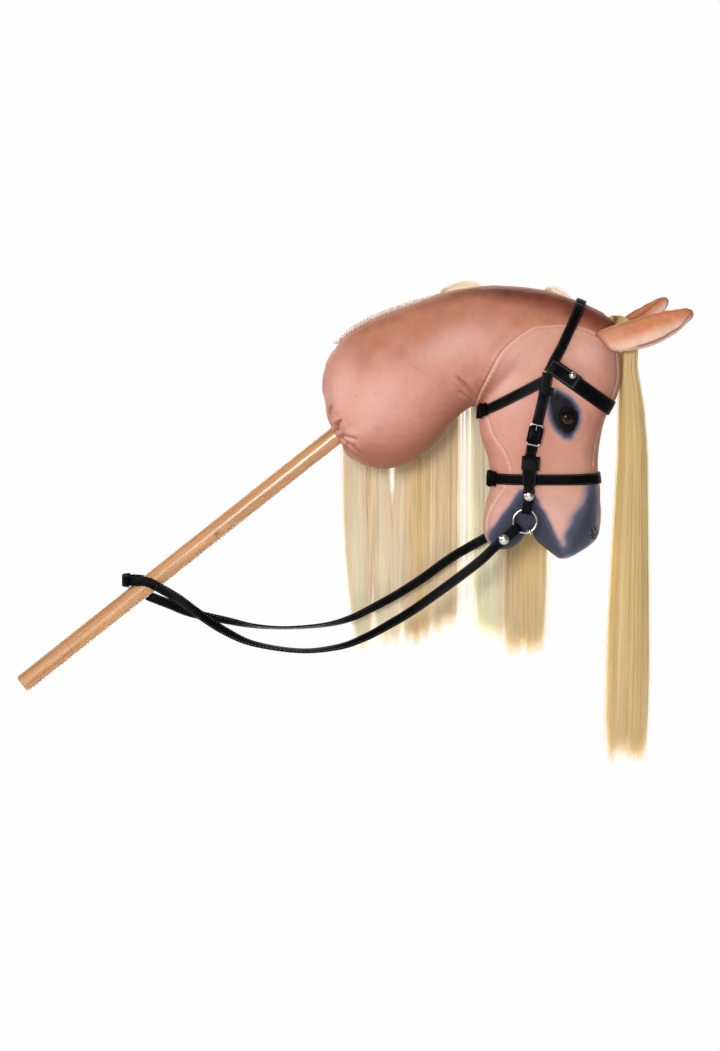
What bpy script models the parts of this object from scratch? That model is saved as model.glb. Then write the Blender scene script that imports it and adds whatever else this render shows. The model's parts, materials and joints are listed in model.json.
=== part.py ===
"""Hobby horse: a stuffed horse's head on a wooden stick, with a leather bridle, reins and a long mane.

Metres, +Z up. The horse faces +X and its near side is -Y. The origin is the middle of the rider's
grip, on the stick's axis, and the horse is held as a rider holds it, with the stick at a slope.
"""

import math

import bmesh
import bpy
import numpy as np
from mathutils import Matrix, Vector
from mathutils.bvhtree import BVHTree

# Clearance between pieces that touch
GAP = 0.0003

# Stick
STICK_DIAMETER = 0.028
STICK_SLOPE_DEG = 38.5
STICK_SIDES = 28
GRIP_TO_NECK = 0.120
GRIP_TO_FOOT = 0.484
BURIED_LENGTH = 0.180
FOOT_SECTION_LENGTH = 0.092
FOOT_EDGE_RADIUS = 0.003
TENON_DIAMETER = 0.012
TENON_LENGTH = 0.050
CROSS_PIN_DIAMETER = 0.006
CROSS_PIN_LENGTH = 0.060
CROSS_PIN_DEPTH = 0.150
TIE_DEPTH = 0.012
TIE_WIDTH = 0.006
TIE_THICKNESS = 0.0015

# Stuffed body: each section is its crest or front, its underside or back (x, z), and half its width
NECK_SECTIONS = (
    ((0.083, 0.087), (0.105, 0.063), 0.017),
    ((0.077, 0.109), (0.109, 0.044), 0.034),
    ((0.072, 0.133), (0.121, 0.035), 0.048),
    ((0.071, 0.157), (0.139, 0.026), 0.059),
    ((0.078, 0.184), (0.166, 0.022), 0.067),
    ((0.091, 0.205), (0.189, 0.026), 0.072),
    ((0.115, 0.229), (0.211, 0.037), 0.075),
    ((0.160, 0.253), (0.234, 0.053), 0.076),
    ((0.211, 0.271), (0.250, 0.070), 0.074),
    ((0.258, 0.287), (0.267, 0.091), 0.070),
    ((0.313, 0.296), (0.285, 0.109), 0.066),
    ((0.360, 0.295), (0.315, 0.127), 0.064),
    ((0.406, 0.289), (0.346, 0.139), 0.062),
    ((0.450, 0.275), (0.391, 0.157), 0.058),
    ((0.484, 0.260), (0.441, 0.175), 0.050),
    ((0.505, 0.247), (0.477, 0.187), 0.038),
    ((0.514, 0.234), (0.497, 0.204), 0.020),
)
HEAD_SECTIONS = (
    ((0.486, 0.250), (0.376, 0.199), 0.036),
    ((0.507, 0.229), (0.339, 0.169), 0.054),
    ((0.518, 0.199), (0.319, 0.139), 0.060),
    ((0.521, 0.169), (0.307, 0.112), 0.063),
    ((0.514, 0.134), (0.307, 0.091), 0.064),
    ((0.498, 0.103), (0.309, 0.073), 0.063),
    ((0.490, 0.073), (0.315, 0.052), 0.061),
    ((0.486, 0.044), (0.322, 0.028), 0.057),
    ((0.486, 0.019), (0.324, 0.010), 0.053),
    ((0.489, -0.004), (0.322, -0.007), 0.050),
    ((0.491, -0.026), (0.346, -0.023), 0.048),
    ((0.492, -0.041), (0.379, -0.035), 0.047),
    ((0.491, -0.056), (0.384, -0.050), 0.046),
    ((0.489, -0.071), (0.385, -0.068), 0.044),
    ((0.482, -0.085), (0.388, -0.085), 0.040),
    ((0.469, -0.098), (0.400, -0.099), 0.032),
    ((0.451, -0.109), (0.417, -0.110), 0.018),
)
JAW_SECTIONS = (
    ((0.372, -0.002), (0.339, 0.007), 0.020),
    ((0.378, -0.016), (0.327, -0.008), 0.031),
    ((0.381, -0.031), (0.318, -0.023), 0.037),
    ((0.382, -0.046), (0.315, -0.040), 0.039),
    ((0.381, -0.059), (0.313, -0.056), 0.039),
    ((0.378, -0.074), (0.315, -0.074), 0.037),
    ((0.370, -0.086), (0.321, -0.088), 0.031),
    ((0.358, -0.095), (0.331, -0.097), 0.020),
)
NECK_RINGS, HEAD_RINGS, JAW_RINGS = 32, 30, 14
BODY_SIDES, JAW_SIDES = 30, 24
NECK_SQUARENESS, HEAD_SQUARENESS, JAW_SQUARENESS = 2.2, 2.5, 2.2

# The seam between the face panel and the neck, seen from the side, from throat to ear and then clear
# of the body all round the head (x, z)
FACE_SEAM = (
    (0.296, 0.108),
    (0.304, 0.130),
    (0.324, 0.173),
    (0.343, 0.205),
    (0.379, 0.233),
    (0.406, 0.239),
    (0.445, 0.239),
    (0.481, 0.227),
    (0.507, 0.212),
    (0.549, 0.202),
    (0.579, -0.173),
    (0.249, -0.173),
    (0.292, 0.060),
)
SEAM_CUTTER_WIDTH = 0.240

# Ears: root, tip (x, y, z) and the turn about their run of the near one and the far one
NEAR_EAR_ROOT, NEAR_EAR_TIP, NEAR_EAR_TURN_DEG = (0.488, -0.036, 0.210), (0.625, -0.050, 0.259), 8.0
FAR_EAR_ROOT, FAR_EAR_TIP, FAR_EAR_TURN_DEG = (0.494, 0.032, 0.211), (0.591, 0.054, 0.276), 52.0
# Along an ear: share of its length, half its height, half its thickness, depth of its fold
EAR_SECTIONS = (
    (0.00, 0.0155, 0.010, 0.008),
    (0.18, 0.0205, 0.010, 0.011),
    (0.35, 0.0230, 0.009, 0.012),
    (0.55, 0.0220, 0.008, 0.011),
    (0.72, 0.0180, 0.007, 0.008),
    (0.88, 0.0120, 0.006, 0.004),
    (1.00, 0.0045, 0.0035, 0.001),
)
EAR_RINGS = 12
EAR_HALF_SIDES = 6

# Eyes
EYE_X, EYE_Z = 0.4388, 0.1025
EYE_DIAMETER = 0.024
EYE_HEIGHT = 0.008
EYE_SUNK = 0.0035
EYE_STEM_DIAMETER = 0.005
EYE_STEM_LENGTH = 0.016
EYE_WASHER_DIAMETER = 0.020
EYE_WASHER_THICKNESS = 0.002
EYE_WASHER_DEPTH = 0.010

# Leather
LEATHER = 0.0022
STRAP_LIFT = 0.0006
STRAP_STEP = 0.008
FINE_STEP = 0.002
HEADPIECE_WIDTH = 0.015
BROWBAND_WIDTH = 0.023
THROATLASH_WIDTH = 0.016
NOSEBAND_WIDTH = 0.0165
CHEEK_WIDTH = 0.016
NOSEBAND_LOOP_WIDTH = 0.021
RUNNER_WIDTH = 0.027
STRAP_RUNNER_LENGTH = 0.014

# Bridle's lines, seen from the side (x, z)
TEMPLE = (0.414, 0.180)
POLL = (0.458, 0.271)
BROW = (0.507, 0.113)
THROAT_FROM, THROAT_TO = (0.404, 0.159), (0.295, 0.101)
JAW_BACK, NOSE_FRONT = (0.322, 0.011), (0.486, 0.0105)
CHEEK_TOP, CHEEK_BEND = (0.408, 0.170), (0.399, 0.124)
BUCKLE_CENTRE = (0.3888, 0.0792)
CHEEK_LOW = (0.382, 0.048)
LOOP_TOP, LOOP_FOOT = (0.3815, 0.028), (0.381, 0.004)
RUNNER_TOP, RUNNER_FOOT = (0.3835, 0.047), (0.3825, 0.028)
BILLET_END = (0.380, -0.0085)
FOLD_END = (0.452, 0.160)
BROW_STUD = (0.444, 0.1665)

# Buckle
BUCKLE_LENGTH = 0.033
BUCKLE_WIDTH = 0.021
BUCKLE_WIRE = 0.0024
BUCKLE_CORNER = 0.003
TONGUE_WIRE = 0.0018
TONGUE_OPENS_DEG = 30.0
SLOT_WIDTH = 0.004
SLOT_FROM, SLOT_TO = -0.0045, 0.0125

# Press studs
SMALL_STUD_DIAMETER = 0.010
LARGE_STUD_DIAMETER = 0.0155
STUD_HEIGHT = 0.0035

# Bit
RING_CENTRE = (0.3745, -0.0510)
RING_DIAMETER = 0.038
RING_WIRE = 0.003
RING_PLAY = 0.0004
CHEEK_LOOP_ANGLE, CHEEK_LOOP_LENGTH = 81.0, 0.047
NEAR_REIN_ANGLE, FAR_REIN_ANGLE = 221.0, 211.0
REIN_LOOP_LENGTH = 0.051
CHEEK_STUD_REACH, REIN_STUD_REACH = 0.0385, 0.0415
BIT_ANGLE = 295.0
BIT_BAR_DIAMETER = 0.005
BIT_EYE_WALL = 0.0014

# Reins (x, y, z), and the turn of the strap's flat side about its run in degrees
REIN_WIDTH = 0.0145
REIN_THICKNESS = 0.0026
NEAR_REIN_ROUTE = (
    (0.307, -0.0545, -0.111, 8),
    (0.268, -0.0550, -0.141, 14),
    (0.211, -0.0545, -0.182, 24),
    (0.172, -0.0530, -0.206, 34),
    (0.135, -0.0510, -0.226, 48),
    (0.096, -0.0490, -0.240, 62),
    (0.039, -0.0450, -0.246, 72),
    (-0.030, -0.0395, -0.236, 66),
    (-0.074, -0.0345, -0.217, 44),
    (-0.113, -0.0290, -0.192, 26),
    (-0.147, -0.0225, -0.168, 12),
)
FAR_REIN_ROUTE = (
    (0.268, 0.0550, -0.114, -10),
    (0.222, 0.0545, -0.147, -16),
    (0.184, 0.0530, -0.171, -24),
    (0.145, 0.0510, -0.192, -34),
    (0.115, 0.0490, -0.206, -44),
    (0.076, 0.0460, -0.216, -62),
    (0.018, 0.0420, -0.220, -72),
    (-0.030, 0.0380, -0.217, -64),
    (-0.069, 0.0340, -0.209, -44),
    (-0.125, 0.0270, -0.196, -24),
    (-0.156, 0.0210, -0.183, -10),
)
NEAR_JOIN_END = (-0.176, -0.152)
FAR_JOIN_END = (-0.183, -0.172)
JOIN_TURN = (-0.2245, -0.144)
JOIN_LEAD = 0.012
REIN_STEP = 0.016
JOIN_KEEPER_WIDTH = 0.0185
JOIN_KEEPER_LIFT = 0.0008
JOIN_KEEPER_REACH_DEG = 62.0
JOIN_KEEPER_STEPS = 8

# Hair
WEFT_WIDTH = 0.008
WEFT_THICKNESS = 0.0025
WEFT_FROM, WEFT_TO = 0.097, 0.494
# Each lock of the mane: its middle along x at the crest and where it hangs, its width, the height of
# its tip and how far it stands up from the crest
MANE_LOCKS = (
    (0.1330, 0.1275, 0.042, -0.246, 0.0015),
    (0.1750, 0.1715, 0.042, -0.240, 0.0015),
    (0.2170, 0.2150, 0.041, -0.237, 0.0020),
    (0.2590, 0.2575, 0.040, -0.222, 0.0060),
    (0.3270, 0.3270, 0.040, -0.231, 0.0070),
    (0.3890, 0.3790, 0.058, -0.256, 0.0030),
)
LOCK_THICKNESS = 0.009
LOCK_TOP_THICKNESS = 0.0025
LOCK_RISE = 0.002
LOCK_BEND = 0.065
LOCK_BEND_RINGS = 9
LOCK_DROP_SHARES = (0.0, 0.3, 0.6, 0.8, 0.87, 0.94, 1.0)
LOCK_SIDES = 8
# Along the forelock: x, z, its size along x and along y
FORELOCK_SECTIONS = (
    (0.5100, 0.2440, 0.016, 0.016),
    (0.5240, 0.2375, 0.018, 0.020),
    (0.5340, 0.2150, 0.019, 0.023),
    (0.5350, 0.1800, 0.022, 0.026),
    (0.5365, 0.1200, 0.032, 0.030),
    (0.5350, 0.0500, 0.040, 0.034),
    (0.5335, -0.0500, 0.048, 0.038),
    (0.5330, -0.1700, 0.054, 0.038),
    (0.5310, -0.3000, 0.058, 0.034),
    (0.5290, -0.3600, 0.044, 0.024),
    (0.5280, -0.4100, 0.014, 0.010),
)
FORELOCK_RINGS = 22
FORELOCK_SIDES = 12

COLOURS = {
    "wood": ((0.69, 0.39, 0.17), 0.35, 0.0),
    "coat": ((0.62, 0.30, 0.23), 0.85, 0.0),
    "ear": ((0.68, 0.34, 0.19), 0.85, 0.0),
    "leather": ((0.008, 0.008, 0.009), 0.45, 0.0),
    "steel": ((0.72, 0.72, 0.70), 0.18, 1.0),
    "hair": ((0.80, 0.67, 0.36), 0.45, 0.0),
    "eye": ((0.03, 0.012, 0.006), 0.06, 0.0),
    "washer": ((0.75, 0.75, 0.72), 0.5, 0.0),
    "cord": ((0.65, 0.60, 0.52), 0.9, 0.0),
}

SLOPE = math.radians(STICK_SLOPE_DEG)
STICK_AXIS = Vector((math.cos(SLOPE), 0.0, math.sin(SLOPE)))
ACROSS = Vector((0.0, 1.0, 0.0))
STICK_RADIUS = STICK_DIAMETER / 2
SIDES = {"near": -1.0, "far": 1.0}


def clear_scene():
    for obj in list(bpy.data.objects):
        bpy.data.objects.remove(obj, do_unlink=True)


def material(name):
    """The named finish, made once."""
    found = bpy.data.materials.get(name)
    if found:
        return found
    colour, roughness, metallic = COLOURS[name]
    made = bpy.data.materials.new(name)
    made.use_nodes = True
    shader = made.node_tree.nodes["Principled BSDF"]
    shader.inputs["Base Color"].default_value = (*colour, 1.0)
    shader.inputs["Roughness"].default_value = roughness
    shader.inputs["Metallic"].default_value = metallic
    made.diffuse_color = (*colour, 1.0)
    return made


def mesh_object(name, points, faces, finish, smooth_angle=40.0):
    """A closed body from points and faces, with its faces turned outward."""
    mesh = bpy.data.meshes.new(name)
    mesh.from_pydata([tuple(p) for p in points], [], faces)
    work = bmesh.new()
    work.from_mesh(mesh)
    bmesh.ops.recalc_face_normals(work, faces=work.faces)
    work.to_mesh(mesh)
    work.free()
    mesh.shade_smooth()
    mesh.set_sharp_from_angle(angle=math.radians(smooth_angle))
    mesh.materials.append(material(finish))
    obj = bpy.data.objects.new(name, mesh)
    bpy.context.scene.collection.objects.link(obj)
    return obj


def evaluated_mesh(obj):
    depsgraph = bpy.context.evaluated_depsgraph_get()
    return bpy.data.meshes.new_from_object(obj.evaluated_get(depsgraph))


def boolean(obj, operation, cutter, keep_cutter=False):
    """Join, cut or intersect an object with another, and settle the result into its mesh."""
    modifier = obj.modifiers.new(operation.title(), "BOOLEAN")
    modifier.operation = operation
    modifier.solver = "EXACT"
    modifier.object = cutter
    mesh = evaluated_mesh(obj)
    obj.modifiers.clear()
    obj.data = mesh
    if not keep_cutter:
        bpy.data.objects.remove(cutter, do_unlink=True)
    return obj


def copy_of(obj, name):
    copy = obj.copy()
    copy.data = obj.data.copy()
    copy.name = name
    bpy.context.scene.collection.objects.link(copy)
    return copy


def grown(obj, amount):
    """A copy for cutting a neighbour: the same body, larger by a clearance all round."""
    copy = copy_of(obj, obj.name + "_clearance")
    work = bmesh.new()
    work.from_mesh(copy.data)
    bmesh.ops.recalc_face_normals(work, faces=work.faces)
    work.normal_update()
    moves = [v.normal * amount * v.calc_shell_factor() for v in work.verts]
    for vertex, move in zip(work.verts, moves):
        vertex.co += move if move.length < 3 * amount else move.normalized() * 3 * amount
    work.to_mesh(copy.data)
    work.free()
    return copy


def smooth_through(rows, count):
    """Rows of numbers on a smooth curve through the given rows."""
    rows = np.array(rows, float)
    ends = np.vstack([2 * rows[0] - rows[1], rows, 2 * rows[-1] - rows[-2]])
    found = []
    for t in np.linspace(0, len(rows) - 1, count):
        i = min(int(t), len(rows) - 2)
        f = t - i
        a, b, c, d = ends[i : i + 4]
        found.append(
            0.5 * (2 * b + (c - a) * f + (2 * a - 5 * b + 4 * c - d) * f**2 + (3 * b - a - 3 * c + d) * f**3)
        )
    return found


def rounded(value, squareness):
    return math.copysign(abs(value) ** (2 / squareness), value)


def bridge(rings, close_ends=True):
    """Points and faces of a body through rings of equal count, with a fan over each end."""
    sides = len(rings[0])
    points = [Vector(p) for ring in rings for p in ring]
    faces = []
    for r in range(len(rings) - 1):
        for k in range(sides):
            a, b = r * sides + k, r * sides + (k + 1) % sides
            faces.append((a, b, b + sides, a + sides))
    if close_ends:
        for first in (0, (len(rings) - 1) * sides):
            ring = points[first : first + sides]
            points.append(sum(ring, Vector()) / sides)
            tip = len(points) - 1
            faces.extend((first + k, first + (k + 1) % sides, tip) for k in range(sides))
    return points, faces


def stuffed(name, sections, rings, sides, squareness, finish):
    """A stuffed form through sections that each span the body's middle plane."""
    rows = [(*high, *low, half_width) for high, low, half_width in sections]
    loops = []
    for hx, hz, lx, lz, half_width in smooth_through(rows, rings):
        middle, reach = Vector(((hx + lx) / 2, 0, (hz + lz) / 2)), Vector(((hx - lx) / 2, 0, (hz - lz) / 2))
        loops.append(
            [
                middle
                + reach * rounded(math.cos(2 * math.pi * k / sides), squareness)
                + ACROSS * half_width * rounded(math.sin(2 * math.pi * k / sides), squareness)
                for k in range(sides)
            ]
        )
    return mesh_object(name, *bridge(loops), finish)


def turned(name, origin, axis, profile, sides, finish):
    """A solid turned about an axis. The profile is (radius, distance along the axis) pairs, and where
    it doesn't begin and end on the axis it is closed into a ring."""
    axis = Vector(axis).normalized()
    u = axis.orthogonal().normalized()
    v = axis.cross(u)
    closed = profile[0][0] > 0
    points, rings = [], []
    for radius, along in profile:
        centre = Vector(origin) + axis * along
        if radius <= 0:
            rings.append([len(points)])
            points.append(centre)
            continue
        rings.append(list(range(len(points), len(points) + sides)))
        for k in range(sides):
            a = 2 * math.pi * k / sides
            points.append(centre + (u * math.cos(a) + v * math.sin(a)) * radius)
    pairs = list(zip(rings, rings[1:])) + ([(rings[-1], rings[0])] if closed else [])
    faces = []
    for low, high in pairs:
        for k in range(sides):
            corner = [low[k % len(low)], low[(k + 1) % len(low)], high[(k + 1) % len(high)], high[k % len(high)]]
            faces.append(tuple(dict.fromkeys(corner)))
    return mesh_object(name, points, faces, finish)


def rod(name, start, end, radius, sides, finish, edge=0.0):
    """A plain round bar, with its edges rounded off by the given radius."""
    start, end = Vector(start), Vector(end)
    length = (end - start).length
    profile = [(0, 0), (radius - edge, 0), (radius, edge), (radius, length - edge), (radius - edge, length), (0, length)]
    if edge <= 0:
        profile = [(0, 0), (radius, 0), (radius, length), (0, length)]
    return turned(name, start, end - start, profile, sides, finish)


def tube(name, path, radius, sides, finish, closed=False):
    """A wire of round section along a path of points."""
    count = len(path)
    loops = []
    last_u = None
    for i, point in enumerate(path):
        before = path[i - 1] if closed or i else path[0]
        after = path[(i + 1) % count] if closed or i < count - 1 else path[-1]
        run = (Vector(after) - Vector(before)).normalized()
        guess = last_u if last_u is not None else run.orthogonal()
        u = (guess - run * guess.dot(run)).normalized()
        last_u = u
        v = run.cross(u)
        turn = [2 * math.pi * k / sides for k in range(sides)]
        loops.append([Vector(point) + (u * math.cos(a) + v * math.sin(a)) * radius for a in turn])
    points, faces = bridge(loops, close_ends=not closed)
    if closed:
        last = (count - 1) * sides
        for k in range(sides):
            faces.append((last + k, last + (k + 1) % sides, (k + 1) % sides, k))
    return mesh_object(name, points, faces, finish)


def box_between(name, origin, axes, low, high, finish):
    """A box given by its corners in a frame of three axes."""
    points = []
    for corner in range(8):
        at = [high[i] if corner >> i & 1 else low[i] for i in range(3)]
        points.append(Vector(origin) + sum((axes[i] * at[i] for i in range(3)), Vector()))
    faces = [(0, 1, 3, 2), (4, 6, 7, 5), (0, 4, 5, 1), (2, 3, 7, 6), (0, 2, 6, 4), (1, 5, 7, 3)]
    return mesh_object(name, points, faces, finish)


class Laid:
    """The surface that the next piece comes to lie on: the bodies added so far."""

    def __init__(self, objects=()):
        self.points, self.faces, self.tree = [], [], None
        for obj in objects:
            self.add(obj)

    def add(self, obj):
        first = len(self.points)
        self.points.extend(obj.matrix_world @ v.co for v in obj.data.vertices)
        self.faces.extend(tuple(first + i for i in p.vertices) for p in obj.data.polygons)
        self.tree = BVHTree.FromPolygons(self.points, self.faces)
        return obj

    def hit(self, origin, direction):
        point, normal, _, _ = self.tree.ray_cast(origin, direction)
        return point, normal


def evenly(points, step, closed=False):
    """Points at even steps along a path."""
    path = [Vector(p) for p in points]
    if closed:
        path.append(path[0].copy())
    along = [0.0]
    for a, b in zip(path, path[1:]):
        along.append(along[-1] + (b - a).length)
    count = max(2, round(along[-1] / step))
    found, i = [], 0
    for k in range(count if closed else count + 1):
        target = along[-1] * k / count
        while i < len(along) - 2 and along[i + 1] < target:
            i += 1
        span = along[i + 1] - along[i]
        found.append(path[i].lerp(path[i + 1], (target - along[i]) / span if span else 0.0))
    return found


def averaged(vectors, reach, closed):
    """Each direction averaged with its neighbours."""
    count, found = len(vectors), []
    for i in range(count):
        window = range(i - reach, i + reach + 1)
        picked = [vectors[j % count] for j in window] if closed else [vectors[min(max(j, 0), count - 1)] for j in window]
        found.append(sum(picked, Vector()).normalized())
    return found


def lay_frames(skin, laid, rays, width, closed=False):
    """Where a strap's inner face runs: (point, outward direction, sideways direction) at each step.

    The rays find the skin. The strap then rises over whatever was laid there before it.
    """
    base = [hit for hit, _ in (skin.hit(o, d) for o, d in rays) if hit is not None]
    fine = evenly(base, FINE_STEP, closed)
    outward = []
    centre = sum(fine, Vector()) / len(fine)
    for p in fine:
        _, normal, _, _ = skin.tree.find_nearest(p)
        outward.append(normal)
    outward = averaged(outward, 5, closed)
    count, every = len(fine), round(STRAP_STEP / FINE_STEP)
    sideways, heights = [], []
    for i, point in enumerate(fine):
        before = fine[i - 2] if closed else fine[max(i - 2, 0)]
        after = fine[(i + 2) % count] if closed else fine[min(i + 2, count - 1)]
        run = (after - before).normalized()
        outward[i] = (outward[i] - run * outward[i].dot(run)).normalized()
        sideways.append(run.cross(outward[i]))
        tops = [0.0]
        for share in (-0.5, -0.25, 0.0, 0.25, 0.5):
            start = point + sideways[i] * width * share + outward[i] * 0.03
            top, _ = laid.hit(start, -outward[i])
            if top is not None and (top - start).length < 0.045:
                tops.append((top - point).dot(outward[i]))
        heights.append(max(tops))
    picks = list(range(0, count, every))
    if not closed and picks[-1] != count - 1:
        if count - 1 - picks[-1] < every / 2:
            picks.pop()
        picks.append(count - 1)
    frames = []
    for i in picks:
        window = range(i - every, i + every + 1)
        near = [heights[j % count] for j in window] if closed else [heights[min(max(j, 0), count - 1)] for j in window]
        frames.append((fine[i] + outward[i] * (max(near) + STRAP_LIFT), outward[i], sideways[i]))
    return frames


def ribbon(name, frames, width, thickness, finish="leather", closed=False):
    """A flat strap through frames on its inner face."""
    loops = []
    for point, outward, sideways in frames:
        edge = sideways * width / 2
        top = outward * thickness
        loops.append([point - edge, point + edge, point + edge + top, point - edge + top])
    points, faces = bridge(loops, close_ends=False)
    last = (len(loops) - 1) * 4
    if closed:
        faces.extend((last + k, last + (k + 1) % 4, (k + 1) % 4, k) for k in range(4))
    else:
        faces.extend([(3, 2, 1, 0), (last, last + 1, last + 2, last + 3)])
    return mesh_object(name, points, faces, finish)


def in_plane(point):
    return Vector((point[0], 0.0, point[1]))


def round_rays(middle, towards, start_deg, end_deg, count=120):
    """Rays that walk round the head in the upright plane through two points of the middle plane.
    Angle 0 looks along the plane to its second point, 90 degrees to the near side."""
    origin = in_plane(middle)
    ahead = (in_plane(towards) - origin).normalized()
    rays = []
    for k in range(count + 1):
        a = math.radians(start_deg + (end_deg - start_deg) * k / count)
        out = ahead * math.cos(a) - ACROSS * math.sin(a)
        rays.append((origin + out * 0.3, -out))
    return rays


def side_rays(points, side, count=60):
    """Rays from one side along a line drawn on the middle plane."""
    return [(Vector((x, side * 0.3, z)), Vector((0, -side, 0))) for x, z in smooth_through(points, count)]


def seat(skin, laid, point, side, radius):
    """Where a small piece comes to rest on one side: the spot on its top plane and the way out."""
    start = Vector((point[0], side * 0.3, point[1]))
    inward = Vector((0, -side, 0))
    spot, _ = skin.hit(start, inward)
    normals = []
    for k in range(8):
        a = math.pi * k / 4
        around = start + Vector((math.cos(a), 0, math.sin(a))) * radius
        hit, normal = skin.hit(around, inward)
        if hit is not None:
            normals.append(normal)
    out = sum(normals, Vector()).normalized()
    u = out.orthogonal().normalized()
    v = out.cross(u)
    height = 0.0
    for k in range(12):
        a = math.pi * k / 6
        for share in (0.0, 0.5, 1.0):
            above = spot + (u * math.cos(a) + v * math.sin(a)) * radius * share + out * 0.03
            top, _ = laid.hit(above, -out)
            if top is not None and (top - above).length < 0.045:
                height = max(height, (top - spot).dot(out))
    return spot + out * height, out


def stick_point(along):
    return STICK_AXIS * along


def build_stick():
    """The shaft, its foot section, the tenon between them and the cross pin in the buried end."""
    joint = -GRIP_TO_FOOT + FOOT_SECTION_LENGTH
    buried_end = GRIP_TO_NECK + BURIED_LENGTH
    half = TENON_LENGTH / 2
    bore = TENON_DIAMETER / 2 + GAP

    def bored(name, far_end, way, edge):
        start, length = joint + way * GAP / 2, abs(far_end - joint) - GAP / 2
        profile = [(0, half + GAP), (bore, half + GAP), (bore, 0), (STICK_RADIUS, 0)]
        profile += [(STICK_RADIUS, length - edge)]
        for k in (1, 2, 3):
            a = math.pi / 2 * k / 3
            profile.append((STICK_RADIUS - edge * (1 - math.cos(a)), length - edge * (1 - math.sin(a))))
        profile.append((0, length))
        return turned(name, stick_point(start), STICK_AXIS * way, profile, STICK_SIDES, "wood")

    shaft = bored("stick_shaft", buried_end, 1, 0.001)
    bored("stick_foot_section", -GRIP_TO_FOOT, -1, FOOT_EDGE_RADIUS)
    rod("stick_tenon", stick_point(joint - half), stick_point(joint + half), TENON_DIAMETER / 2, 16, "wood", 0.001)
    pin_at = stick_point(GRIP_TO_NECK + CROSS_PIN_DEPTH)
    reach = ACROSS * CROSS_PIN_LENGTH / 2
    hole = rod("hole", pin_at - reach, pin_at + reach, CROSS_PIN_DIAMETER / 2 + GAP, 12, "wood")
    boolean(shaft, "DIFFERENCE", hole)
    pin = rod("stick_cross_pin", pin_at - reach, pin_at + reach, CROSS_PIN_DIAMETER / 2, 12, "wood", 0.0008)
    tie_from = GRIP_TO_NECK + TIE_DEPTH
    inner, outer = STICK_RADIUS + GAP, STICK_RADIUS + GAP + TIE_THICKNESS
    band = [(inner, 0), (outer, 0), (outer, TIE_WIDTH), (inner, TIE_WIDTH)]
    turned("neck_tie", stick_point(tie_from), STICK_AXIS, band, STICK_SIDES, "cord")
    return pin


def stick_room():
    """What the neck leaves free for the stick's buried end and the tie round it."""
    inner = STICK_RADIUS + GAP
    outer = inner + TIE_THICKNESS + GAP
    tie_from = GRIP_TO_NECK + TIE_DEPTH
    profile = [(0, GRIP_TO_NECK - 0.05), (inner, GRIP_TO_NECK - 0.05), (inner, tie_from - GAP), (outer, tie_from - GAP)]
    profile += [(outer, tie_from + TIE_WIDTH + GAP), (inner, tie_from + TIE_WIDTH + GAP)]
    end = GRIP_TO_NECK + BURIED_LENGTH + GAP
    profile += [(inner, end), (0, end)]
    return turned("stick_room", stick_point(0), STICK_AXIS, profile, STICK_SIDES, "coat")


def prism(name, outline, grow):
    """An upright slab of the given outline in the middle plane, grown by a clearance."""
    count = len(outline)
    corners = [Vector(p) for p in outline]
    area = sum(corners[i].cross(corners[(i + 1) % count]) for i in range(count))
    turn = 1.0 if area > 0 else -1.0
    ring = []
    for i in range(count):
        before = (corners[i] - corners[i - 1]).normalized()
        after = (corners[(i + 1) % count] - corners[i]).normalized()
        out = Vector((before.y + after.y, -before.x - after.x)).normalized() * turn
        share = max(0.5, out.dot(Vector((before.y, -before.x)) * turn))
        ring.append(corners[i] + out * grow / share)
    half = SEAM_CUTTER_WIDTH / 2
    points = [Vector((p.x, y, p.y)) for y in (-half, half) for p in ring]
    faces = [tuple(range(count)), tuple(range(2 * count - 1, count - 1, -1))]
    faces += [(k, (k + 1) % count, count + (k + 1) % count, count + k) for k in range(count)]
    return mesh_object(name, points, faces, "coat")


def seam_outline():
    """The face seam's own stretch drawn smooth, then its corners clear of the body."""
    curved = smooth_through(FACE_SEAM[:9], 24)
    return [tuple(p) for p in curved] + list(FACE_SEAM[9:])


def build_stuffing():
    """Neck, head and jaw: two lofts joined, parted again along the face seam, and the jaw's lobe."""
    whole = stuffed("whole", NECK_SECTIONS, NECK_RINGS, BODY_SIDES, NECK_SQUARENESS, "coat")
    head_form = stuffed("head_form", HEAD_SECTIONS, HEAD_RINGS, BODY_SIDES, HEAD_SQUARENESS, "coat")
    boolean(whole, "UNION", head_form)
    head = copy_of(whole, "head_body")
    neck = copy_of(whole, "neck_body")
    outline = seam_outline()
    boolean(head, "INTERSECT", prism("face", outline, 0.0))
    boolean(neck, "DIFFERENCE", prism("face", outline, GAP))
    jaw = stuffed("lower_jaw", JAW_SECTIONS, JAW_RINGS, JAW_SIDES, JAW_SQUARENESS, "coat")
    boolean(jaw, "DIFFERENCE", grown(head, GAP))
    return whole, neck, head, jaw


def build_ear(name, root, tip, turn_deg, side, whole):
    """A folded leaf of cloth: each section is a crescent, hollow on its inner side."""
    root, tip = Vector(root), Vector(tip)
    along = (tip - root).normalized()
    up = (Vector((0, 0, 1)) - along * along.z).normalized()
    up.rotate(Matrix.Rotation(math.radians(-side * turn_deg), 3, along))
    out = along.cross(up) * (1 if along.cross(up).y * side > 0 else -1)
    loops = []
    for share, half_height, half_thick, fold in smooth_through(EAR_SECTIONS, EAR_RINGS):
        middle = root.lerp(tip, share)
        shares = [-math.cos(math.pi * k / EAR_HALF_SIDES) for k in range(EAR_HALF_SIDES + 1)]
        outer, inner = [], []
        for s in shares:
            bulge = fold * (1 - s * s)
            wall = half_thick * math.sqrt(max(0.0, 1 - s * s))
            outer.append(middle + up * half_height * s + out * (bulge + wall))
            inner.append(middle + up * half_height * s + out * (bulge - wall))
        loops.append(outer + inner[-2:0:-1])
    ear = mesh_object(name, *bridge(loops), "ear")
    return boolean(ear, "DIFFERENCE", grown(whole, GAP))


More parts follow.
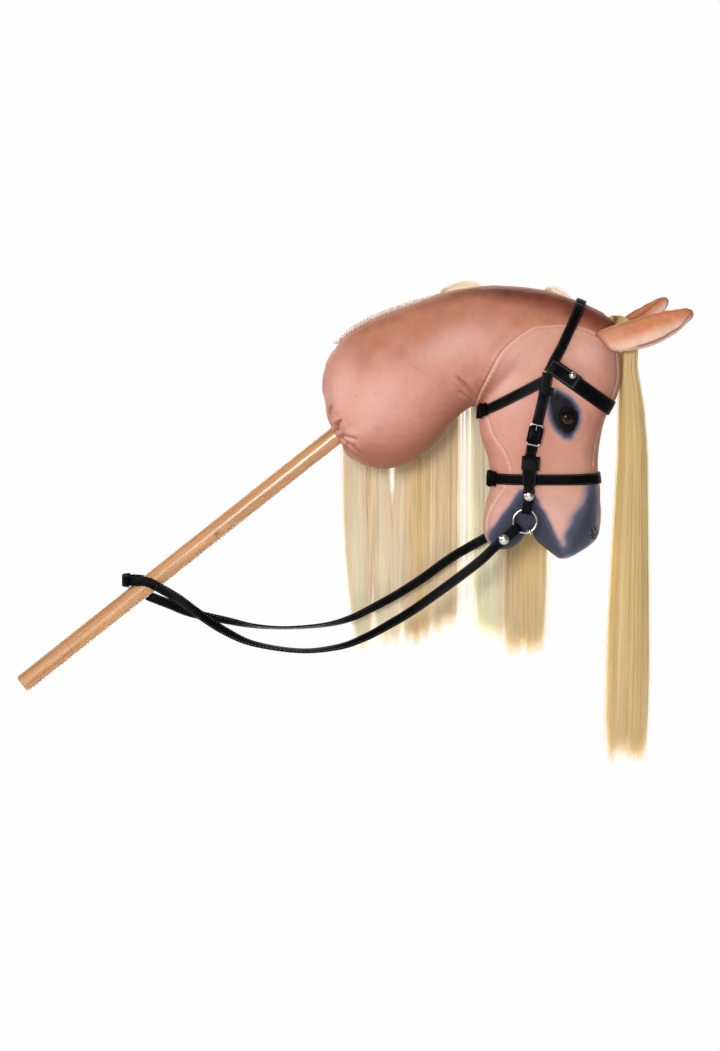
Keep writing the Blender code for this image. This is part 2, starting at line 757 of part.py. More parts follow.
def eye_profile(clearance, with_washer):
    """Half the section of a safety eye from the end of its stem out to its crown, and of the washer's
    room too where it is a cutter."""
    stem = EYE_STEM_DIAMETER / 2 + clearance
    dome = EYE_DIAMETER / 2 + clearance
    profile = [(0, -EYE_STEM_LENGTH - clearance), (stem, -EYE_STEM_LENGTH - clearance)]
    if with_washer:
        washer = EYE_WASHER_DIAMETER / 2 + clearance
        half = EYE_WASHER_THICKNESS / 2 + clearance
        low, high = -EYE_WASHER_DEPTH - half, -EYE_WASHER_DEPTH + half
        profile += [(stem, low), (washer, low), (washer, high), (stem, high)]
    rim = -EYE_SUNK + 0.001
    profile += [(stem, -EYE_SUNK - clearance), (dome, -EYE_SUNK - clearance), (dome, rim)]
    crown = EYE_HEIGHT - EYE_SUNK + clearance
    for k in range(1, 6):
        a = math.pi / 2 * k / 6
        profile.append((dome * math.cos(a), rim + (crown - rim) * math.sin(a)))
    return profile + [(0, crown)]


def build_eye(side_name, side, head, skin):
    """A domed safety eye with its stem, locked by a washer behind the cloth."""
    spot, out = seat(skin, skin, (EYE_X, EYE_Z), side, EYE_DIAMETER / 2)
    spot, _ = skin.hit(Vector((EYE_X, side * 0.3, EYE_Z)), Vector((0, -side, 0)))
    turned(side_name + "_eye", spot, out, eye_profile(0.0, False), 20, "eye")
    inner, outer = EYE_STEM_DIAMETER / 2 + GAP, EYE_WASHER_DIAMETER / 2
    low, high = -EYE_WASHER_DEPTH - EYE_WASHER_THICKNESS / 2, -EYE_WASHER_DEPTH + EYE_WASHER_THICKNESS / 2
    profile = [(inner, low), (outer, low), (outer, high), (inner, high)]
    turned(side_name + "_eye_washer", spot, out, profile, 20, "washer")
    boolean(head, "DIFFERENCE", turned("eye_room", spot, out, eye_profile(GAP, True), 20, "coat"))


def ring_angle(angle_deg):
    a = math.radians(angle_deg)
    return Vector((math.cos(a), 0.0, math.sin(a)))


def ring_plane(skin, side):
    """How far out the bit rings hang, so that the leather round them clears the cheek."""
    centre = in_plane(RING_CENTRE)
    footprint = [ring_angle(angle) * RING_DIAMETER / 2 for angle in range(0, 360, 15)]
    for angle, length in ((CHEEK_LOOP_ANGLE, CHEEK_LOOP_LENGTH), (NEAR_REIN_ANGLE, REIN_LOOP_LENGTH)):
        u = ring_angle(angle)
        across = u.cross(ACROSS)
        for k in range(13):
            footprint.extend(u * length * k / 12 + across * REIN_WIDTH * share for share in (-0.5, -0.25, 0, 0.25, 0.5))
    furthest = 0.0
    for spot in footprint:
        hit, _ = skin.hit(centre + spot + ACROSS * side * 0.3, -ACROSS * side)
        if hit is not None:
            furthest = max(furthest, abs(hit.y))
    return furthest + RING_WIRE / 2 + RING_PLAY + LEATHER + GAP


def ring_loop(name, centre, angle_deg, length, width, out):
    """Leather folded round a ring's wire, its two layers meeting beyond it."""
    u = ring_angle(angle_deg)
    across = u.cross(out)
    ring_radius = (RING_DIAMETER - RING_WIRE) / 2
    room = RING_WIRE / 2 + RING_PLAY
    inner_turn = math.sqrt(ring_radius**2 - (width / 2 + RING_WIRE / 2) ** 2) - RING_PLAY
    outer_turn = ring_radius + RING_PLAY
    meet = outer_turn + 4 * room
    turns = [math.pi * (0.5 + k / 6) for k in range(7)]
    hole = [(inner_turn + room * math.cos(a), room * math.sin(a)) for a in turns]
    hole += [(outer_turn, -room), (meet, -GAP), (meet, GAP), (outer_turn, room)]
    wall = room + LEATHER
    skirt = [(inner_turn + wall * math.cos(a), wall * math.sin(a)) for a in turns]
    skirt += [(outer_turn, -wall), (length, -LEATHER), (length, LEATHER), (outer_turn, wall)]
    points, count = [], len(hole)
    for share in (-0.5, 0.5):
        for outline in (skirt, hole):
            points.extend(centre + u * a + out * b + across * width * share for a, b in outline)
    faces = []
    for k in range(count):
        j = (k + 1) % count
        faces.append((k, j, count + j, count + k))
        faces.append((2 * count + k, 3 * count + k, 3 * count + j, 2 * count + j))
        faces.append((k, 2 * count + k, 2 * count + j, j))
        faces.append((count + k, count + j, 3 * count + j, 3 * count + k))
    return mesh_object(name, points, faces, "leather")


def stud(name, spot, out, diameter):
    """The domed cap of a press stud."""
    radius = diameter / 2
    profile = [(0, GAP), (radius * 0.92, GAP), (radius, GAP + STUD_HEIGHT * 0.3)]
    profile += [(radius * 0.8, GAP + STUD_HEIGHT * 0.75), (radius * 0.42, GAP + STUD_HEIGHT * 0.96), (0, GAP + STUD_HEIGHT)]
    return turned(name, spot, out, profile, 16, "steel")


def build_bit(skin, laid):
    """Rings, the leather loops on them, their studs, and the mouthpiece with an eye round each ring."""
    ring_radius = (RING_DIAMETER - RING_WIRE) / 2
    planes = {}
    for side_name, side in SIDES.items():
        out = ACROSS * side
        centre = in_plane(RING_CENTRE) + out * ring_plane(skin, side)
        planes[side_name] = centre
        path = [centre + ring_angle(360 * k / 40) * ring_radius for k in range(40)]
        tube(side_name + "_bit_ring", path, RING_WIRE / 2, 6, "steel", closed=True)
        rein_angle = NEAR_REIN_ANGLE if side < 0 else FAR_REIN_ANGLE
        for kind, angle, length, reach in (
            ("cheek", CHEEK_LOOP_ANGLE, CHEEK_LOOP_LENGTH, CHEEK_STUD_REACH),
            ("rein", rein_angle, REIN_LOOP_LENGTH, REIN_STUD_REACH),
        ):
            loop = ring_loop(f"{side_name}_{kind}_loop", centre, angle, length, REIN_WIDTH, out)
            laid.add(loop)
            layer = LEATHER + (RING_WIRE / 2 + RING_PLAY) * (length - reach) / (length - ring_radius)
            spot = centre + ring_angle(angle) * reach + out * (layer + GAP)
            laid.add(stud(f"{side_name}_{kind}_stud", spot, out, LARGE_STUD_DIAMETER))
    return planes


def build_mouthpiece(planes):
    """A bar across the mouth. Each end is a short eye through which the ring slides."""
    ring_radius = (RING_DIAMETER - RING_WIRE) / 2
    at = ring_angle(BIT_ANGLE) * ring_radius
    near, far = planes["near"] + at, planes["far"] + at
    eye_inner = RING_WIRE / 2 + RING_PLAY
    eye_outer = eye_inner + BIT_EYE_WALL
    along = ring_angle(BIT_ANGLE + 90)
    bar = rod(
        "bit_mouthpiece",
        near + ACROSS * (eye_inner + BIT_EYE_WALL / 2),
        far - ACROSS * (eye_inner + BIT_EYE_WALL / 2),
        BIT_BAR_DIAMETER / 2,
        10,
        "steel",
    )
    half = 0.0018
    for centre in (near, far):
        profile = [(eye_inner, -half), (eye_outer, -half), (eye_outer, half), (eye_inner, half)]
        boolean(bar, "UNION", turned("eye", centre, along, profile, 14, "steel"))
    return bar, near, far


def buckle_frame(skin, laid, side):
    """The buckle's own axes on the cheek: origin on the strap below it, up the strap, across and out."""
    spot, out = seat(skin, laid, BUCKLE_CENTRE, side, BUCKLE_WIDTH / 2)
    rise = in_plane(CHEEK_BEND) - in_plane(CHEEK_LOW)
    up = (rise - out * rise.dot(out)).normalized()
    across = up.cross(out)
    half = BUCKLE_LENGTH / 2 + 0.006
    tallest = 0.0
    for i in range(-4, 5):
        for j in (-1, 0, 1):
            above = spot + up * half * i / 4 + across * BUCKLE_WIDTH / 2 * j + out * 0.03
            top, _ = laid.hit(above, -out)
            if top is not None and (top - above).length < 0.045:
                tallest = max(tallest, (top - spot).dot(out))
    return spot + out * tallest, up, across, out


def build_buckle(side_name, frame, laid):
    """A frame with a middle bar, and the tongue that turns on that bar. The room that the tongue
    needs to open counts as laid."""
    spot, up, across, out = frame
    wire = BUCKLE_WIRE / 2
    level = 2 * GAP + LEATHER + wire
    centre = spot + out * level
    half_l, half_w = BUCKLE_LENGTH / 2 - wire, BUCKLE_WIDTH / 2 - wire
    path = []
    for quarter in range(4):
        sign_u, sign_v = ((1, 1), (1, -1), (-1, -1), (-1, 1))[quarter]
        corner = Vector((sign_u * (half_l - BUCKLE_CORNER), sign_v * (half_w - BUCKLE_CORNER)))
        turns = (90, 45, 0) if sign_u * sign_v > 0 else (0, 45, 90)
        for turn in turns:
            a = math.radians(turn)
            bend = Vector((sign_u * math.cos(a), sign_v * math.sin(a))) * BUCKLE_CORNER
            path.append(centre + up * (corner.x + bend.x) + across * (corner.y + bend.y))
    frame_loop = tube(side_name + "_buckle_frame", path, wire, 6, "steel", closed=True)
    bar = rod("bar", centre - across * half_w, centre + across * half_w, wire * 0.9, 8, "steel")
    boolean(frame_loop, "UNION", bar)
    eye_inner, eye_outer = wire + GAP, wire + GAP + TONGUE_WIRE * 0.6
    half = TONGUE_WIRE * 0.7
    profile = [(eye_inner, -half), (eye_outer, -half), (eye_outer, half), (eye_inner, half)]
    tongue = turned(side_name + "_buckle_tongue", centre, across, profile, 14, "steel")
    start = centre + up * eye_inner + out * (eye_outer - eye_inner)
    lifted = wire + GAP + TONGUE_WIRE / 2
    tip = centre + up * (half_l + wire * 0.6) + out * lifted
    start = centre + up * (eye_inner + TONGUE_WIRE * 0.4) + out * TONGUE_WIRE * 0.4
    boolean(tongue, "UNION", rod("pin", start, tip, TONGUE_WIRE / 2, 8, "steel"))
    opened = copy_of(tongue, "opened_tongue")
    turn = Matrix.Translation(centre) @ Matrix.Rotation(math.radians(TONGUE_OPENS_DEG), 4, across)
    opened.data.transform(turn @ Matrix.Translation(-centre))
    for piece in (frame_loop, tongue, opened):
        laid.add(piece)
    bpy.data.objects.remove(opened, do_unlink=True)


def billet_frames(frame, skin, laid, side):
    """The lower strap: under the buckle's top bar, over its middle bar, under its foot bar and down
    the cheek to the ring loop."""
    spot, up, across, out = frame
    wire = BUCKLE_WIRE / 2
    low = GAP
    high = 2 * GAP + LEATHER + 2 * wire + 2 * GAP
    half = BUCKLE_LENGTH / 2 - wire
    stations = (
        (half + 0.007, low),
        (half - 0.0024, low),
        (half * 0.60, low + (high - low) * 0.35),
        (half * 0.30, low + (high - low) * 0.90),
        (0.0, high),
        (-half * 0.30, low + (high - low) * 0.90),
        (-half * 0.60, low + (high - low) * 0.35),
        (-half + 0.0024, low),
        (-half - 0.006, low),
    )
    upper = [(spot + up * a + out * b, out, across) for a, b in stations]
    rays = side_rays((CHEEK_LOW, LOOP_TOP, LOOP_FOOT, BILLET_END), side)
    lower = lay_frames(skin, laid, rays, CHEEK_WIDTH)
    if lower[0][2].dot(across) < 0:
        lower = [(p, n, -s) for p, n, s in lower]
    return upper + lower


def build_bridle(skin, head_skin, laid):
    """Every strap in the order in which it goes on."""
    noseband = ribbon(
        "noseband",
        lay_frames(skin, laid, round_rays(in_between(JAW_BACK, NOSE_FRONT), NOSE_FRONT, 0, 357, 160), NOSEBAND_WIDTH, True),
        NOSEBAND_WIDTH,
        LEATHER,
        closed=True,
    )
    laid.add(noseband)
    planes = build_bit(skin, laid)
    browband = ribbon(
        "browband", lay_frames(skin, laid, round_rays(TEMPLE, BROW, 96, -96), BROWBAND_WIDTH), BROWBAND_WIDTH, LEATHER
    )
    laid.add(browband)
    throat_laid = Laid([bpy.data.objects["head_body"], bpy.data.objects["lower_jaw"]])
    throat_rays = round_rays(THROAT_FROM, THROAT_TO, 90, -90)
    throatlash = ribbon(
        "throatlash", lay_frames(head_skin, throat_laid, throat_rays, THROATLASH_WIDTH), THROATLASH_WIDTH, LEATHER
    )
    laid.add(throatlash)
    throat_laid.add(throatlash)
    headpiece = ribbon(
        "headpiece", lay_frames(skin, laid, round_rays(TEMPLE, POLL, 96, -96), HEADPIECE_WIDTH), HEADPIECE_WIDTH, LEATHER
    )
    laid.add(headpiece)
    for side_name, side in SIDES.items():
        upper_rays = side_rays((CHEEK_TOP, CHEEK_BEND, BUCKLE_CENTRE), side)
        cheek = ribbon(side_name + "_cheek_strap", lay_frames(skin, laid, upper_rays, CHEEK_WIDTH), CHEEK_WIDTH, LEATHER)
        laid.add(cheek)
        fold_rays = side_rays((TEMPLE, FOLD_END), side)
        fold = ribbon(side_name + "_browband_fold", lay_frames(skin, laid, fold_rays, BROWBAND_WIDTH), BROWBAND_WIDTH, LEATHER)
        laid.add(fold)
        spot, out = seat(skin, laid, BROW_STUD, side, SMALL_STUD_DIAMETER / 2)
        laid.add(stud(side_name + "_browband_stud", spot, out, SMALL_STUD_DIAMETER))
        frame = buckle_frame(skin, laid, side)
        billet = ribbon(side_name + "_cheek_billet", billet_frames(frame, skin, laid, side), CHEEK_WIDTH, LEATHER)
        spot, up, across, out = frame
        slot = box_between(
            "slot", spot, (up, across, out), (SLOT_FROM, -SLOT_WIDTH / 2, -0.01), (SLOT_TO, SLOT_WIDTH / 2, 0.03), "leather"
        )
        boolean(billet, "DIFFERENCE", slot)
        laid.add(billet)
        for name, start, end, width in (
            ("noseband_loop", LOOP_TOP, LOOP_FOOT, NOSEBAND_LOOP_WIDTH),
            ("cheek_runner", RUNNER_TOP, RUNNER_FOOT, RUNNER_WIDTH),
        ):
            rays = side_rays((start, end), side)
            piece = ribbon(f"{side_name}_{name}", lay_frames(skin, laid, rays, width), width, LEATHER)
            laid.add(piece)
        build_buckle(side_name, frame, laid)
    return planes, throatlash, throat_laid


def in_between(a, b):
    return ((a[0] + b[0]) / 2, (a[1] + b[1]) / 2)


def strap_in_air(name, route, thickness, width):
    """A strap hanging free: its middle line with the turn of its flat side at each point. Gives the
    frame of its last end: middle, run, outward and sideways."""
    line = [Vector(r[:3]) for r in smooth_through(route, 60)]
    length = sum((b - a).length for a, b in zip(line, line[1:]))
    count = max(8, round(length / REIN_STEP))
    rows = smooth_through(route, count)
    line = [Vector(r[:3]) for r in rows]
    frames = []
    for i, row in enumerate(rows):
        run = (line[min(i + 1, count - 1)] - line[max(i - 1, 0)]).normalized()
        level = run.cross(Vector((0, 0, 1))).normalized()
        outward = level if level.y < 0 else -level
        outward.rotate(Matrix.Rotation(math.radians(row[3]), 3, run))
        sideways = run.cross(outward)
        frames.append((line[i] - outward * thickness / 2, outward, sideways))
    ribbon(name, frames, width, thickness)
    return line[-1], run, outward, sideways


def build_reins(planes):
    """Two hanging straps and the join that passes round the stick."""
    ends = []
    for side_name, angle, route, join in (
        ("near", NEAR_REIN_ANGLE, NEAR_REIN_ROUTE, NEAR_JOIN_END),
        ("far", FAR_REIN_ANGLE, FAR_REIN_ROUTE, FAR_JOIN_END),
    ):
        u = ring_angle(angle)
        first = planes[side_name] + u * (REIN_LOOP_LENGTH + GAP)
        hold = SIDES[side_name] * (STICK_RADIUS + REIN_THICKNESS)
        rows = [(*first, 0), (*(first + u * 0.012), 0), *route, (join[0], hold, join[1], 0)]
        ends.append(strap_in_air(side_name + "_rein", rows, REIN_THICKNESS, REIN_WIDTH))
    build_rein_join(*ends)


def build_rein_join(near_end, far_end):
    """The reins' common end, bent round the stick, with a keeper at the bend."""
    hold = abs(near_end[0].y)
    bend_x, bend_z = JOIN_TURN[0] + hold, JOIN_TURN[1]
    start, finish = (end[0] + end[1] * GAP for end in (near_end, far_end))
    near_lead, far_lead = (end[0] + end[1] * JOIN_LEAD for end in (near_end, far_end))
    near_lead.y, far_lead.y = -hold, hold
    centre = [start, near_lead, Vector((bend_x + JOIN_LEAD, -hold, bend_z))]
    for k in range(9):
        a = math.pi * k / 8
        centre.append(Vector((bend_x - hold * math.sin(a), -hold * math.cos(a), bend_z)))
    centre += [Vector((bend_x + JOIN_LEAD, hold, bend_z)), far_lead, finish]
    frames = []
    for i, point in enumerate(centre):
        if i in (0, len(centre) - 1):
            _, _, outward, sideways = near_end if i == 0 else far_end
            if point.y > 0:
                outward, sideways = -outward, sideways
        else:
            run = (centre[i + 1] - centre[i - 1]).normalized()
            outward = run.cross(Vector((0, 0, 1))).normalized()
            if outward.dot(point - Vector((bend_x, 0, point.z))) < 0:
                outward = -outward
            sideways = run.cross(outward)
        if sideways.z < 0:
            sideways = -sideways
        frames.append((point - outward * REIN_THICKNESS / 2, outward, sideways))
    ribbon("rein_join", frames, REIN_WIDTH, REIN_THICKNESS)
    round_bend = []
    radius = hold + REIN_THICKNESS / 2 + JOIN_KEEPER_LIFT
    for k in range(JOIN_KEEPER_STEPS + 1):
        a = math.radians(JOIN_KEEPER_REACH_DEG * (2 * k / JOIN_KEEPER_STEPS - 1))
        out = Vector((-math.cos(a), math.sin(a), 0))
        round_bend.append((Vector((bend_x, 0, bend_z)) + out * radius, out, Vector((0, 0, 1))))
    ribbon("rein_join_keeper", round_bend, JOIN_KEEPER_WIDTH, LEATHER)


def build_runners(skin, laid, head_skin, throat_laid):
    """Small leather runners: one on the throatlash at the throat, one behind the jaw on the noseband."""
    middle = in_between(JAW_BACK, NOSE_FRONT)
    for name, ground, under, centre, towards, angles, width in (
        ("throatlash_runner", head_skin, throat_laid, THROAT_FROM, THROAT_TO, (22, 10), THROATLASH_WIDTH + 0.004),
        ("noseband_runner", skin, laid, middle, JAW_BACK, (26, 10), NOSEBAND_WIDTH + 0.006),
    ):
        frames = lay_frames(ground, under, round_rays(centre, towards, *angles, 20), width)
        laid.add(ribbon(name, frames, width, LEATHER * 1.4))


def build_weft(skin, laid):
    """The stitched weft that carries the mane, along the crest."""
    rays = []
    for k in range(121):
        x = WEFT_FROM + (WEFT_TO - WEFT_FROM) * k / 120
        rays.append((Vector((x, 0.0, 0.5)), Vector((0, 0, -1))))
    weft = ribbon("mane_weft", lay_frames(skin, laid, rays, WEFT_WIDTH), WEFT_WIDTH, WEFT_THICKNESS, "hair")
    laid.add(weft)


def oval(centre, along_width, along_depth, width, depth, sides):
    turns = [2 * math.pi * (k + 0.5) / sides for k in range(sides)]
    return [centre + along_width * width / 2 * math.cos(a) + along_depth * depth / 2 * math.sin(a) for a in turns]


def build_lock(name, top_x, middle, width, tip, stand, laid):
    """One lock: from the weft, over the crest, down the far side and then straight down. Its root
    lies along the crest's slope."""
    top, _ = laid.hit(Vector((top_x, 0.0, 0.5)), Vector((0, 0, -1)))
    height = top.z - LOCK_BEND
    shares = (-0.5, -0.25, 0.0, 0.25, 0.5)
    stations = []
    for k in range(LOCK_BEND_RINGS):
        done = k / (LOCK_BEND_RINGS - 1)
        a = math.radians(84 * (1 - done))
        out = Vector((0, math.cos(a), math.sin(a)))
        hub = Vector((top_x + (middle - top_x) * done, 0.0, height))
        reaches = []
        for share in shares:
            hit, _ = laid.hit(hub + Vector((width * share, 0, 0)) + out * 0.2, -out)
            reaches.append((hit - hub).dot(out))
        tilt = (reaches[-1] - reaches[0]) * (1 - done)
        reach = max(r - tilt * share for r, share in zip(reaches, shares))
        depth = LOCK_TOP_THICKNESS + (LOCK_THICKNESS - LOCK_TOP_THICKNESS) * min(1.0, done * 1.6)
        rise = GAP if k == 0 else LOCK_RISE + (stand - LOCK_RISE) * (1 - done) ** 2
        stations.append((hub + out * (reach + rise + depth / 2), depth, out * tilt))
    clear = LOCK_RISE + LOCK_THICKNESS / 2
    furthest = max(point.y for point, _, _ in stations)
    for row in range(240):
        z = height + (tip - height) * row / 239
        for column in range(25):
            x = middle + width * (column / 24 - 0.5)
            hit, _ = laid.hit(Vector((x, 0.3, z)), Vector((0, -1, 0)))
            if hit is not None and hit.y > 0:
                furthest = max(furthest, hit.y + clear)
    drop = height - 0.02 - tip
    for share in LOCK_DROP_SHARES:
        stations.append((Vector((middle, furthest, tip + drop * (1 - share))), LOCK_THICKNESS, Vector()))
    loops = []
    for i, (point, depth, tilt) in enumerate(stations):
        run = (stations[min(i + 1, len(stations) - 1)][0] - stations[max(i - 1, 0)][0]).normalized()
        end = max(0.0, (tip + 0.2 * drop - point.z) / (0.2 * drop))
        wide, deep = width * (1 - 0.35 * end**2), depth * (1 - 0.5 * end)
        along = Vector((1, 0, 0)) + tilt / width
        loops.append(oval(point, along, run.cross(Vector((1, 0, 0))).normalized(), wide, deep, LOCK_SIDES))
    return mesh_object(name, *bridge(loops), "hair")


def build_forelock(whole):
    rows = smooth_through(FORELOCK_SECTIONS, FORELOCK_RINGS)
    line = [Vector((r[0], 0, r[1])) for r in rows]
    loops = []
    for i, (x, z, size_x, size_y) in enumerate(rows):
        run = (line[min(i + 1, len(line) - 1)] - line[max(i - 1, 0)]).normalized()
        wide = run.cross(ACROSS).normalized()
        loops.append(oval(line[i], wide, ACROSS, size_x, size_y, FORELOCK_SIDES))
    forelock = mesh_object("forelock", *bridge(loops), "hair")
    return boolean(forelock, "DIFFERENCE", grown(whole, GAP))


def main():
    clear_scene()
    pin = build_stick()
    whole, neck, head, jaw = build_stuffing()
    skin = Laid([whole, jaw])
    laid = Laid([whole, jaw])
    head_skin = Laid([head, jaw])
    build_weft(skin, laid)
    planes, throatlash, throat_laid = build_bridle(skin, head_skin, laid)
    build_runners(skin, laid, head_skin, throat_laid)
    bar, near_end, far_end = build_mouthpiece(planes)
    for side_name, side in SIDES.items():
        build_eye(side_name, side, head, skin)
    build_ear("near_ear", NEAR_EAR_ROOT, NEAR_EAR_TIP, NEAR_EAR_TURN_DEG, -1.0, whole)
    build_ear("far_ear", FAR_EAR_ROOT, FAR_EAR_TIP, FAR_EAR_TURN_DEG, 1.0, whole)
    room = rod("room", near_end, far_end, BIT_BAR_DIAMETER / 2 + GAP, 10, "coat")
    boolean(jaw, "DIFFERENCE", room, keep_cutter=True)
    boolean(head, "DIFFERENCE", room)
    boolean(neck, "DIFFERENCE", stick_room())
    for body in (pin, throatlash):
        boolean(neck, "DIFFERENCE", grown(body, GAP))
    for number, lock in enumerate(MANE_LOCKS, 1):
        build_lock(f"mane_lock_{number}", *lock, laid)
    build_forelock(whole)
    build_reins(planes)
    bpy.data.objects.remove(whole, do_unlink=True)


main()
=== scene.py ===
"""The hobby horse's finished look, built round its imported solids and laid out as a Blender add-on.

Units are metres in the part's own frame: +X runs from the stick's foot to the horse's nose, +Z is
up and the near side faces -Y.
"""

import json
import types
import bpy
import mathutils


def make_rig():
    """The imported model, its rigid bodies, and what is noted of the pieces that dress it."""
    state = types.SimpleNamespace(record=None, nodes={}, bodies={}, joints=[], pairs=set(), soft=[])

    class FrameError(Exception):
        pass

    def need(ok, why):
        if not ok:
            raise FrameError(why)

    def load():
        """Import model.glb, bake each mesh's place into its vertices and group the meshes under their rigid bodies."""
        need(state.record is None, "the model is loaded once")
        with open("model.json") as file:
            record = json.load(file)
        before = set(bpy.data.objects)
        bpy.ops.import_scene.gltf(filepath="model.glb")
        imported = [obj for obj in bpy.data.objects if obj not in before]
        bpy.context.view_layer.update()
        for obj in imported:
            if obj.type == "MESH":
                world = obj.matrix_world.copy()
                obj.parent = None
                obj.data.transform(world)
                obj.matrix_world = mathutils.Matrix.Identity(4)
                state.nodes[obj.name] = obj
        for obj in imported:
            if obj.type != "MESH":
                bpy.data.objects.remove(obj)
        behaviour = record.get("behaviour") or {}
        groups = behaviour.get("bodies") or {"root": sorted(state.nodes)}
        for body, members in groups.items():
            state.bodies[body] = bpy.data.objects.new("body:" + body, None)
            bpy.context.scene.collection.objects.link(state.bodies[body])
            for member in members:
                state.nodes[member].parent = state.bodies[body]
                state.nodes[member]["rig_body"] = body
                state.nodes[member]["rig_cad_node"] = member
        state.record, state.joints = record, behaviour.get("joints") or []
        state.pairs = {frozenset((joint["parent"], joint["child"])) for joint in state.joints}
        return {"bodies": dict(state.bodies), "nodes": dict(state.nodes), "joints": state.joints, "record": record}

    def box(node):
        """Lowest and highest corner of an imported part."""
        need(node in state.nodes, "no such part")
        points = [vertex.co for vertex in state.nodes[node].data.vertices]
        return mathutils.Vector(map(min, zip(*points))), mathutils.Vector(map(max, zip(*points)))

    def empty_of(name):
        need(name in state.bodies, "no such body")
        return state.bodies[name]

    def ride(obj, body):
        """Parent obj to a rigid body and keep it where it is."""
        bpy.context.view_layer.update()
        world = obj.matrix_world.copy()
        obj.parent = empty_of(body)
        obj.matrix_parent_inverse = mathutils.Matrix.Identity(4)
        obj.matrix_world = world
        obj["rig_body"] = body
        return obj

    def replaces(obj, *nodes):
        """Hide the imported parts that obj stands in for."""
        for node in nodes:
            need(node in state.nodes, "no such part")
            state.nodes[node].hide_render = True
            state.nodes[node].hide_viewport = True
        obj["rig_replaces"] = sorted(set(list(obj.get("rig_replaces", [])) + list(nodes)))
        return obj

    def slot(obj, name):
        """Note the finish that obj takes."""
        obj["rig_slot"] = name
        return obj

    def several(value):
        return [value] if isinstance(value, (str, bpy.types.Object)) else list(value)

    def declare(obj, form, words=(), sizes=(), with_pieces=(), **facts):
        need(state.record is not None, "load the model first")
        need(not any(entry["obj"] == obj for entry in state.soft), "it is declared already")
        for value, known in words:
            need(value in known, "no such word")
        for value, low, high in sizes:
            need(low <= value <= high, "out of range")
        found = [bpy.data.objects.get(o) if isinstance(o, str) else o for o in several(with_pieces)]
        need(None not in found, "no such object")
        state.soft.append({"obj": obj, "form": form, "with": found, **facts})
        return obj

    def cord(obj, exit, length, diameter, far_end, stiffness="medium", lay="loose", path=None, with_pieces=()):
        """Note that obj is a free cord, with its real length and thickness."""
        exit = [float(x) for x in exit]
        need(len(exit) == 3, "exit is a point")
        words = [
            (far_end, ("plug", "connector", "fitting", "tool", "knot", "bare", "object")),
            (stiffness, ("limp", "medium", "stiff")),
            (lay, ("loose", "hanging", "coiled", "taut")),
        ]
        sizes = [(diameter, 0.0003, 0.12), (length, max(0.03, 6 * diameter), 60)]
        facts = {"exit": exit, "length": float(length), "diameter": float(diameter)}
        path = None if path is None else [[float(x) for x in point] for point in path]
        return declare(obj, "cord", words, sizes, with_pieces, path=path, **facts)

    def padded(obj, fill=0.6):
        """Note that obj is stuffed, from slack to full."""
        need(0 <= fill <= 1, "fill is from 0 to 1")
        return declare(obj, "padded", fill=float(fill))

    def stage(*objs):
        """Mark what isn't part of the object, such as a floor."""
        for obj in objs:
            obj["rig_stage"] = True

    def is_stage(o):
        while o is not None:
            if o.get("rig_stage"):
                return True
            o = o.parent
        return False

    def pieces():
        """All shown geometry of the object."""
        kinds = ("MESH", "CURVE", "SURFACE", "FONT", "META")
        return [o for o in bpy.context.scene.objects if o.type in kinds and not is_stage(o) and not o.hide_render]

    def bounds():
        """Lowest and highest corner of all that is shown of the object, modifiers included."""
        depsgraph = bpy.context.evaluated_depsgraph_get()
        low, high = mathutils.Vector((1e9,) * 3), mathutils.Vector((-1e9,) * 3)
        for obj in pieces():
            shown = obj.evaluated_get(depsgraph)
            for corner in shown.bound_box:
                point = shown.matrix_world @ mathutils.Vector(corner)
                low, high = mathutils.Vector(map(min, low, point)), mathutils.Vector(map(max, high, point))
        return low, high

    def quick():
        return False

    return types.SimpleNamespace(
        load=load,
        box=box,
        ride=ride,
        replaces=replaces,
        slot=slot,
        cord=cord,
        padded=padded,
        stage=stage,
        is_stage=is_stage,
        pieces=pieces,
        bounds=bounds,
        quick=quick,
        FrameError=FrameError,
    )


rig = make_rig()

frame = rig.load()

import json
import math
from functools import partial
from math import cos, pi, radians, sin

import bmesh
import bpy
import numpy as np
from bpy.props import FloatProperty, FloatVectorProperty, IntProperty, PointerProperty
from mathutils import Matrix, Vector
from mathutils.bvhtree import BVHTree

bl_info = {
    "name": "Hobby Horse",
    "version": (1, 0, 0),
    "blender": (4, 5, 0),
    "location": "View3D > Sidebar > Hobby Horse",
    "description": "Dresses the hobby horse in velour, leather, hair, nickel and varnished wood",
    "category": "Object",
}

CAD_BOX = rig.bounds()
NODES = frame["nodes"]
SIDES = {"near": -1.0, "far": 1.0}
# How far off the middle plane a ray starts that looks for the surface
RAY_FROM = 0.3
STRAP_EDGE_RADIUS = 0.0007
STITCH_HALF_WIDTH, STITCH_RISE = 0.0003, 0.0004
ACROSS = Vector((0.0, 1.0, 0.0))
UP = Vector((0.0, 0.0, 1.0))

# The photograph's frame: how far off the camera stands, what it aims at and how much it takes in
VIEW_ELEVATION_DEG = 4.5
VIEW_DISTANCE = 8.5
VIEW_TARGET = (0.1287, 0.0, -0.0618)
VIEW_HEIGHT = 1.5765
SENSOR = 36.0
FLOOR_Z = -1.20

# The stick
STICK_SLOPE = radians(38.5)
STICK_AXIS = Vector((cos(STICK_SLOPE), 0.0, sin(STICK_SLOPE)))
STICK_RADIUS = 0.014
GRIP_TO_NECK = 0.120
KNOT_ALONG, KNOT_TURN_DEG = -0.062, -14.0

